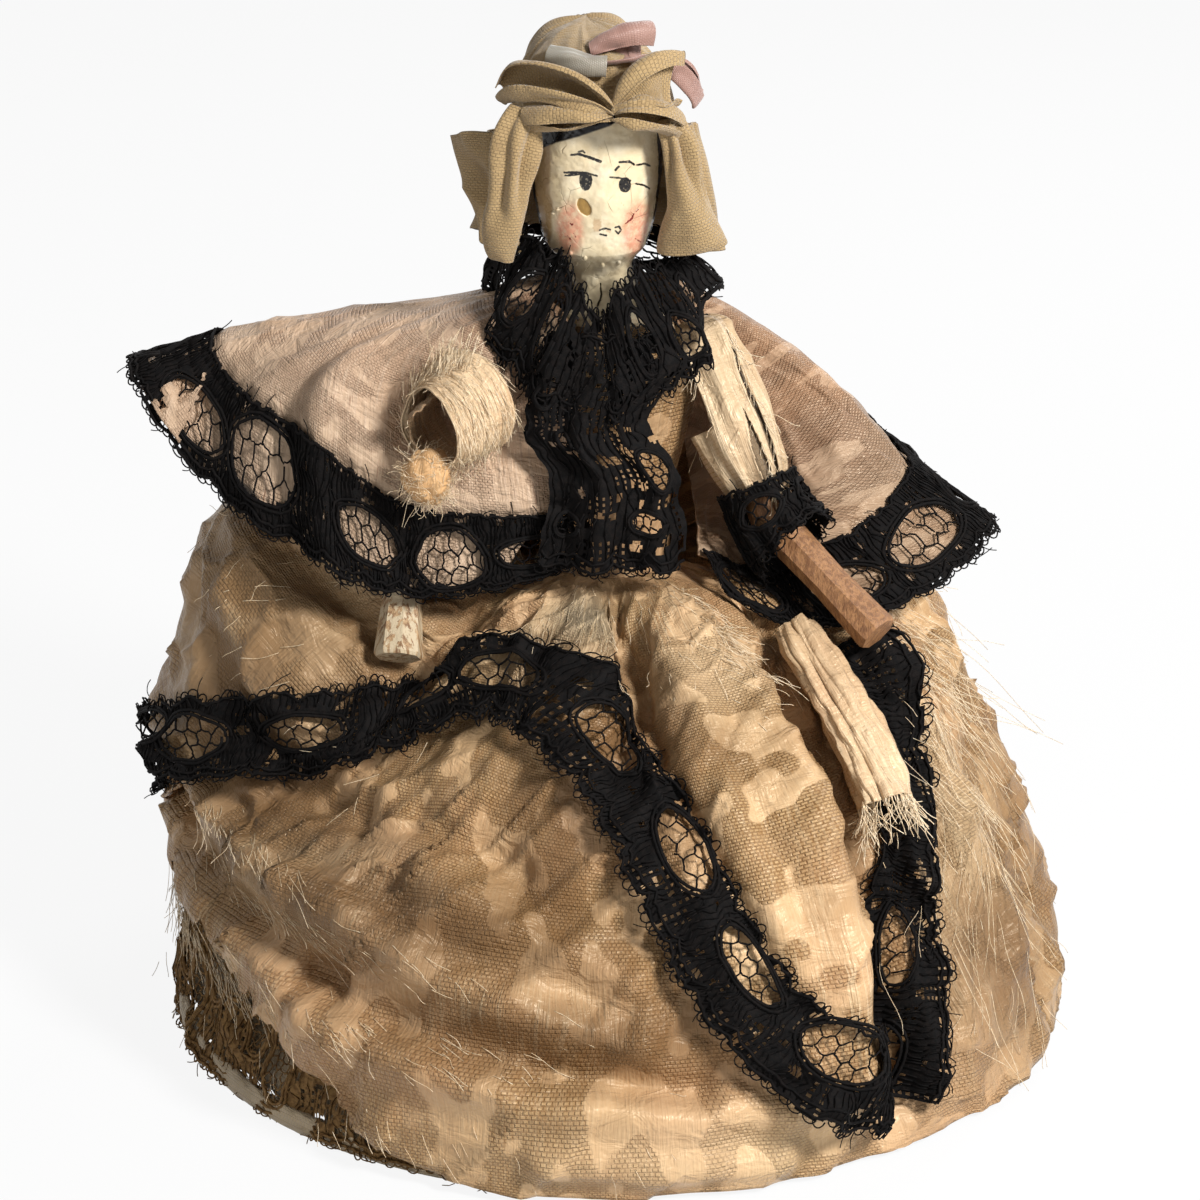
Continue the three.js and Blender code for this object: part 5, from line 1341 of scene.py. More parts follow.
@dataclass
class Lace:
    """Bobbin lace made of real threads: dense leaves, windows of net, gimps and picots.

    A window is an oval hole in the dense ground, with a net of hexagons in it.
    """

    name: str
    ribbon: Ribbon
    windows: list[Window]
    upper: Edge = Edge.STRAIGHT
    lower: Edge = Edge.SCALLOPED
    scallop: float = 5.0
    cell: float = 0.30
    mesh: float = 1.0
    thread: float = 0.085
    airy: float = 0.5
    pinholes: float = 9.0
    rib: float = 0.52
    fray: float = 1.0
    seed: int = 1
    finish: str = "black_lace"

    def lower_edge(self, s: Array) -> Array:
        """Millimetres from the upper edge to the lower one, at s."""
        nick = self.lower.value * (1 - wave_edge(s, self.scallop))
        return self.ribbon.width - nick - 0.25 * (noise(s * 1.7, 0, self.seed) + 0.4)

    def upper_edge(self, s: Array) -> Array:
        """Where the upper edge lies, at s."""
        nick = self.upper.value * (1 - wave_edge(s, self.scallop))
        return nick + 0.22 * (noise(s * 1.3, 0, self.seed + 4) + 0.4)

    def inside(self, s: Array, t: Array, window: Window) -> Array:
        """How far inside a window a place lies: 1 at its middle, 0 at its rim.

        Args:
            s: Millimetres along the lace.
            t: Millimetres across it.
            window: The window.

        Returns:
            Values, below 0 outside.
        """
        cs, ct, hs, ht = window
        wobble = 1 + 0.16 * noise(s * 0.8 + cs, t * 0.8, self.seed + 9)
        return 1 - np.hypot((s - cs) / hs, (t - ct) / ht) ** 1.6 * wobble

    def ground(self, threads: Threads) -> None:
        """Lays the dense ground as fine woven cells, open in the windows and at pinholes.

        Args:
            threads: Gathers the threads.
        """
        wide = self.ribbon.width
        ns, nt = max(2, int(self.ribbon.length / self.cell)), max(2, int(wide / self.cell))
        s = np.linspace(0, self.ribbon.length, ns + 1)[:, None]
        t = np.linspace(0, wide, nt + 1)[None]
        ripple = 0.06 * noise(s * 2.3, t * 2.3, self.seed)
        points = self.ribbon.at(s + 0 * t, t + 0 * s, ripple)
        i, j = np.meshgrid(np.arange(ns), np.arange(nt), indexing="ij")
        ms, mt = (s[i, 0] + s[i + 1, 0]) / 2, (t[0, j] + t[0, j + 1]) / 2
        keep = (mt < self.lower_edge(ms)) & (mt > self.upper_edge(ms))
        for window in self.windows:
            keep &= self.inside(ms, mt, window) < 0
        rng = np.random.default_rng(self.seed + 50)
        holes = rng.random((int(self.ribbon.length * wide / self.pinholes), 4))
        for hs, ht, wide_hole, high_hole in holes:
            ring = np.hypot((ms - hs * self.ribbon.length) / (0.30 + 0.45 * wide_hole**2),
                            (mt - ht * wide) / (0.26 + 0.3 * high_hole**2))
            keep &= ring > 1
        slots = (i % 3 == 1) & (j % 2 == 0)
        keep &= ~(slots & (noise(ms * 0.5, mt * 0.5, self.seed + 2) > 0.75 - self.airy))
        a = i * (nt + 1) + j
        quads = np.stack([a, a + nt + 1, a + nt + 2, a + 1], -1)[keep]
        threads.add_faces(points.reshape(-1, 3), [quads])

    def hatch(self, threads: Threads) -> None:
        """Runs raised threads across the dense ground.

        Args:
            threads: Gathers the threads.
        """
        count = int(self.ribbon.length / self.rib)
        s = (np.arange(count) + 0.5)[:, None] * self.rib
        steps = max(6, int(self.ribbon.width / 0.55))
        share = shares(steps)
        t = mix(self.upper_edge(s), self.lower_edge(s), share)
        wander = 0.55 * noise(s * 0.9, t * 0.9, self.seed + 5)
        lift = 0.10 + 0.07 * noise(s * 3, t * 1.5, self.seed + 6)
        open_here = np.zeros(t.shape)
        for window in self.windows:
            open_here = np.maximum(open_here, self.inside(s + 0 * t, t, window))
        paths = self.ribbon.at(s + wander, t, lift)
        for k in range(0, steps - 2, 2):
            good = (open_here[:, k:k + 3] < 0.08).all(1)
            threads.add(paths[good, k:k + 3], self.thread, 3)

    def net(self, threads: Threads) -> None:
        """Fills the windows with hexagons of twisted thread.

        Args:
            threads: Gathers the threads.
        """
        rng = np.random.default_rng(self.seed)
        side = 1.05 * self.mesh
        for cs, ct, hs, ht in self.windows:
            edges = []
            nx, ny = int(hs / side) + 2, int(ht / (side * 1.5)) + 2
            for a in range(-nx, nx + 1):
                for b in range(-ny, ny + 1):
                    x = cs + (a + (b % 2) / 2) * side * math.sqrt(3)
                    y = ct + b * side * 1.5
                    top, right = (x, y - side), (x + side * 0.866, y - side / 2)
                    low, left = (x + side * 0.866, y + side / 2), (x - side * 0.866, y - side / 2)
                    edges += [(top, right), (right, low), (top, left)]
            ends = np.array(edges)
            key = ends[..., 0] * 7.3 + ends[..., 1] * 3.1
            jitter = 0.2 * side * np.stack([noise(key, 0, self.seed), noise(key, 9, self.seed)], -1)
            ends = ends + jitter
            middle = ends.mean(1)
            inside = self.inside(middle[:, 0], middle[:, 1], (cs, ct, hs * 1.12, ht * 1.12))
            ends = ends[(inside > 0) & (rng.random(len(ends)) > 0.04)]
            share = shares(4)[None, :, None]
            run = ends[:, :1] * (1 - share) + ends[:, 1:] * share
            run = run + 0.06 * rng.standard_normal(run.shape)
            paths = self.ribbon.at(run[..., 0], run[..., 1], 0.08)
            threads.add(paths, self.thread * (1 + 0.25 * rng.random((len(paths), 1))), 4)

    def gimps(self, threads: Threads) -> None:
        """Outlines the windows and both edges with thicker thread.

        Args:
            threads: Gathers the threads.
        """
        rng = np.random.default_rng(self.seed + 20)
        turn = TURN * shares(26)
        for cs, ct, hs, ht in self.windows:
            for grow in (1.0, 1.14):
                wobble = 1 + 0.08 * noise(turn * 2, cs, self.seed + 3)
                s = cs + hs * grow * wobble * np.cos(turn)
                t = ct + ht * grow * wobble * np.sin(turn)
                threads.add(self.ribbon.at(s, t, 0.12)[None], 0.17, 5)
        count = max(8, int(self.ribbon.length / 0.45))
        s = np.linspace(0.2, self.ribbon.length - 0.2, count)
        for edge, inset in ((self.lower_edge, -0.25), (self.upper_edge, 0.2),
                            (self.lower_edge, -1.1)):
            t = edge(s) + inset + 0.1 * noise(s * 2, 5, self.seed + int(10 * inset))
            threads.add(self.ribbon.at(s, t, 0.1 + 0.05 * rng.random(count))[None], 0.15, 5)

    def picots(self, threads: Threads) -> None:
        """Sets small loops along the edges, some broken into loose ends.

        Args:
            threads: Gathers the threads.
        """
        rng = np.random.default_rng(self.seed + 30)
        for edge, way in ((self.lower_edge, 1.0), (self.upper_edge, -1.0)):
            if way < 0 and self.upper is Edge.STRAIGHT:
                continue
            s = np.arange(0.5, self.ribbon.length - 0.4, 0.85)
            s = s + 0.15 * rng.standard_normal(len(s))
            s = s[rng.random(len(s)) > 0.12][:, None]
            turn = np.linspace(-0.25, math.pi + 0.25, 8)
            size = 0.42 + 0.16 * rng.random((len(s), 1))
            t = edge(s) + way * (size * 1.2 * np.sin(turn) - 0.1)
            paths = self.ribbon.at(s + size * np.cos(turn), t,
                                   0.08 + 0.12 * rng.standard_normal((len(s), 1)))
            threads.add(paths, 0.085, 3)
        loose = int(self.ribbon.length * 0.35 * self.fray)
        s = rng.random((loose, 1)) * self.ribbon.length
        share = shares(6)
        reach = 0.6 + 1.3 * rng.random((loose, 1)) ** 2
        lower = rng.random((loose, 1)) < 0.6
        t = np.where(lower, self.lower_edge(s) + share * reach, self.upper_edge(s) - share * reach)
        drift = share**2 * rng.standard_normal((loose, 1)) * 0.9
        lift = 0.1 + share**2 * (0.5 * rng.random((loose, 1)))
        threads.add(self.ribbon.at(s + drift, t, lift), 0.055, 3)

    def build(self) -> bpy.types.Object:
        """Makes the lace as one piece.

        Returns:
            The dressed piece, which rides on nothing yet.
        """
        threads = Threads()
        self.ground(threads)
        self.hatch(threads)
        self.net(threads)
        self.gimps(threads)
        self.picots(threads)
        return FINISHES.dress(threads.build(self.name), self.finish)


def skirt_ribbon(path: Array, width: float, lift: float) -> Ribbon:
    """A strip that lies on the skirts along a path.

    Args:
        path: Angles and rows of its middle.
        width: Millimetres across.
        lift: Millimetres off the skirt cloth.

    Returns:
        The strip.
    """
    dense = spline(path, np.linspace(0, len(path) - 1, 900))
    arcs = run_lengths(bell_folded(dense[:, 0], dense[:, 1])[:, None], 0)[:, 0]
    even = np.linspace(0, arcs[-1], int(arcs[-1] / 0.5))
    place = np.interp(even, arcs, np.linspace(0, len(path) - 1, 900))
    angle, row = spline(path, place).T
    middle = bell_folded(angle, row)
    smooth_run = unit(np.gradient(middle, axis=0))
    kernel = np.ones(9) / 9
    padded = np.concatenate([np.repeat(smooth_run[:1], 4, 0), smooth_run,
                             np.repeat(smooth_run[-1:], 4, 0)])
    run = unit(np.stack([np.convolve(padded[:, k], kernel, "valid") for k in range(3)], -1))
    cross = unit(np.cross(run, outward(bell_folded, angle, row)))
    across = np.linspace(-0.5, 0.5, int(width / 0.45)) * width
    step = cross[:, None] * across[:, None]
    per_degree = (bell_folded(angle + 1, row) - bell_folded(angle - 1, row))[:, None] / 2
    per_row = (bell_folded(angle, row + 0.05) - bell_folded(angle, row - 0.05))[:, None] * 10
    aa, ab, bb = ((x * y).sum(-1) for x, y in ((per_degree, per_degree), (per_degree, per_row),
                                               (per_row, per_row)))
    ra, rb = (per_degree * step).sum(-1), (per_row * step).sum(-1)
    whole = aa * bb - ab * ab
    turn = (ra * bb - rb * ab) / whole
    drop = (rb * aa - ra * ab) / whole
    return Ribbon(drape(angle[:, None] + turn, np.clip(row[:, None] + drop, 0.3, 7.9), lift))


def even_windows(length: float, width: float, first: float, step: float, half: float,
                 seed: int) -> list[Window]:
    """Windows set along a lace at a nearly even step.

    Args:
        length: The lace's length.
        width: Its width.
        first: Where the first window stands.
        step: From one window to the next.
        half: Half of a window's length.
        seed: Varies their sizes.

    Returns:
        The middle and half sizes of each window.
    """
    rng = np.random.default_rng(seed)
    spots = np.arange(first, length - half, step)
    return [(float(s + 0.12 * step * rng.standard_normal()),
             width * (0.46 + 0.06 * rng.standard_normal()),
             half * (0.72 + 0.5 * rng.random()), width * 0.27 * (0.7 + 0.5 * rng.random()))
            for s in spots]


# The least that a sheet is said to be: its shorter side in millimetres, and its share of wide
# times long that is cloth
SHORTEST_SIDE = 10.2
LEAST_SHARE = 0.31


def declare(piece: bpy.types.Object, patch: Patch, held: str, rests_on: list[str],
            with_pieces: list[bpy.types.Object] | None = None) -> None:
    """Logs the size that a sheet of cloth was cut to.

    Args:
        piece: The sheet.
        patch: Its grid, from which the cut size is measured.
        held: Not used.
        rests_on: Not used.
        with_pieces: Not used.
    """
    grid = patch.points
    if patch.closed:
        grid = np.concatenate([grid, grid[:1]])
    wide = float(run_lengths(grid, 0)[-1].max())
    long = float(run_lengths(grid, 1)[:, -1].max())
    corner = np.cross(grid[1:, :-1] - grid[:-1, :-1], grid[:-1, 1:] - grid[:-1, :-1])
    far = np.cross(grid[:-1, 1:] - grid[1:, 1:], grid[1:, :-1] - grid[1:, 1:])
    cells = (np.linalg.norm(corner, axis=-1) + np.linalg.norm(far, axis=-1)) / 2
    area = float(cells.sum() if patch.keep is None else cells[patch.keep].sum())
    wide, long = max(wide, SHORTEST_SIDE), max(long, SHORTEST_SIDE)
    area = min(max(area, LEAST_SHARE * wide * long), wide * long)
    LOG.info("%s is a sheet of %.0f by %.0f mm, %.0f square mm", piece.name, wide, long, area)


STRAND_POINTS = 9


def strands(roots: Array, ways: Array, reach: Array, sag: float, seed: int, waver: float
            ) -> Array:
    """Loose fibres that start at points and wander off.

    Args:
        roots: Where they start.
        ways: Which way each goes at first.
        reach: How long each is, in millimetres.
        sag: How much each falls by its end, as a share of its length.
        seed: Varies them.
        waver: How far they wander, as a share of their length.

    Returns:
        The fibres' points, fibres by points by 3.
    """
    rng = np.random.default_rng(seed)
    share = shares(STRAND_POINTS)[None, :, None]
    reach = np.asarray(reach, float)[:, None, None]
    bend = rng.standard_normal((len(roots), 1, 3)) * waver
    twist = rng.standard_normal((len(roots), 1, 3)) * waver * 0.35
    path = roots[:, None] + reach * share * (ways[:, None] + bend * share)
    path = path + reach * twist * np.sin(share * 5.5) * share
    path[..., 2:] -= sag * reach * share**2
    return path


# Overskirt


# Where torn fibres stand: angle and row, their spread, how many, the shortest and the longest
# in millimetres, how far they stand off the cloth, and how far they lean aside
FIBRE_SPOTS = [
    (-88, 2.6, 12, 0.9, 40, 1.5, 4, 0.0, 0.0), (-72, 3.8, 12, 0.5, 30, 1.5, 5, 0.0, 0.6),
    (74, 4.2, 13, 1.6, 300, 4, 13, 0.01, 0.0), (60, 3.4, 8, 1.2, 110, 3, 9, 0.02, 0.1),
    (64, 5.9, 7, 0.5, 60, 4, 10, 0.25, 1.0), (88, 3.4, 12, 1.0, 60, 3, 9, 0.02, 0.0),
    (-70, 5.5, 12, 0.08, 80, 2, 6, 0.01, -2.6), (-50, 5.95, 14, 0.08, 90, 2, 6, 0.01, -2.8),
    (-76, 6.7, 16, 0.08, 150, 1.5, 5, 0.03, -0.9), (-34, 6.6, 20, 0.14, 90, 2, 6, 0.03, -2.8),
    (-30, 7.4, 26, 0.1, 30, 1.5, 3, 0.15, -0.5), (-10, 1.5, 9, 0.5, 90, 1.5, 5, 0.03, 0.0),
    (24, 1.6, 8, 0.6, 60, 1.5, 5, 0.04, 0.0), (34, 2.0, 5, 0.5, 110, 2, 5, 0.10, -1.2),
]


@dataclass
class Overskirt:
    """The draped overskirt with its black lace and the sash tail beside its front pouf."""

    around: int = 460
    down: int = 170
    thickness: float = 0.22
    top: float = 0.25
    side_curve: float = 2.2
    lace_width: float = 8.5
    fringe: int = 150
    fibre_lift: float = 0.15
    fibre_lowest: float = 0.15
    floor_gap: float = 0.6

    def place(self, u: Array, v: Array) -> tuple[Array, Array]:
        """The angle and row at shares across and down.

        Args:
            u: Shares across.
            v: Shares down.

        Returns:
            Degrees and rows.
        """
        columns = spline(OVERSKIRT_COLUMNS, u * (len(OVERSKIRT_COLUMNS) - 1))
        bend = mix(1, self.side_curve, smoothstep(0.6, 1, u))
        angle = mix(columns[..., 0], columns[..., 1], v**bend)
        return angle, mix(self.top, columns[..., 2], v)

    def cloth(self) -> tuple[bpy.types.Object, Patch]:
        """Builds the cloth of the overskirt.

        Returns:
            The piece and its grid.
        """
        angle, row = self.place(*two_ways(shares(self.around), shares(self.down)))
        points = drape(angle, row, OVERSKIRT_LIFT)
        cloth = np.stack([angle, row], -1) * OVERSKIRT_WEAVE + [40, 3]
        marks = {name: near(angle, row, spots) for name, spots in OVERSKIRT_MARKS.items()}
        patch = Patch(points, cloth, marks=marks)
        piece = patch.build("silk_overskirt", self.thickness)
        FINISHES.dress(piece, "pale_silk")
        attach(piece, "root")
        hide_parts("overskirt")
        return piece, patch

    def lace(self) -> list[bpy.types.Object]:
        """Builds the lace along the lower edge and up the side.

        Returns:
            Both laces.
        """
        pieces = []
        for name, node, path, width, seed in (
                ("black_lace_hem", "overskirt_lace", LACE_PATH, self.lace_width, 3),
                ("black_lace_side", "overskirt_lace_rise", LACE_RISE, self.lace_width * 0.8, 8)):
            ribbon = skirt_ribbon(path, width, LACE_LIFT)
            windows = even_windows(ribbon.length, width, 6.0, 12.4, 4.1, seed)
            piece = Lace(name, ribbon, windows, upper=Edge.SCALLOPED, seed=seed).build()
            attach(piece, "root")
            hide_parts(node)
            pieces.append(piece)
        return pieces

    def loose_fibres(self) -> bpy.types.Object:
        """Scatters torn silk fibres along the worn folds.

        Returns:
            The piece.
        """
        rng = np.random.default_rng(5)
        threads = Threads()
        for angle, row, wide, high, count, least, most, out_share, aside in FIBRE_SPOTS:
            a = angle + wide * rng.standard_normal(count)
            r = np.clip(row + high * rng.standard_normal(count), 0.6, 7.6)
            lift = np.where(a < 40, OVERSKIRT_LIFT, 0.1) * (r < 5) + self.fibre_lift
            roots = drape(a, r, lift)
            out = outward(bell_folded, a, r)
            slide = unit(drape(a, r + 0.1, lift) - drape(a, r - 0.1, lift))
            turn = aside + 0.16 * rng.standard_normal((count, 1))
            ways = unit(out_share * out + slide + turn * np.cross(slide, out))
            reach = least + (most - least) * rng.random(count) ** 2
            # No fibre may reach through the floor
            room = 0.75 * (roots[:, 2] - self.floor_gap) / np.maximum(0.3, -ways[:, 2])
            paths = strands(roots, ways, np.minimum(reach, np.maximum(room, 0.5)), 0.06,
                            int(row * 10), 0.14)
            paths[..., 2] = np.maximum(paths[..., 2], self.fibre_lowest)
            threads.add(paths, 0.030, 3)
        piece = FINISHES.dress(threads.build("loose_fibres"), "silk_fibre")
        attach(piece, "root")
        return piece

    def tail_fringe(self, grid: Array, fall: Array) -> bpy.types.Object:
        """Builds the frayed fringe at the tail's foot.

        Args:
            grid: The tail's points, round by down by 3.
            fall: Which way its foot points.

        Returns:
            The piece.
        """
        rng = np.random.default_rng(12)
        pick = rng.integers(0, len(grid), self.fringe)
        roots = grid[pick, -1 - rng.integers(0, 3, self.fringe)]
        drop = -outward(bell_folded, np.full(1, 44.0), np.full(1, 4.8)) * 0.1 + fall
        ways = unit(drop + 0.22 * rng.standard_normal((self.fringe, 3)))
        threads = Threads()
        threads.add(strands(roots, ways, 1.2 + 2.6 * rng.random(self.fringe), 0.1, 21, 0.3),
                    0.05, 3)
        fringe = FINISHES.dress(threads.build("sash_fringe"), "silk_fibre")
        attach(fringe, "root")
        return fringe

    def tail(self) -> None:
        """Builds the sash tail, a pleated hanging end with a frayed fringe."""
        steps, sides = 90, 84
        dense = spline(TAIL_PATH, shares(steps) * (len(TAIL_PATH) - 1))
        middle = bell(dense[:, 0], dense[:, 1], TAIL_LIFT)
        along = unit(np.gradient(middle, axis=0))
        out = outward(bell_folded, dense[:, 0], dense[:, 1])
        side = unit(np.cross(along, out))
        out = np.cross(side, along)
        t = shares(steps)[:, None]
        turn = turns(sides)[None]
        pleat = 0.26 * np.sin(turn * 5 + 2.5 * t) + 0.16 * np.sin(turn * 13 + 4 * t + 1)
        pleat = pleat + 0.09 * np.sin(turn * 27 - 3 * t)
        rumpled = 0.34 * noise(turn * 2.2, t * 7, 31) + 0.16 * noise(turn * 4, t * 16, 32)
        wide = 2.5 * (0.72 + 0.33 * t) + pleat + rumpled
        deep = 2.1 * (0.72 + 0.3 * t) + 0.7 * pleat + rumpled
        points = (middle[:, None] + side[:, None] * (wide * np.cos(turn))[..., None]
                  + out[:, None] * (deep * np.sin(turn))[..., None])
        grid = points.transpose(1, 0, 2)
        cloth = even_cloth(sides + 1, steps, 0.22, 0.22) + [0, 7]
        flat = np.repeat(shares(steps)[None], sides, 0)
        marks = {"worn": 0.7 * flat, "pale": 0.35 * flat**3, "soil_and_shade": 0.3 * (1 - flat) ** 2}
        patch = Patch(grid, cloth, closed=True, marks=marks)
        piece = patch.build("sash_tail_silk", 0.2)
        FINISHES.dress(piece, "satin")
        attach(piece, "root")
        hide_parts("sash_tail")
        declare(piece, patch, "folded", ["silk_overskirt"], [self.tail_fringe(grid, along[-1])])

    def build(self) -> None:
        """Builds the overskirt and what is sewn on it."""
        piece, patch = self.cloth()
        laces = self.lace()
        declare(piece, patch, "gathered", ["silk_skirt"], [*laces, self.loose_fibres()])
        self.tail()


# Upper body


# The cape in columns from the doll's front right round the back to its front left, each with
# five points from the neck down to the lace's foot, measured from the shoulders' height
MANTLE = np.array([
    [[-3.6, -5, 5.2], [-2.4, -6.5, -1], [-1.8, -6.9, -7], [-1.4, -7.8, -13], [-1.2, -8.8, -17]],
    [[-4.6, -4.2, 5.8], [-8.5, -6.4, 1.6], [-9.8, -7.2, -5], [-9.9, -9.6, -12.5],
     [-9.2, -11.2, -19.2]],
    [[-5, -3.2, 6], [-12.5, -5.8, 3], [-16, -7, -3], [-18.4, -10, -11.2], [-18.5, -12, -19.8]],
    [[-5.3, -1.5, 6.2], [-15, -4, 3.4], [-22.5, -6, -0.6], [-26, -8, -5.9], [-26.6, -10.5, -16.6]],
    [[-5.4, 0, 6.3], [-15.5, -0.5, 3.8], [-26, -2.5, 1.2], [-33.5, -3, -2.6], [-36.2, -5.6, -11.9]],
    [[-5.4, 1.2, 6.3], [-15, 2.5, 3.7], [-27, 2.5, 1.6], [-35.8, 2, -0.4], [-43.7, -1.2, -2.6]],
    [[-5.1, 2.8, 6.1], [-14, 5.5, 3.2], [-25, 8, 0.7], [-33, 9, -1.8], [-41.2, 8, -4]],
    [[-4.2, 4.4, 5.9], [-11, 9, 1.8], [-19, 14, -3], [-26, 17, -7.4], [-31, 19.5, -13.5]],
    [[0, 5.6, 5.8], [0, 10.5, 1.2], [0, 15, -4.6], [0, 18.5, -8.6], [0, 23, -12.8]],
    [[4.2, 4.6, 5.8], [10.5, 9, 1.2], [16.5, 13, -5.6], [21.5, 14.5, -11], [26, 16.5, -15.4]],
    [[5.3, 3.8, 5.3], [12, 7, 0.6], [19.5, 7.4, -5], [26, 6.6, -11.3], [33, 6, -17.4]],
    [[5.9, 3.6, 4.2], [11.5, 6.4, -1.4], [20, 4.8, -6.2], [28.3, 2, -12.6], [36.8, 1, -18.2]],
    [[6.3, 3.8, 2.8], [10.8, 5.4, -4], [17, 3, -10.4], [23, -2.8, -16.8], [28.8, -6.2, -22.7]],
    [[6.5, 4.1, 1.4], [9.4, 4.4, -8], [12.8, 2, -14.4], [15, -4.2, -19.6], [18.6, -11.6, -23.1]],
    [[6.6, 4.4, 0], [7.6, 3.6, -11.4], [8.4, -2.6, -15.2], [8.8, -7.4, -16.9], [10.8, -11, -20]],
])


@dataclass
class Mantle:
    """The short silk cape with its black lace, and the torn strip that curls on it."""

    across: int = 420
    down: int = 120
    thickness: float = 0.22
    under: float = 0.82
    blend_start: tuple[float, float, float] = (-6, 6, 58)
    blend_end: tuple[float, float, float] = (-14, -4, 58)
    curl_centre: tuple[float, float, float] = (-13.6, -10.4, -3.0)
    curl_axis: tuple[float, float, float] = (-0.62, -0.75, -0.15)
    curl_start: float = 3.0
    curl_radius: float = 5.3
    curl_turns: float = 1.45
    curl_pitch: float = 1.75
    curl_length: float = 5.6
    tuft_centre: tuple[float, float, float] = (-15.9, -12.9, -7.6)
    tuft_size: tuple[float, float, float] = (2.2, 1.8, 2.6)

    def bare(self, column: Array, row: Array) -> Array:
        """Points of the cape without its folds.

        Args:
            column: Places among the columns.
            row: Places among the rows.

        Returns:
            Points in millimetres.
        """
        read = spline(MANTLE.transpose(1, 0, 2).reshape(5, -1), row).reshape(
            row.shape + (len(MANTLE), 3))
        place = np.clip(column, 0, len(MANTLE) - 1)
        first = np.clip(np.floor(place).astype(int), 0, len(MANTLE) - 2)
        four = (np.take_along_axis(read, np.clip(first + k, 0, len(MANTLE) - 1)[..., None, None],
                                   -2)[..., 0, :] for k in NEIGHBOURS)
        return cubic((place - first)[..., None], *four) + [0, 0, SHOULDER_HEIGHT]

    def folded(self, column: Array, row: Array) -> Array:
        """Points of the cape with folds that run down it and small creases.

        Args:
            column: Places among the columns.
            row: Places among the rows.

        Returns:
            Points in millimetres.
        """
        column, row = np.broadcast_arrays(np.asarray(column, float), np.asarray(row, float))
        around = self.bare(column + 0.05, row) - self.bare(column - 0.05, row)
        down = self.bare(column, np.minimum(4, row + 0.05)) - self.bare(
            column, np.maximum(0, row - 0.05))
        normal = unit(np.cross(around, down))
        wave = 0.5 * np.sin(column * 2.7)
        fine = 0.32 * noise(column * 2.6 + 0.5 * row, row * 0.55, 61)
        crease = 0.3 * crest(column * 1.7 - 0.9 * row, row * 1.5, 63)
        crease = crease + 0.16 * crest(column * 4.1, row * 2.6, 64)
        pulled = column + 0.25 * (row - 2)
        crease = crease + 0.9 * np.exp(-(((pulled - 3.25) / 0.2) ** 2))
        crease = crease - 0.9 * np.exp(-(((pulled - 3.65) / 0.22) ** 2))
        rise = (wave + fine + crease) * smoothstep(0.6, 2.4, row)
        rise = rise + 0.2 * np.sin(column * 9) * smoothstep(1.2, 0, row)
        return self.bare(column, row) + normal * rise[..., None]

    def cloth(self) -> tuple[bpy.types.Object, Patch]:
        """Builds the silk of the cape.

        Returns:
            The piece and its grid.
        """
        u = shares(self.across)[:, None] * (len(MANTLE) - 1)
        v = shares(self.down)[None]
        column, row = np.broadcast_arrays(u, v * (3.04 + self.under * smoothstep(0.4, 1.2, u)
                                                  * smoothstep(13.6, 12.8, u)))
        points = self.folded(column, row)
        out = unit(np.cross(np.gradient(points, axis=1), np.gradient(points, axis=0)))
        out = out * np.sign((out * (points - [0, 0, 40])).sum(-1, keepdims=True))
        points = points - out * (0.62 * smoothstep(2.85, 3.08, row))[..., None]
        cloth = np.stack([run_lengths(points, 0) * 0.5 + column * 3.2, row * 9.5], -1)
        wing = smoothstep(7.5, 4, column)
        marks = {
            "worn": 0.55 * wing * smoothstep(0.4, 1.6, row),
            "pale": 0.5 * wing * smoothstep(0.2, 1.2, row) * (0.6 + 0.4 * noise(column, row, 6)),
            "grey": 0.25 * smoothstep(2.2, 3.0, row),
            "soil_and_shade": 0.5 * smoothstep(0.5, 0.0, row) + 0.2 * smoothstep(9, 12, column),
        }
        patch = Patch(points, cloth, marks=marks)
        piece = patch.build("silk_mantle", self.thickness)
        FINISHES.dress(piece, "rose_silk")
        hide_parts("mantle_wing", "mantle_back")
        return piece, patch

    def lace(self) -> bpy.types.Object:
        """Builds the lace along the cape's edge.

        Returns:
            The piece.
        """
        u = np.linspace(len(MANTLE) - 1, 0, 700)[:, None]
        row = (3.0 + shares(26))[None]
        column, row = np.broadcast_arrays(u, row)
        ribbon = Ribbon(self.folded(column, row))
        windows = even_windows(ribbon.length, ribbon.width, 6.5, 12.6, 4.3, 71)
        piece = Lace("black_lace_mantle", ribbon, windows, seed=70, fray=1.4).build()
        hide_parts("mantle_lace_wing", "mantle_lace_back")
        return piece

    def roll_frame(self) -> tuple[Array, Array, Array]:
        """Where the roll lies.

        Returns:
            Its middle, its axis and the way up across it.
        """
        axis = unit(np.array(self.curl_axis))
        up = unit(np.array([0, 0, 1]) - axis * axis[2])
        return np.array(self.curl_centre) + [0, 0, SHOULDER_HEIGHT], axis, up

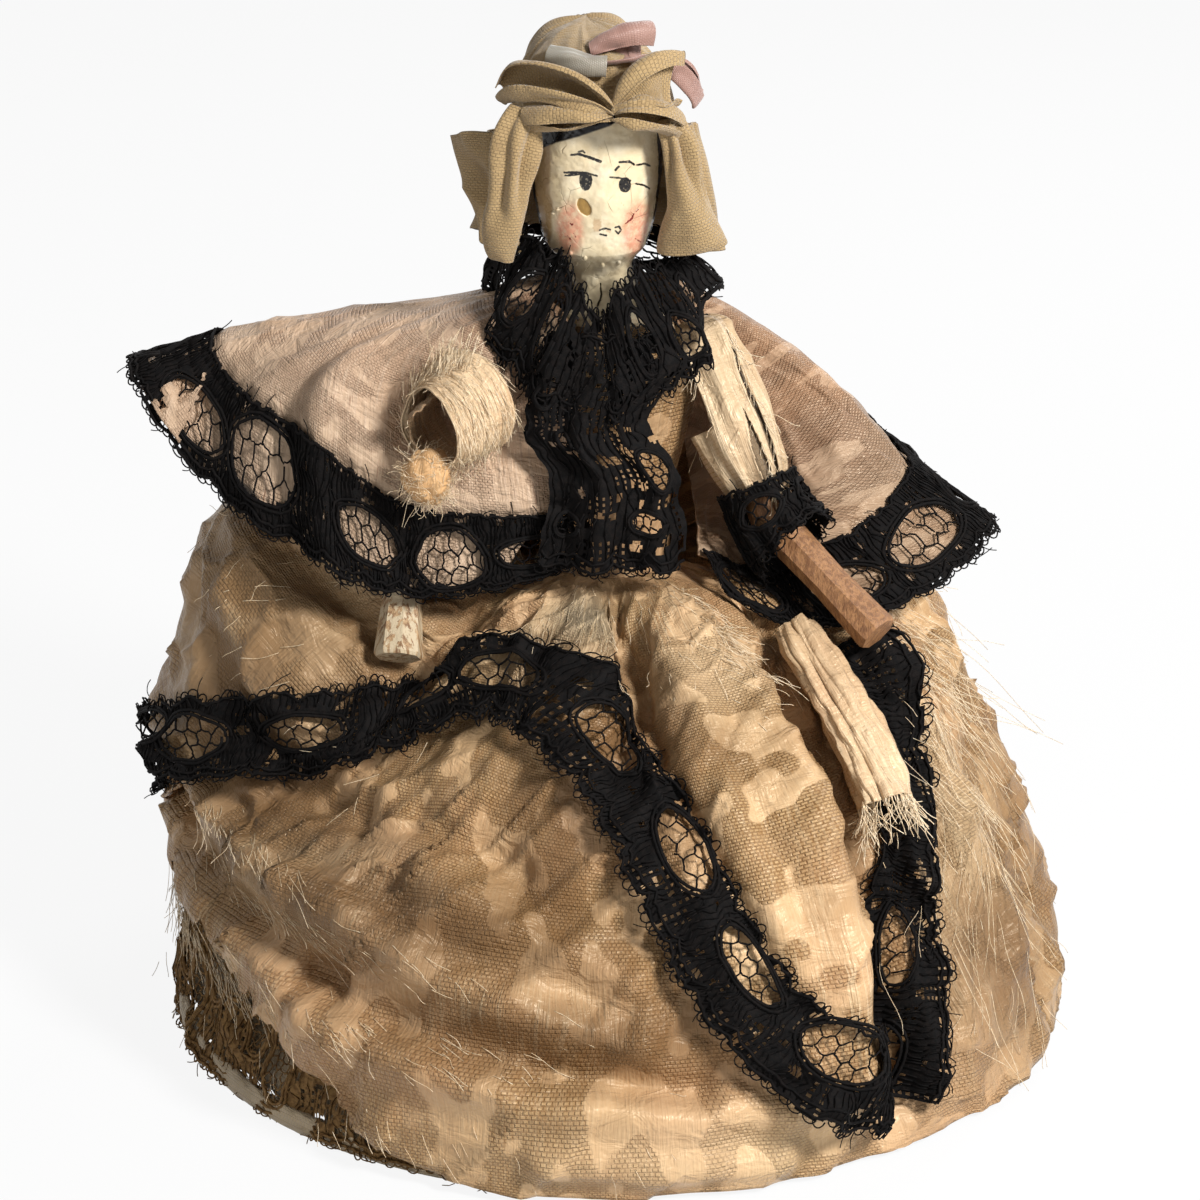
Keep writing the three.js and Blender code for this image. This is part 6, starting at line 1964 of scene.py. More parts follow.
    def roll(self) -> tuple[bpy.types.Object, Patch]:
        """Builds the torn strip of silk that has curled into a roll.

        Returns:
            The piece and its grid.
        """
        centre, axis, up = self.roll_frame()
        forward = np.cross(axis, up)
        u, v = two_ways(shares(240), shares(90))
        angle = self.curl_start - TURN * self.curl_turns * u
        radius = self.curl_radius - self.curl_pitch * self.curl_turns * u
        radius = radius * (1.12 - 0.3 * v) + 0.4 * noise(u * 7, v * 1.6, 82)
        radius = radius + 0.10 * np.sin(34 * v + 3 * noise(u * 4, v, 85)) + 0.12 * noise(
            u * 20, v * 5, 81)
        ragged = 1 + 0.14 * noise(u * 14, v, 83) + 0.2 * noise(u * 4, v, 84)
        along = (v - 0.5) * self.curl_length * ragged + 2.2 * (u - 0.3)
        points = (centre + along[..., None] * axis + (radius * np.cos(angle))[..., None] * up
                  + (radius * np.sin(angle))[..., None] * forward)
        cloth = np.stack([v * 8.5, u * 34], -1)
        marks = {"worn": 0.75, "pale": 0.25 + 0.3 * noise(u * 4, v * 2, 4),
                 "soil_and_shade": 0.7 * smoothstep(0.45, 0.9, u)}
        patch = Patch(points, cloth, marks=marks)
        piece = patch.build("curled_silk", 0.16)
        FINISHES.dress(piece, "satin")
        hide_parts("silk_curl")
        return piece, patch

    def roll_fibres(self, points: Array) -> bpy.types.Object:
        """Builds the loose fibres of the roll and its tuft.

        Args:
            points: The roll's points, round by along by 3.

        Returns:
            The piece.
        """
        centre, axis, up = self.roll_frame()
        rng = np.random.default_rng(9)
        threads = Threads()
        edge = np.where(rng.random(60) < 0.5, 0, -1)
        roots = points[rng.integers(0, 240, 60), edge]
        ways = unit(np.where(edge == 0, -1.0, 1.0)[:, None] * axis
                    + 0.5 * rng.standard_normal((60, 3)))
        threads.add(strands(roots, ways, 0.4 + 1.0 * rng.random(60), 0.2, 10, 0.4), 0.03, 3)
        pick, beside = rng.integers(4, 150, 420), rng.integers(0, 88, 420)
        run = unit(points[pick + 3, beside] - points[pick, beside])
        lift = unit(points[pick, beside] - centre)
        threads.add(strands(points[pick, beside] + 0.12 * lift, run - 0.05 * lift,
                            1.5 + 2.5 * rng.random(420), 0.0, 14, 0.08), 0.028, 3)
        top = centre + 4.8 * up + rng.standard_normal((60, 3)) * [1.1, 0.4, 0.3]
        threads.add(strands(top, unit(np.array([0.2, 0.35, 0.9])
                                      + 0.15 * rng.standard_normal((60, 3))),
                            1.5 + 2.5 * rng.random(60), 0.1, 15, 0.15), 0.03, 3)
        middle = np.array(self.tuft_centre) + [0, 0, SHOULDER_HEIGHT]
        ball = unit(rng.standard_normal((520, 3)))
        threads.add(strands(middle + ball * self.tuft_size,
                            unit(0.35 * ball + 0.8 * rng.standard_normal((520, 3))),
                            0.3 + 0.7 * rng.random(520), 0.1, 16, 0.9), 0.026, 3)
        return FINISHES.dress(threads.build("curl_fibres"), "silk_fibre")

    def tuft(self) -> bpy.types.Object:
        """Builds the tuft of floss that hangs from the roll.

        Returns:
            The piece.
        """
        around, down = 70, 40
        turn, rise = two_ways(turns(around), math.pi * shares(down))
        ring = 2 * np.sin(rise)
        lump = 1 + 0.14 * noise(ring * np.cos(turn) + 5, ring * np.sin(turn) + 2 * rise, 86)
        shape = np.stack([np.sin(rise) * np.cos(turn), np.sin(rise) * np.sin(turn),
                          np.cos(rise)], -1)
        middle = np.array(self.tuft_centre) + [0, 0, SHOULDER_HEIGHT]
        grid = middle + shape * lump[..., None] * self.tuft_size
        patch = Patch(grid, even_cloth(around + 1, down, 0.2, 0.2), closed=True,
                      marks={"worn": 0.6})
        return FINISHES.dress(patch.build("curl_tuft"), "floss")

    def curl(self) -> list[bpy.types.Object]:
        """Builds the curled strip with its fibres and its tuft.

        Returns:
            The strip and what is on it.
        """
        piece, patch = self.roll()
        trimmings = [self.roll_fibres(patch.points), self.tuft()]
        declare(piece, patch, "folded", ["silk_mantle"], trimmings)
        return [piece, *trimmings]

    def build(self) -> None:
        """Builds the cape, its lace and the curled strip."""
        piece, patch = self.cloth()
        lace = self.lace()
        declare(piece, patch, "draped", ["head_and_torso", "upper_arm_right"], [lace])
        for part in (piece, lace, *self.curl()):
            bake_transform(part)


# The bodice from the waist up: share of its height, half width and half depth
CHEST_RINGS = np.array([
    [0, 4.9, 3.915], [0.3, 5.194, 4.005], [0.6, 6.557, 4.5], [0.9, 7.9, 4.5],
    [1.07, 7.663, 4.185], [1.17, 6.32, 3.69],
])
# A sleeve: share of the upper arm's length, and radius as a multiple of the sleeve's
SLEEVE_RINGS = np.array([
    [-0.16, 0.45], [-0.1, 0.86], [0, 0.98], [0.25, 1.02], [0.55, 1.04], [0.8, 0.82], [0.86, 0.74],
])
# The lace front: left and right edge, how far forward, and height over the shoulders
JABOT = np.array([
    [-5.4, 5.3, 8.9, 4.4], [-6.6, 7.6, 9.6, 1.2], [-7.1, 4.9, 10.4, -1.7], [-7.0, 4.0, 11.2, -4.7],
    [-5.2, 6.8, 12.0, -8.3], [-5.6, 7.2, 12.7, -12.4], [-6.4, 7.6, 13.4, -17.0],
])
# The collar from the doll's right round the back to its left: an inner and an outer point
COLLAR = np.array([
    [-0.5, -7.8, 5.0, -2.7, -9.8, -3.3], [-2.3, -7.6, 8.0, -6.3, -9.0, -2.2],
    [-4.0, -6.8, 10.6, -9.0, -7.4, 0.4], [-5.8, -5.2, 11.9, -10.4, -4.8, 2.7],
    [-7.3, -2.5, 11.6, -10.8, 0.0, 3.3], [-6.6, 3.0, 10.8, -9.0, 5.0, 5.0],
    [0, 6.5, 10.2, 0, 8.8, 4.8], [6.5, 3.5, 9.4, 9.2, 4.5, 4.4], [6.8, -2.5, 9.2, 9.6, -0.8, 4.4],
    [5.1, -5.0, 9.8, 9.2, -5.4, 1.6], [3.1, -6.6, 9.3, 7.7, -7.6, -0.9],
    [0.9, -7.4, 7.7, 4.0, -9.0, -1.7], [-0.3, -7.8, 5.0, 0.4, -9.9, -3.8],
])


@dataclass
class Bodice:
    """The silk bodice, its sleeves, and the lace at the neck, front and cuff."""

    armhole_inset: float = 1.7
    armhole_below: float = 5.0
    armhole_above: float = 7.5
    sleeve_radius: float = 3.4
    cuff_length: float = 7.0
    around: int = 240
    down: int = 150

    def body(self) -> None:
        """Builds the bodice."""
        around, down = 200, 90
        u, v = two_ways(turns(around), shares(down))
        ring = spline(CHEST_RINGS, v * (len(CHEST_RINGS) - 1))
        out = 0.7 + 0.45 * (1 - smoothstep(0, 0.25, v))
        pucker = 0.16 * noise(u * 6, v * 2.5, 91) + 0.07 * noise(u * 16, v * 5, 92)
        out = out + pucker * np.sin(np.pi * v)
        points = np.stack([(ring[..., 1] + out) * np.cos(u), (ring[..., 2] + out) * np.sin(u),
                           mix(WAIST_HEIGHT, SHOULDER_HEIGHT, ring[..., 0])], -1)
        keep = np.ones((around, down - 1), bool)
        for arm in (LEFT_ARM, RIGHT_ARM):
            place = points - arm.shoulder
            beside = (place @ arm.shoulder_hinge) * arm.side > -self.armhole_inset
            rise = -(place @ arm.down)
            hole = beside & (rise > -self.armhole_below) & (rise < self.armhole_above)
            keep &= ~hole[:, :-1]
        patch = Patch(points, even_cloth(around + 1, down, 0.2, 0.27), closed=True, keep=keep,
                      marks={"worn": 0.3, "soil_and_shade": 0.25})
        piece = patch.build("silk_bodice", 0.2)
        FINISHES.dress(piece, "gold_silk")
        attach(piece, "root")
        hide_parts("bodice")
        declare(piece, patch, "stretched", ["head_and_torso"])

    @staticmethod
    def split_fibres(patch: Patch, arm: Arm, name: str, seed: int) -> bpy.types.Object:
        """Builds the loose fibres along the splits of a sleeve.

        Args:
            patch: The sleeve's grid.
            arm: The arm in it.
            name: The piece's name.
            seed: Varies them.

        Returns:
            The piece.
        """
        rng = np.random.default_rng(seed)
        count = 170
        edge = np.argwhere(patch.keep[:, 1:-1] & ~np.roll(patch.keep, 1, 0)[:, 1:-1])
        pick = edge[rng.integers(0, len(edge), count)]
        roots = patch.points[pick[:, 0], pick[:, 1] + 1]
        ways = unit(arm.down + 0.35 * rng.standard_normal((count, 3)))
        threads = Threads()
        threads.add(strands(roots, ways, 0.8 + 2.4 * rng.random(count), 0.05, seed, 0.25),
                    0.035, 3)
        return FINISHES.dress(threads.build(name), "silk_fibre")

    def sleeve(self, arm: Arm, name: str, torn: float, seed: int
               ) -> tuple[bpy.types.Object, Patch, list[bpy.types.Object], str]:
        """Builds one sleeve of puffed silk, split along its length where it is torn.

        Args:
            arm: The arm in it.
            name: The piece's name.
            torn: How torn it is, from 0 to 1.
            seed: Varies its folds.

        Returns:
            The sleeve, its grid, its lining and fibres, and the arm's node.
        """
        u, v = two_ways(turns(self.around), shares(self.down))
        ring = spline(SLEEVE_RINGS, v * (len(SLEEVE_RINGS) - 1))
        puff = 0.20 * np.sin(9 * u + 1.2 * np.sin(5 * v)) * np.sin(np.pi * v) ** 0.5
        puff = puff + 0.28 * noise(u * 1.9, v * 3.4, seed) + 0.10 * noise(u * 6, v * 9, seed + 1)
        hoop = 0.22 * crest(u * 1.1 + 3 * v, v * 6, seed + 2)
        radius = self.sleeve_radius * ring[..., 1] + puff + hoop * np.sin(np.pi * v)
        hinge, down = arm.shoulder_hinge, arm.down
        third = np.cross(-down, hinge)
        points = (arm.shoulder + (radius * np.cos(u))[..., None] * hinge
                  + (radius * np.sin(u))[..., None] * third
                  + (UPPER_ARM_LENGTH * ring[..., 0])[..., None] * down)
        flat = noise(u * 5.2 + 0.6 * noise(u * 2, v * 4, seed + 3), v * 0.9, seed + 4)
        taper = np.sin(np.pi * np.clip((v - 0.12) / 0.8, 0, 1)) ** 0.6
        keep = (flat < 0.86 - 0.5 * torn * taper)[:, :-1]
        place = points - arm.shoulder
        inner = ((place @ hinge) * arm.side < -1.3) & (-(place @ down) > -UPPER_ARM_LENGTH * 0.42)
        keep &= ~inner[:, :-1]
        cloth = even_cloth(self.around + 1, self.down, 0.09, 0.12)
        near_slit = smoothstep(0.3, 0.8, flat + 0.5 * torn * taper)
        marks = {"worn": 0.3 + 0.7 * torn * near_slit, "pale": 0.35 * near_slit * torn,
                 "grey": 0.25 * torn, "soil_and_shade": 0.35 * smoothstep(0.35, 0, v)}
        patch = Patch(points, cloth, closed=True, keep=keep, marks=marks)
        piece = patch.build(name, 0.14)
        FINISHES.dress(piece, "satin" if arm.side > 0 else "gold_silk")
        lining = Patch(points - 0.45 * (points - arm.shoulder - (place @ down)[..., None] * down)
                       / radius[..., None], cloth, closed=True, keep=~inner[:, :-1],
                       marks={"soil_and_shade": 0.9}).build(name + "_lining")
        FINISHES.dress(lining, "linen")
        fibres = self.split_fibres(patch, arm, name + "_fibres", seed)
        body = "arm_upper_left" if arm.side > 0 else "arm_upper_right"
        for part in (piece, lining, fibres):
            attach(part, body)
        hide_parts("sleeve_left" if arm.side > 0 else "sleeve_right")
        arm_node = "upper_arm_left" if arm.side > 0 else "upper_arm_right"
        return piece, patch, [lining, fibres], arm_node

    def cuff(self) -> bpy.types.Object:
        """Builds the lace cuff, bent round the elbow.

        Returns:
            The piece.
        """
        arm = LEFT_ARM
        start = arm.elbow - arm.down * self.cuff_length * 0.55
        end = arm.elbow + arm.lower * self.cuff_length * 0.5
        t = shares(34)
        centre = ((1 - t)**2)[:, None] * start + (2 * t * (1 - t))[:, None] * arm.elbow + (
            t**2)[:, None] * end
        along = unit(np.gradient(centre, axis=0))
        up = unit(np.cross(arm.elbow_hinge, along))
        turn = np.linspace(0, TURN, 260)[:, None]
        radius = (self.sleeve_radius * 0.8 + 0.98) * (1 + 0.14 * t)[None]
        ruffle = 0.3 * np.sin(11 * turn) * t + 0.14 * noise(turn * 5, t * 3, 95)
        radius = radius + ruffle
        points = (centre[None] + (radius * np.cos(turn))[..., None] * arm.elbow_hinge
                  + (radius * np.sin(turn))[..., None] * up[None])
        ribbon = Ribbon(points)
        windows = even_windows(ribbon.length, ribbon.width, 3.0, 6.4, 1.9, 96)
        piece = Lace("black_lace_cuff", ribbon, windows, scallop=3.2, seed=97, mesh=0.8).build()
        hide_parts("cuff_lace")
        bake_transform(piece)
        return piece

    def jabot(self) -> tuple[bpy.types.Object, Patch]:
        """Builds the crumpled lace down the front of the bodice.

        Returns:
            The piece and its grid.
        """
        u, v = np.broadcast_arrays(np.linspace(0, 1, 260)[:, None], shares(200)[None])
        left, right, reach, height = np.moveaxis(spline(JABOT, v * (len(JABOT) - 1)), -1, 0)
        side = 2 * u - 1
        ruffle = 0.55 * np.sin(8 * side + 1.5 * noise(v * 3, side, 100))
        ruffle = ruffle + 0.6 * noise(side * 3.4 + v, v * 2.6, 101)
        ruffle = ruffle + 0.4 * crest(side * 4, v * 7, 102)
        ragged = 0.5 * noise(v * 9, side * 0.6, 103) + 0.3 * noise(v * 23, side * 0.6, 104)
        points = np.stack([mix(left, right, u) + side * ragged,
                           -reach + 1.5 * side * side + ruffle * (0.35 + 0.65 * v),
                           SHOULDER_HEIGHT + height], -1)
        ribbon = Ribbon(points)
        windows = [(2.0, 7.0, 1.0, 1.3), (12.2, 15.2, 1.3, 1.8), (10.6, 19.8, 1.7, 0.9),
                   (4.2, 12.2, 0.7, 0.9), (2.4, 20.2, 1.2, 0.8)]
        piece = Lace("black_lace_jabot", ribbon, windows, upper=Edge.SCALLOPED, seed=105,
                     airy=0.42, fray=2, scallop=3.6, mesh=0.5, cell=0.26, pinholes=5,
                     rib=0.85).build()
        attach(piece, "root")
        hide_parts("jabot_lace")
        return piece, Patch(points, np.zeros(points.shape[:2] + (2,)))

    def collar(self) -> bpy.types.Object:
        """Builds the standing lace collar that runs down to a point in front.

        Returns:
            The piece.
        """
        u, v = np.broadcast_arrays(np.linspace(1, 0, 520)[:, None],
                                   np.linspace(-0.06, 1.0, 34)[None])
        read = spline(COLLAR, u * (len(COLLAR) - 1))
        points = mix(read[..., :3], read[..., 3:], v[..., None])
        out = unit(points * [1, 1, 0])
        wave = 0.5 * np.sin(34 * u) * (0.3 + v) + 0.7 * noise(u * 26, v * 1.6, 111)
        bulge = 0.9 * np.sin(np.pi * np.clip(v, 0, 1))
        points = points + out * (wave + bulge)[..., None]
        points[..., 2] += SHOULDER_HEIGHT + 0.5 * noise(u * 30, v * 2, 112)
        ribbon = Ribbon(points)
        windows = even_windows(ribbon.length, ribbon.width, 5.5, 6.6, 2.0, 113)
        piece = Lace("black_lace_collar", ribbon, windows, upper=Edge.SCALLOPED, scallop=3.4,
                     seed=114, mesh=0.6, fray=1.5, airy=0.45, cell=0.28, pinholes=5,
                     rib=0.85).build()
        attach(piece, "root")
        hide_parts("collar_lace")
        return piece

    def build(self) -> None:
        """Builds the bodice, sleeves and lace."""
        self.body()
        front, patch = self.jabot()
        declare(front, patch, "gathered", ["silk_bodice"], [self.collar()])
        for arm, name, torn, seed in ((LEFT_ARM, "silk_sleeve_left", 1.0, 120),
                                      (RIGHT_ARM, "silk_sleeve_right", 0.5, 130)):
            piece, patch, extras, node = self.sleeve(arm, name, torn, seed)
            declare(piece, patch, "gathered", [node],
                    [*extras, self.cuff()] if arm is LEFT_ARM else extras)


# Bonnet


@dataclass(frozen=True)
class Fold:
    """A soft fold of cloth or ribbon swept along a path, open along one side."""

    name: str
    node: str
    cloth: str
    path: tuple[tuple[float, float, float], ...]
    wide: tuple[float, ...]
    deep: tuple[float, ...]
    arc: tuple[float, float]
    crease: float = 0.24
    thickness: float = 0.12
    up: tuple[float, float, float] = (0.03, 0.02, 1.0)


# Paths are measured from the middle of the head's top
FOLDS = [
    Fold("frill_upper", "bonnet_frill", "bonnet_silk",
         ((0.7, -9.2, -1.3), (-1.3, -9.3, 0.1), (-4.1, -8.6, 0.9), (-7.3, -7.0, 0.8),
          (-9.2, -5.2, -0.9)),
         (0.35, 1.15, 1.75, 1.85, 0.9), (0.4, 1.0, 1.3, 1.3, 0.6), (-0.55, 4.75)),
    Fold("frill_lower", "bonnet_frill", "bonnet_silk",
         ((0.7, -9.3, -1.5), (-1.8, -9.4, -1.6), (-4.3, -9.0, -1.9), (-6.9, -7.5, -2.4)),
         (0.35, 0.8, 0.95, 0.9), (0.4, 0.9, 1.0, 0.7), (-1.75, 3.95)),
    Fold("frill_right", "bonnet_frill", "bonnet_silk",
         ((0.7, -9.3, -1.5), (2.4, -9.7, -1.1), (4.4, -9.0, -1.7), (6.3, -6.8, -3.3)),
         (0.35, 1.25, 1.5, 1.2), (0.4, 1.1, 1.2, 0.9), (1.85, 7.6)),
    Fold("lappet_right", "bonnet_curtain", "bonnet_silk",
         ((-6.9, -6.9, -1.6), (-7.9, -7.6, -4.6), (-8.6, -7.6, -8.4), (-8.9, -7.2, -12.0),
          (-9.2, -6.6, -15.4)),
         (1.2, 1.5, 1.4, 1.2, 0.8), (1.1, 1.75, 1.65, 1.6, 1.0), (-2.5, 2.3), 0.34, 0.14,
         (0.0, -1.0, 0.02)),
    Fold("lappet_left", "bonnet_curtain", "bonnet_silk",
         ((5.4, -6.4, -2.4), (6.2, -6.6, -5.2), (6.7, -6.4, -8.6), (7.3, -5.8, -12.0),
          (7.7, -5.2, -14.9)),
         (1.0, 1.2, 1.2, 1.5, 1.3), (0.9, 1.3, 1.4, 2.1, 3.0), (-2.3, 2.4), 0.3, 0.14,
         (0.0, -1.0, 0.02)),
    Fold("frill_loop", "bonnet_loop", "bonnet_silk",
         ((0.7, -9.2, -1.2), (2.2, -9.3, 0.1), (3.9, -8.8, 1.2), (5.5, -7.6, 1.5),
          (6.5, -6.6, 1.2)),
         (0.3, 1.25, 2.1, 2.5, 2.4), (0.4, 1.0, 1.25, 1.2, 0.9), (2.3, 7.1)),
    Fold("ribbon_loop", "pink_ribbon_bow", "pink_ribbon",
         ((-1.2, -5.7, 3.1), (0.7, -5.8, 3.6), (2.3, -5.5, 4.0), (3.7, -4.5, 3.7)),
         (1.0, 1.4, 1.75, 1.9), (0.8, 1.0, 1.1, 1.1), (2.0, 7.9), 0.16, 0.08),
    Fold("ribbon_roll", "blue_ribbon_roll", "blue_ribbon",
         ((-5.0, -5.9, 3.0), (-3.2, -6.7, 2.7), (-1.3, -7.3, 2.4), (0.1, -7.3, 2.3)),
         (0.8, 0.95, 0.9, 0.95), (0.7, 0.8, 0.75, 0.7), (-0.8, 5.9), 0.08, 0.08),
    Fold("ribbon_end", "pink_ribbon_end", "pink_ribbon",
         ((4.9, -3.0, 1.5), (6.5, -3.0, 1.0), (7.7, -2.4, -0.6), (8.3, -1.4, -2.3)),
         (0.7, 1.2, 1.2, 1.2), (0.3, 0.35, 0.3, 0.3), (1.2, 6.6), 0.07, 0.08),
]
# The curtain: degrees from the front, then radius and height of its upper and lower edge
CURTAIN = np.array([
    [-56, 8.8, -4.2, 8.4, -15.0], [-66, 11.0, -4.6, 8.8, -16.6], [-74, 12.7, -4.8, 9.8, -16.8],
    [-84, 13.2, -5.8, 10.9, -14.6], [-98, 11.6, -6.4, 11.2, -15.2], [-120, 9.6, -6.8, 11.8, -17.4],
    [-180, 9.2, -8.0, 12.0, -18.8], [-240, 8.6, -6.8, 10.8, -18.4], [-262, 8.0, -5.6, 9.9, -17.6],
    [-280, 7.7, -4.6, 9.9, -16.8], [-292, 7.6, -4.4, 9.8, -15.2], [-304, 7.5, -4.6, 9.0, -13.6],
])


def swept(path: Array, steps: int, sides: int, wide: Array, deep: Array,
          arc: tuple[float, float], up: tuple[float, float, float]) -> Array:
    """An open channel round a path.

    Args:
        path: Points of the path.
        steps: Points along it.
        sides: Points round it.
        wide: Half width at each point, or one for all.
        deep: Half depth, likewise.
        arc: Where round the section it starts and ends.
        up: The direction that the section's start leans to.

    Returns:
        Points, round by along by 3.
    """
    middle = spline(path, shares(steps) * (len(path) - 1))
    along = unit(np.gradient(middle, axis=0))
    side = unit(np.cross(along, np.array(up)))
    over = np.cross(side, along)
    turn = np.linspace(*arc, sides)[:, None]
    return (middle[None] + (wide * np.cos(turn))[..., None] * over
            + (deep * np.sin(turn))[..., None] * side)


@dataclass
class Bonnet:
    """The bonnet of gathered cloth with its frill, curtain and ribbons."""

    height: float = 11.0
    half_width: float = 7.4
    tilt: float = 0.7
    lean: float = 0.5
    above_head: float = 4.7
    aside: float = -1.2
    back: float = 0.3
    thickness: float = 0.2

    @staticmethod
    def make(patch: Patch, name: str, cloth: str, node: str, thickness: float
             ) -> bpy.types.Object:
        """Makes and dresses one piece that stands for a solid.

        Args:
            patch: The piece's grid.
            name: Its name.
            cloth: Its finish.
            node: The solid that it stands for.
            thickness: Its thickness in millimetres.

        Returns:
            The piece.
        """
        piece = patch.build(name, thickness)
        FINISHES.dress(piece, cloth)
        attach(piece, "root")
        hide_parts(node)
        return piece

    @staticmethod
    def cloth_of(grid: Array, closed: bool) -> Array:
        """Cloth coordinates along a grid, in millimetres.

        Args:
            grid: The points.
            closed: Whether they close on themselves.

        Returns:
            Coordinates in millimetres.
        """
        if closed:
            grid = np.concatenate([grid, grid[:1]])
        return np.stack([run_lengths(grid, 0).mean(1)[:, None] + 0 * grid[..., 0],
                         run_lengths(grid, 1).mean(0)[None] + 0 * grid[..., 0]], -1)

    def crown(self, trimmings: list[bpy.types.Object]) -> None:
        """Builds the puffed crown, gathered at its foot.

        Args:
            trimmings: The loops and ribbons on it.
        """
        around, down = 260, 110
        turn = turns(around)[:, None]
        s = shares(down)[None]
        rise = 0.5 * math.pi * s
        ring = 2.2 * np.cos(turn), 2.2 * np.sin(turn)
        gather = 0.25 * np.sin(23 * turn + 2.5 * noise(ring[0] * 2, ring[1] * 2 + s, 141))
        puff = gather * (1 - s) ** 2 + 0.4 * noise(ring[0], ring[1] + 2.2 * s, 143)
        puff = puff + 0.18 * crest(ring[0] * 1.4 + s, ring[1] * 1.4 + 3 * s, 144)
        radius = (self.half_width + puff - 0.2) * np.cos(rise * (0.97 + 0.03 * s**8)) ** 0.8
        height = (self.height + 0.6 * puff) * np.sin(rise)
        x, y = radius * np.cos(turn), radius * np.sin(turn)
        z = HEAD_TOP + self.above_head - self.height + height - self.tilt * y * np.cos(rise) ** 2
        points = np.stack([x + self.aside - self.lean * np.sin(rise), y + self.back, z], -1)
        patch = Patch(points, self.cloth_of(points, True), closed=True)
        piece = self.make(patch, "bonnet_crown_cloth", "bonnet_silk", "bonnet_crown",
                          self.thickness)
        declare(piece, patch, "gathered", ["head_and_torso"], trimmings)

    def fold(self, fold: Fold, seed: int) -> tuple[bpy.types.Object, Patch]:
        """Builds one fold of the frill or of a ribbon.

        Args:
            fold: The fold.
            seed: Varies its creases.

        Returns:
            The piece and its grid.
        """
        steps, sides = 130, 90
        t = shares(steps)[None]
        turn = shares(sides)[:, None]
        size = [spline(np.array(v), t[0] * (len(v) - 1))[None] for v in (fold.wide, fold.deep)]
        fan = np.sin(np.pi * np.clip(t * 1.5, 0, 1)) ** 0.7
        ridge = np.sin(26 * turn + 3 * noise(t * 2, turn * 3, seed)) * fan
        ridge = ridge + 1.6 * noise(t * 3.5, turn * 5, seed + 1)
        rough = fold.crease * ridge
        hem = 1 - 0.3 * smoothstep(0.84, 1.0, turn) + 0.16 * smoothstep(0.16, 0.0, turn)
        points = swept(np.array(fold.path) + [0, 0, HEAD_TOP], steps, sides,
                       size[0] * hem + rough, size[1] * hem + rough, fold.arc, fold.up)
        patch = Patch(points, self.cloth_of(points, False))
        return self.make(patch, fold.name, fold.cloth, fold.node, fold.thickness), patch

    def curtain(self, lappets: list[bpy.types.Object]) -> None:
        """Builds the curtain that hangs round the head behind its lappets.

        Args:
            lappets: Its two lappets.
        """
        u, v = two_ways(shares(460), shares(90))
        read = spline(CURTAIN, u * (len(CURTAIN) - 1))
        sway = 0.7 * np.sin(52 * u + 1.6 * v + 1.5 * noise(u * 7, v, 160))
        crease = 0.5 * noise(u * 17, v * 1.8, 162) + 0.35 * crest(u * 14 + v, v * 2.6, 163)
        radius = mix(read[..., 1], read[..., 3], v) + (0.35 + 0.65 * v) * sway + crease
        behind = smoothstep(-102, -118, read[..., 0]) * smoothstep(-268, -254, read[..., 0])
        tuck = behind * smoothstep(0.14, 0.0, v)
        radius = mix(radius, self.half_width - 0.1 + 0.3 * np.sin(60 * u), tuck)
        angle = np.radians(read[..., 0] + 2.6 * noise(u * 14, v * 2, 164) * v)
        edge = 0.5 * noise(u * 16, 0, 165)
        height = HEAD_TOP + mix(read[..., 2], read[..., 4] + edge, v) + 0.5 * tuck
        points = np.stack([radius * np.sin(angle), 0.5 - radius * np.cos(angle), height], -1)
        patch = Patch(points, self.cloth_of(points, False))
        piece = self.make(patch, "bonnet_curtain_cloth", "bonnet_silk", "bonnet_curtain",
                          self.thickness)
        declare(piece, patch, "gathered", ["bonnet_crown_cloth"], lappets)

    def build(self) -> None:
        """Builds the bonnet."""
        pieces = [self.fold(fold, 150 + 3 * k) for k, fold in enumerate(FOLDS)]
        self.crown([piece for piece, _ in pieces[5:]])
        declare(*pieces[0], "gathered", ["bonnet_crown_cloth"], [p for p, _ in pieces[1:3]])
        self.curtain([piece for piece, _ in pieces[3:5]])


# Head


# The head and neck: share of the height from the chin, half width and half depth as shares
HEAD_RINGS = np.array([
    [-0.36, 0.76, 0.58], [-0.27, 0.68, 0.535], [-0.195, 0.545, 0.49], [-0.035, 0.545, 0.49],
    [0.03, 0.6, 0.6], [0.12, 0.8, 0.84], [0.3, 0.93, 0.96], [0.5, 1, 1], [0.7, 0.98, 0.99],
    [0.86, 0.84, 0.86], [0.96, 0.56, 0.6], [1, 0.0, 0.0],
])
# Painted marks, in millimetres across and up from the middle of the face as the camera sees it.
# Strokes are points and half widths, spots are middles, half sizes and weights.
BROWS = [[(-3.25, 4.7, 0.03), (-2.4, 4.8, 0.08), (-1.7, 4.55, 0.08), (-0.45, 4.1, 0.09)],
         [(-2.5, 5.0, 0.02), (-2.1, 5.1, 0.05), (-1.9, 4.9, 0.02)],
         [(1.35, 4.0, 0.04), (2.3, 4.1, 0.07), (2.75, 3.8, 0.05)],
         [(3.0, 3.75, 0.03), (3.7, 3.9, 0.06), (4.5, 3.6, 0.03)],
         [(1.0, 3.3, 0.06), (1.3, 3.6, 0.05)]]
LIDS = [[(-3.85, 3.05, 0.04), (-2.9, 3.02, 0.09), (-1.9, 2.95, 0.08), (-0.75, 2.72, 0.04)],
        [(-3.75, 2.75, 0.02), (-3.1, 2.8, 0.06), (-2.3, 2.85, 0.03)],
        [(0.45, 2.62, 0.02), (1.3, 2.52, 0.045), (2.0, 2.4, 0.05), (2.5, 2.25, 0.02)],
        [(3.0, 1.98, 0.03), (3.7, 1.85, 0.05), (4.7, 1.25, 0.025)]]
EYES = [(-1.84, 2.3, 0.58, 0.88), (1.93, 1.85, 0.54, 0.66)]
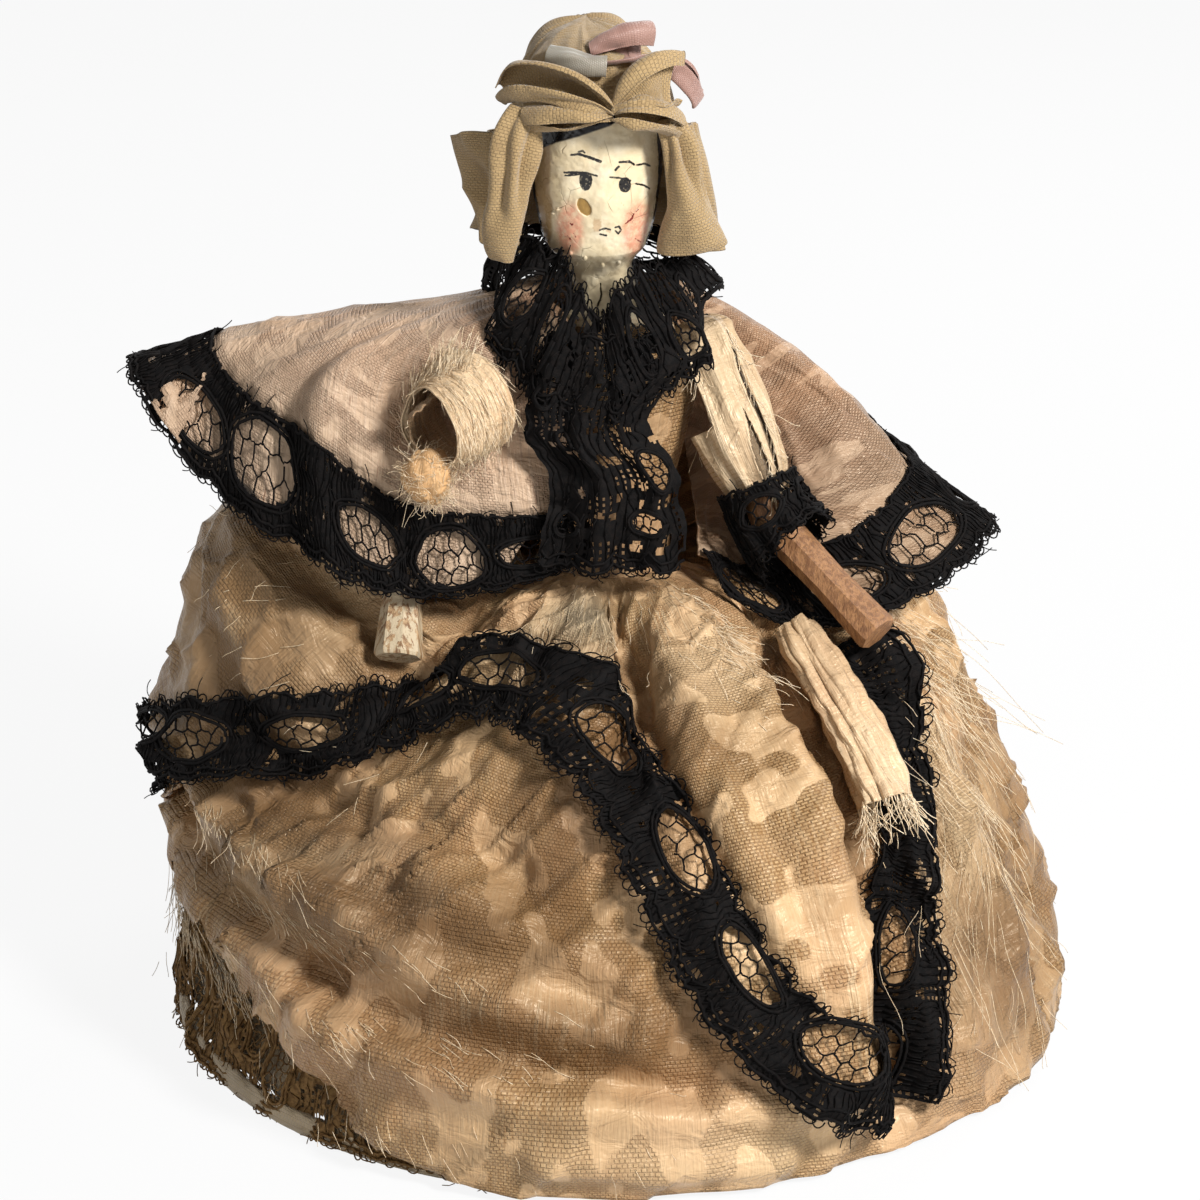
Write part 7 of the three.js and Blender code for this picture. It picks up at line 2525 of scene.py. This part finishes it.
LID_EDGES = (2.86, 2.5)
MOUTH = [[(0.95, -2.1, 0.03), (1.3, -2.0, 0.05), (1.5, -2.35, 0.04), (1.25, -2.7, 0.05),
          (0.98, -2.4, 0.03)],
         [(-0.5, -2.35, 0.03), (0.0, -2.2, 0.05), (0.5, -2.3, 0.03)],
         [(-0.45, -2.75, 0.03), (0.1, -2.85, 0.05)]]
# The black band painted under the bonnet's frill starts on this line
HAIR_BAND = [(-7.0, 4.9), (-5.5, 5.5), (-4.6, 5.85), (-2.6, 6.4), (0.4, 7.4), (2.5, 8.6),
             (7.0, 9.5)]
CRACKS = [[(-0.45, -7.4, 0.05), (-0.35, -8.6, 0.10), (-0.75, -9.6, 0.08), (-0.9, -10.8, 0.05)],
          [(-1.7, -8.2, 0.02), (-2.1, -8.8, 0.03)], [(0.3, -8.0, 0.02), (0.9, -8.3, 0.03)]]
SCARS = [[(-3.25, -1.7, 0.03), (-3.05, -1.85, 0.08)], [(-3.5, -2.9, 0.03), (-3.25, -3.2, 0.08)],
         [(-2.95, -2.6, 0.02), (-2.75, -3.0, 0.04)],
         [(1.9, -1.75, 0.03), (2.5, -1.3, 0.09), (2.7, -0.75, 0.03)],
         [(2.95, -0.6, 0.03), (3.1, -0.45, 0.05)],
         [(2.9, -3.2, 0.03), (3.5, -3.55, 0.08)], [(3.0, -4.1, 0.03), (3.25, -4.5, 0.05)],
         [(3.7, -2.2, 0.02), (3.9, -2.7, 0.04)]]
BARE = [(-1.97, -0.2, 0.62, 0.82)]
CHIPS = [(-0.75, -1.85, 0.42, 0.66), (0.3, -2.4, 0.22, 0.2), (1.9, -2.0, 0.2, 0.3)]
BLUSH = [(-3.3, -2.3, 1.25, 2.4), (3.1, -2.4, 1.5, 2.8)]
DROPS = [(-3.22, -4.5, 0.19), (-1.88, -5.0, 0.2), (-2.7, -5.5, 0.17), (-0.25, -5.65, 0.2),
         (1.29, -5.4, 0.2), (3.04, -5.1, 0.16), (-4.45, -0.4, 0.17), (-4.9, -0.75, 0.15)]
SIDE_EDGE = -4.95


@dataclass
class Head:
    """The carved head with its painted gesso, and the torso under the bodice."""

    half_width: float = 5.9
    half_depth: float = 6.6
    square: float = 0.9
    forward: float = 0.6
    aside: float = 0.8
    foot: float = -0.3
    around: int = 520
    down: int = 460
    face_middle: tuple[float, float] = (605.0, 205.0)
    cut_height: float = 68.4

    def seen(self, points: Array) -> Array:
        """Millimetres across and up on the camera's picture plane, from the face's middle.

        Args:
            points: Points in millimetres.

        Returns:
            Places in millimetres.
        """
        studio = Studio()
        rise = math.radians(studio.elevation)
        back = np.array([0, -math.cos(rise), math.sin(rise)])
        over = np.array([0, math.sin(rise), math.cos(rise)])
        place = points - (np.array(studio.aim) + studio.distance * back)
        scale = studio.distance / (place @ -back)
        per_pixel = 2 * studio.distance * math.tan(math.radians(studio.view) / 2) / FRAME_SIDE
        middle = (np.array(self.face_middle) - FRAME_SIDE / 2) * [per_pixel, -per_pixel]
        return np.stack([place[..., 0] * scale, (place @ over) * scale], -1) - middle

    @staticmethod
    def strokes(spots: Array, lines: list[list[tuple[float, float, float]]]) -> Array:
        """Signed distances to tapering strokes, below nought inside.

        Args:
            spots: Places in the picture.
            lines: Each stroke's points and half widths.

        Returns:
            Distances.
        """
        best = np.full(spots.shape[:-1], 9.0)
        for line in lines:
            for (x0, y0, w0), (x1, y1, w1) in zip(line[:-1], line[1:]):
                run = np.array([x1 - x0, y1 - y0])
                share = np.clip(((spots - [x0, y0]) @ run) / (run @ run), 0, 1)
                gap = np.linalg.norm(spots - [x0, y0] - share[..., None] * run, axis=-1)
                best = np.minimum(best, gap - mix(w0, w1, share))
        return best

    @staticmethod
    def ovals(spots: Array, shapes: list[tuple[float, float, float, float]]) -> Array:
        """Signed distances to ovals, below nought inside.

        Args:
            spots: Places in the picture.
            shapes: Each oval's middle and half sizes.

        Returns:
            Distances.
        """
        best = np.full(spots.shape[:-1], 9.0)
        for x, y, wide, high in shapes:
            ring = np.hypot((spots[..., 0] - x) / wide, (spots[..., 1] - y) / high)
            best = np.minimum(best, (ring - 1) * min(wide, high))
        return best

    def shape(self, turn: Array, share: Array) -> Array:
        """Points of the head and neck: degrees from the front, and height from the chin.

        Args:
            turn: Degrees from the front.
            share: 0 at the chin and 1 at the top.

        Returns:
            Points in millimetres.
        """
        places = np.interp(share, HEAD_RINGS[:, 0], np.arange(len(HEAD_RINGS)))
        ring = spline(HEAD_RINGS, places)
        angle = np.radians(turn)
        c, s = np.sin(angle), -np.cos(angle)
        x = self.half_width * ring[..., 1] * np.sign(c) * np.abs(c) ** self.square
        y = self.half_depth * ring[..., 2] * np.sign(s) * np.abs(s) ** self.square
        tipped = smoothstep(-0.15, 0.05, share)
        x, y = x - self.aside * tipped, y - self.forward * tipped
        z = CHIN_HEIGHT + (HEAD_TOP - CHIN_HEIGHT) * share
        return np.stack([x, y, z], -1)

    def head(self) -> bpy.types.Object:
        """Builds the head and neck, with its paint as distances held at each point.

        Returns:
            The piece.
        """
        turn, share = two_ways(degrees_round(self.around), np.linspace(self.foot, 1.0, self.down))
        warped = turn - 12 * np.sin(np.radians(turn))
        points = self.shape(warped, share)
        seen = self.seen(points)
        front = smoothstep(0.15, 0.45, np.cos(np.radians(turn)))
        fleck = 0.03 * noise(seen[..., 0] * 7, seen[..., 1] * 7, 183)
        lean = seen + np.stack([0.35 * (seen[..., 1] + 0.2), 0 * seen[..., 1]], -1)
        bare = self.ovals(lean, BARE) + fleck
        chips = self.ovals(seen, CHIPS) + 3 * fleck
        cracks = self.strokes(seen, CRACKS) + fleck
        ink = self.strokes(seen, BROWS + LIDS + MOUTH)
        for eye, lid in zip(EYES, LID_EDGES):
            ink = np.minimum(ink, np.maximum(self.ovals(seen, [eye]), seen[..., 1] - lid))
        ink = ink - 0.05 + fleck
        band = np.interp(seen[..., 0], *np.array(HAIR_BAND).T) - seen[..., 1]
        side = SIDE_EDGE + 0.2 * noise(seen[..., 1] * 0.8, 3, 185) - seen[..., 0]
        chip = smoothstep(0.08, -0.04, bare) * front
        cut = smoothstep(0.05, -0.05, cracks) * front
        dent = 0.12 * chip + 0.10 * cut
        nose = np.exp(-(((seen[..., 0] + 0.1) / 1.3) ** 2) - ((seen[..., 1] - 0.6) / 2.2) ** 2)
        sockets = sum(np.exp(-(((seen[..., 0] - x) / 1.6) ** 2) - ((seen[..., 1] - y) / 1.1) ** 2)
                      for x, y, _, _ in EYES)
        out = unit(np.cross(np.gradient(points, axis=0), np.gradient(points, axis=1)))
        raised = (0.30 * nose - 0.22 * sockets) * front - dent
        raised = raised + 0.05 * layered(seen[..., 0] * 0.9, seen[..., 1] * 0.9, 186)
        for x, y, size in DROPS:
            ring = np.hypot(seen[..., 0] - x, seen[..., 1] - y) / size
            raised = raised + 0.16 * np.sqrt(np.clip(1 - ring**2, 0, 1)) * front
        points = points + out * raised[..., None]
        blush = sum(np.exp(-(((seen[..., 0] - x) / wide) ** 2) - ((seen[..., 1] - y) / high) ** 2)
                    for x, y, wide, high in BLUSH)
        away = 4 * (1 - front)
        marks = {"ink": ink + away, "band": np.where(front > 0.02, band, -1.0),
                 "bare": bare + away, "chips": chips + away, "crack": cracks + away,
                 "scar": self.strokes(seen, SCARS) + 2 * fleck + away,
                 "blush": np.clip(blush, 0, 1) * front, "side": np.where(front > 0.02, side, 1.0)}
        cloth = np.zeros((self.around + 1, self.down, 2))
        piece = Patch(points, cloth, closed=True, marks=marks).build("painted_head")
        FINISHES.dress(piece, "gesso")
        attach(piece, "root")
        return piece

    def torso(self) -> bpy.types.Object:
        """Keeps the torso below the neck, with its slots and holes, as a piece of its own.

        Returns:
            The piece.
        """
        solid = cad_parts["head_and_torso"]
        shape = bmesh.new()
        shape.from_mesh(solid.data)
        shape.transform(solid.matrix_world)
        bmesh.ops.bisect_plane(shape, geom=shape.verts[:] + shape.edges[:] + shape.faces[:],
                               plane_co=(0, 0, (self.cut_height + 0.6) * MM),
                               plane_no=(0, 0, 1), clear_outer=True)
        data = bpy.data.meshes.new("carved_torso")
        shape.to_mesh(data)
        shape.free()
        piece = bpy.data.objects.new("carved_torso", data)
        bpy.context.scene.collection.objects.link(piece)
        FINISHES.dress(piece, "bare_gesso")
        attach(piece, "root")
        return piece

    def build(self) -> None:
        """Builds the head and torso in place of the plain solid."""
        for piece in (self.head(), self.torso()):
            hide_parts("head_and_torso")


# The solids that stay as they are, and their finishes
CAD_FINISHES = {
    "lower_arm_left": "brown_wood", "lower_arm_right": "pale_wood",
    "upper_arm_left": "brown_wood", "upper_arm_right": "brown_wood",
    "thigh_left": "brown_wood", "thigh_right": "brown_wood",
    "shin_left": "brown_wood", "shin_right": "brown_wood",
    "shoulder_peg_left": "peg_wood", "shoulder_peg_right": "peg_wood",
    "elbow_peg_left": "peg_wood", "elbow_peg_right": "peg_wood", "hip_peg": "peg_wood",
    "knee_peg_left": "peg_wood", "knee_peg_right": "peg_wood",
}


def build_all() -> None:
    """Builds each piece."""
    for part in (Skirt, Overskirt, Mantle, Bodice, Bonnet, Head):
        part().build()
        LOG.info("%s built", part.__name__)


@dataclass
class Studio:
    """The floor, the light and the camera at the photograph's angle."""

    distance: float = 400.0
    elevation: float = 23.0
    aim: tuple[float, float, float] = (-0.47, 0.0, 40.0)
    view: float = 16.07
    floor_reach: float = 900.0
    room_light: float = 0.14

    def floor(self) -> None:
        """Lays a pale floor that shows as white."""
        points = self.floor_reach * np.array([[-1, -1, 0], [1, -1, 0], [1, 1, 0], [-1, 1, 0]])
        piece = add_mesh("floor", points, [np.array([[0, 1, 2, 3]])])
        g = Graph("floor")
        g.shade(Base_Color=(0.74, 0.74, 0.74, 1), Roughness=0.9)
        path = g.node("LightPath").outputs
        seen = g.calc("MAXIMUM", path["Is Camera Ray"],
                      g.calc("MAXIMUM", path["Is Glossy Ray"], path["Is Transmission Ray"]))
        plain = g.node("Emission", {"Color": (1, 1, 1, 1), "Strength": 1.0})
        both = g.node("MixShader", {0: g.calc("MULTIPLY", seen, 0.9)})
        g.put(both.inputs[1], g.shader.outputs[0])
        g.put(both.inputs[2], plain.outputs[0])
        g.put(g.tree.nodes["Material Output"].inputs["Surface"], both.outputs[0])
        piece.data.materials.append(g.material)

    def world(self) -> None:
        """Lights the room softly from all round, with a background that shows as white."""
        world = bpy.data.worlds.new("studio")
        world.use_nodes = True
        bpy.context.scene.world = world
        tree = world.node_tree
        back = tree.nodes["Background"]
        path = tree.nodes.new("ShaderNodeLightPath")
        seen = tree.nodes.new("ShaderNodeMath")
        seen.operation = "MAXIMUM"
        tree.links.new(path.outputs["Is Camera Ray"], seen.inputs[0])
        tree.links.new(path.outputs["Is Glossy Ray"], seen.inputs[1])
        level = tree.nodes.new("ShaderNodeMath")
        level.operation = "MULTIPLY_ADD"
        tree.links.new(seen.outputs[0], level.inputs[0])
        level.inputs[1].default_value = 1 - self.room_light
        level.inputs[2].default_value = self.room_light
        tree.links.new(level.outputs[0], back.inputs["Strength"])
        back.inputs["Color"].default_value = (1, 1, 1, 1)

    def lamp(self, name: str, spot: tuple[float, float, float], size: float, watts: float) -> None:
        """Hangs one soft square lamp that faces the doll.

        Args:
            name: Its name.
            spot: Where it hangs, in millimetres.
            size: Its side in millimetres.
            watts: Its power.
        """
        light = bpy.data.lights.new(name, "AREA")
        light.size = size * MM
        light.energy = watts
        lamp = bpy.data.objects.new(name, light)
        lamp.location = Vector(spot) * MM
        way = Vector((0, 0, 0.045)) - lamp.location
        lamp.rotation_euler = way.to_track_quat("-Z", "Y").to_euler()
        bpy.context.scene.collection.objects.link(lamp)

    def camera(self) -> None:
        """Sets the camera at the photograph's viewing angle."""
        lens = bpy.data.cameras.new("camera")
        lens.sensor_fit = "HORIZONTAL"
        lens.angle = math.radians(self.view)
        lens.clip_start = 0.01
        camera = bpy.data.objects.new("camera", lens)
        rise = math.radians(self.elevation)
        aim = Vector(self.aim) * MM
        camera.location = aim + Vector((0, -math.cos(rise), math.sin(rise))) * self.distance * MM
        camera.rotation_euler = (aim - camera.location).to_track_quat("-Z", "Y").to_euler()
        bpy.context.scene.collection.objects.link(camera)
        bpy.context.scene.camera = camera

    def build(self) -> None:
        """Sets up the whole studio."""
        bpy.context.scene.view_settings.view_transform = "Standard"
        self.camera()
        self.floor()
        self.world()
        self.lamp("key", (225, -240, 290), 75, 2.5)
        self.lamp("fill", (-280, -280, 160), 260, 0.22)
        self.lamp("rim", (140, 260, 260), 160, 0.6)


def main() -> None:
    """Builds the doll piece by piece."""
    logging.basicConfig(level=logging.INFO, format="%(message)s")
    Studio().build()
    build_all()
    for node, finish in CAD_FINISHES.items():
        FINISHES.dress(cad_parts[node], finish)
        LOG.info("%s keeps its solid, in %s", node, finish)


if __name__ == "__main__":
    main()
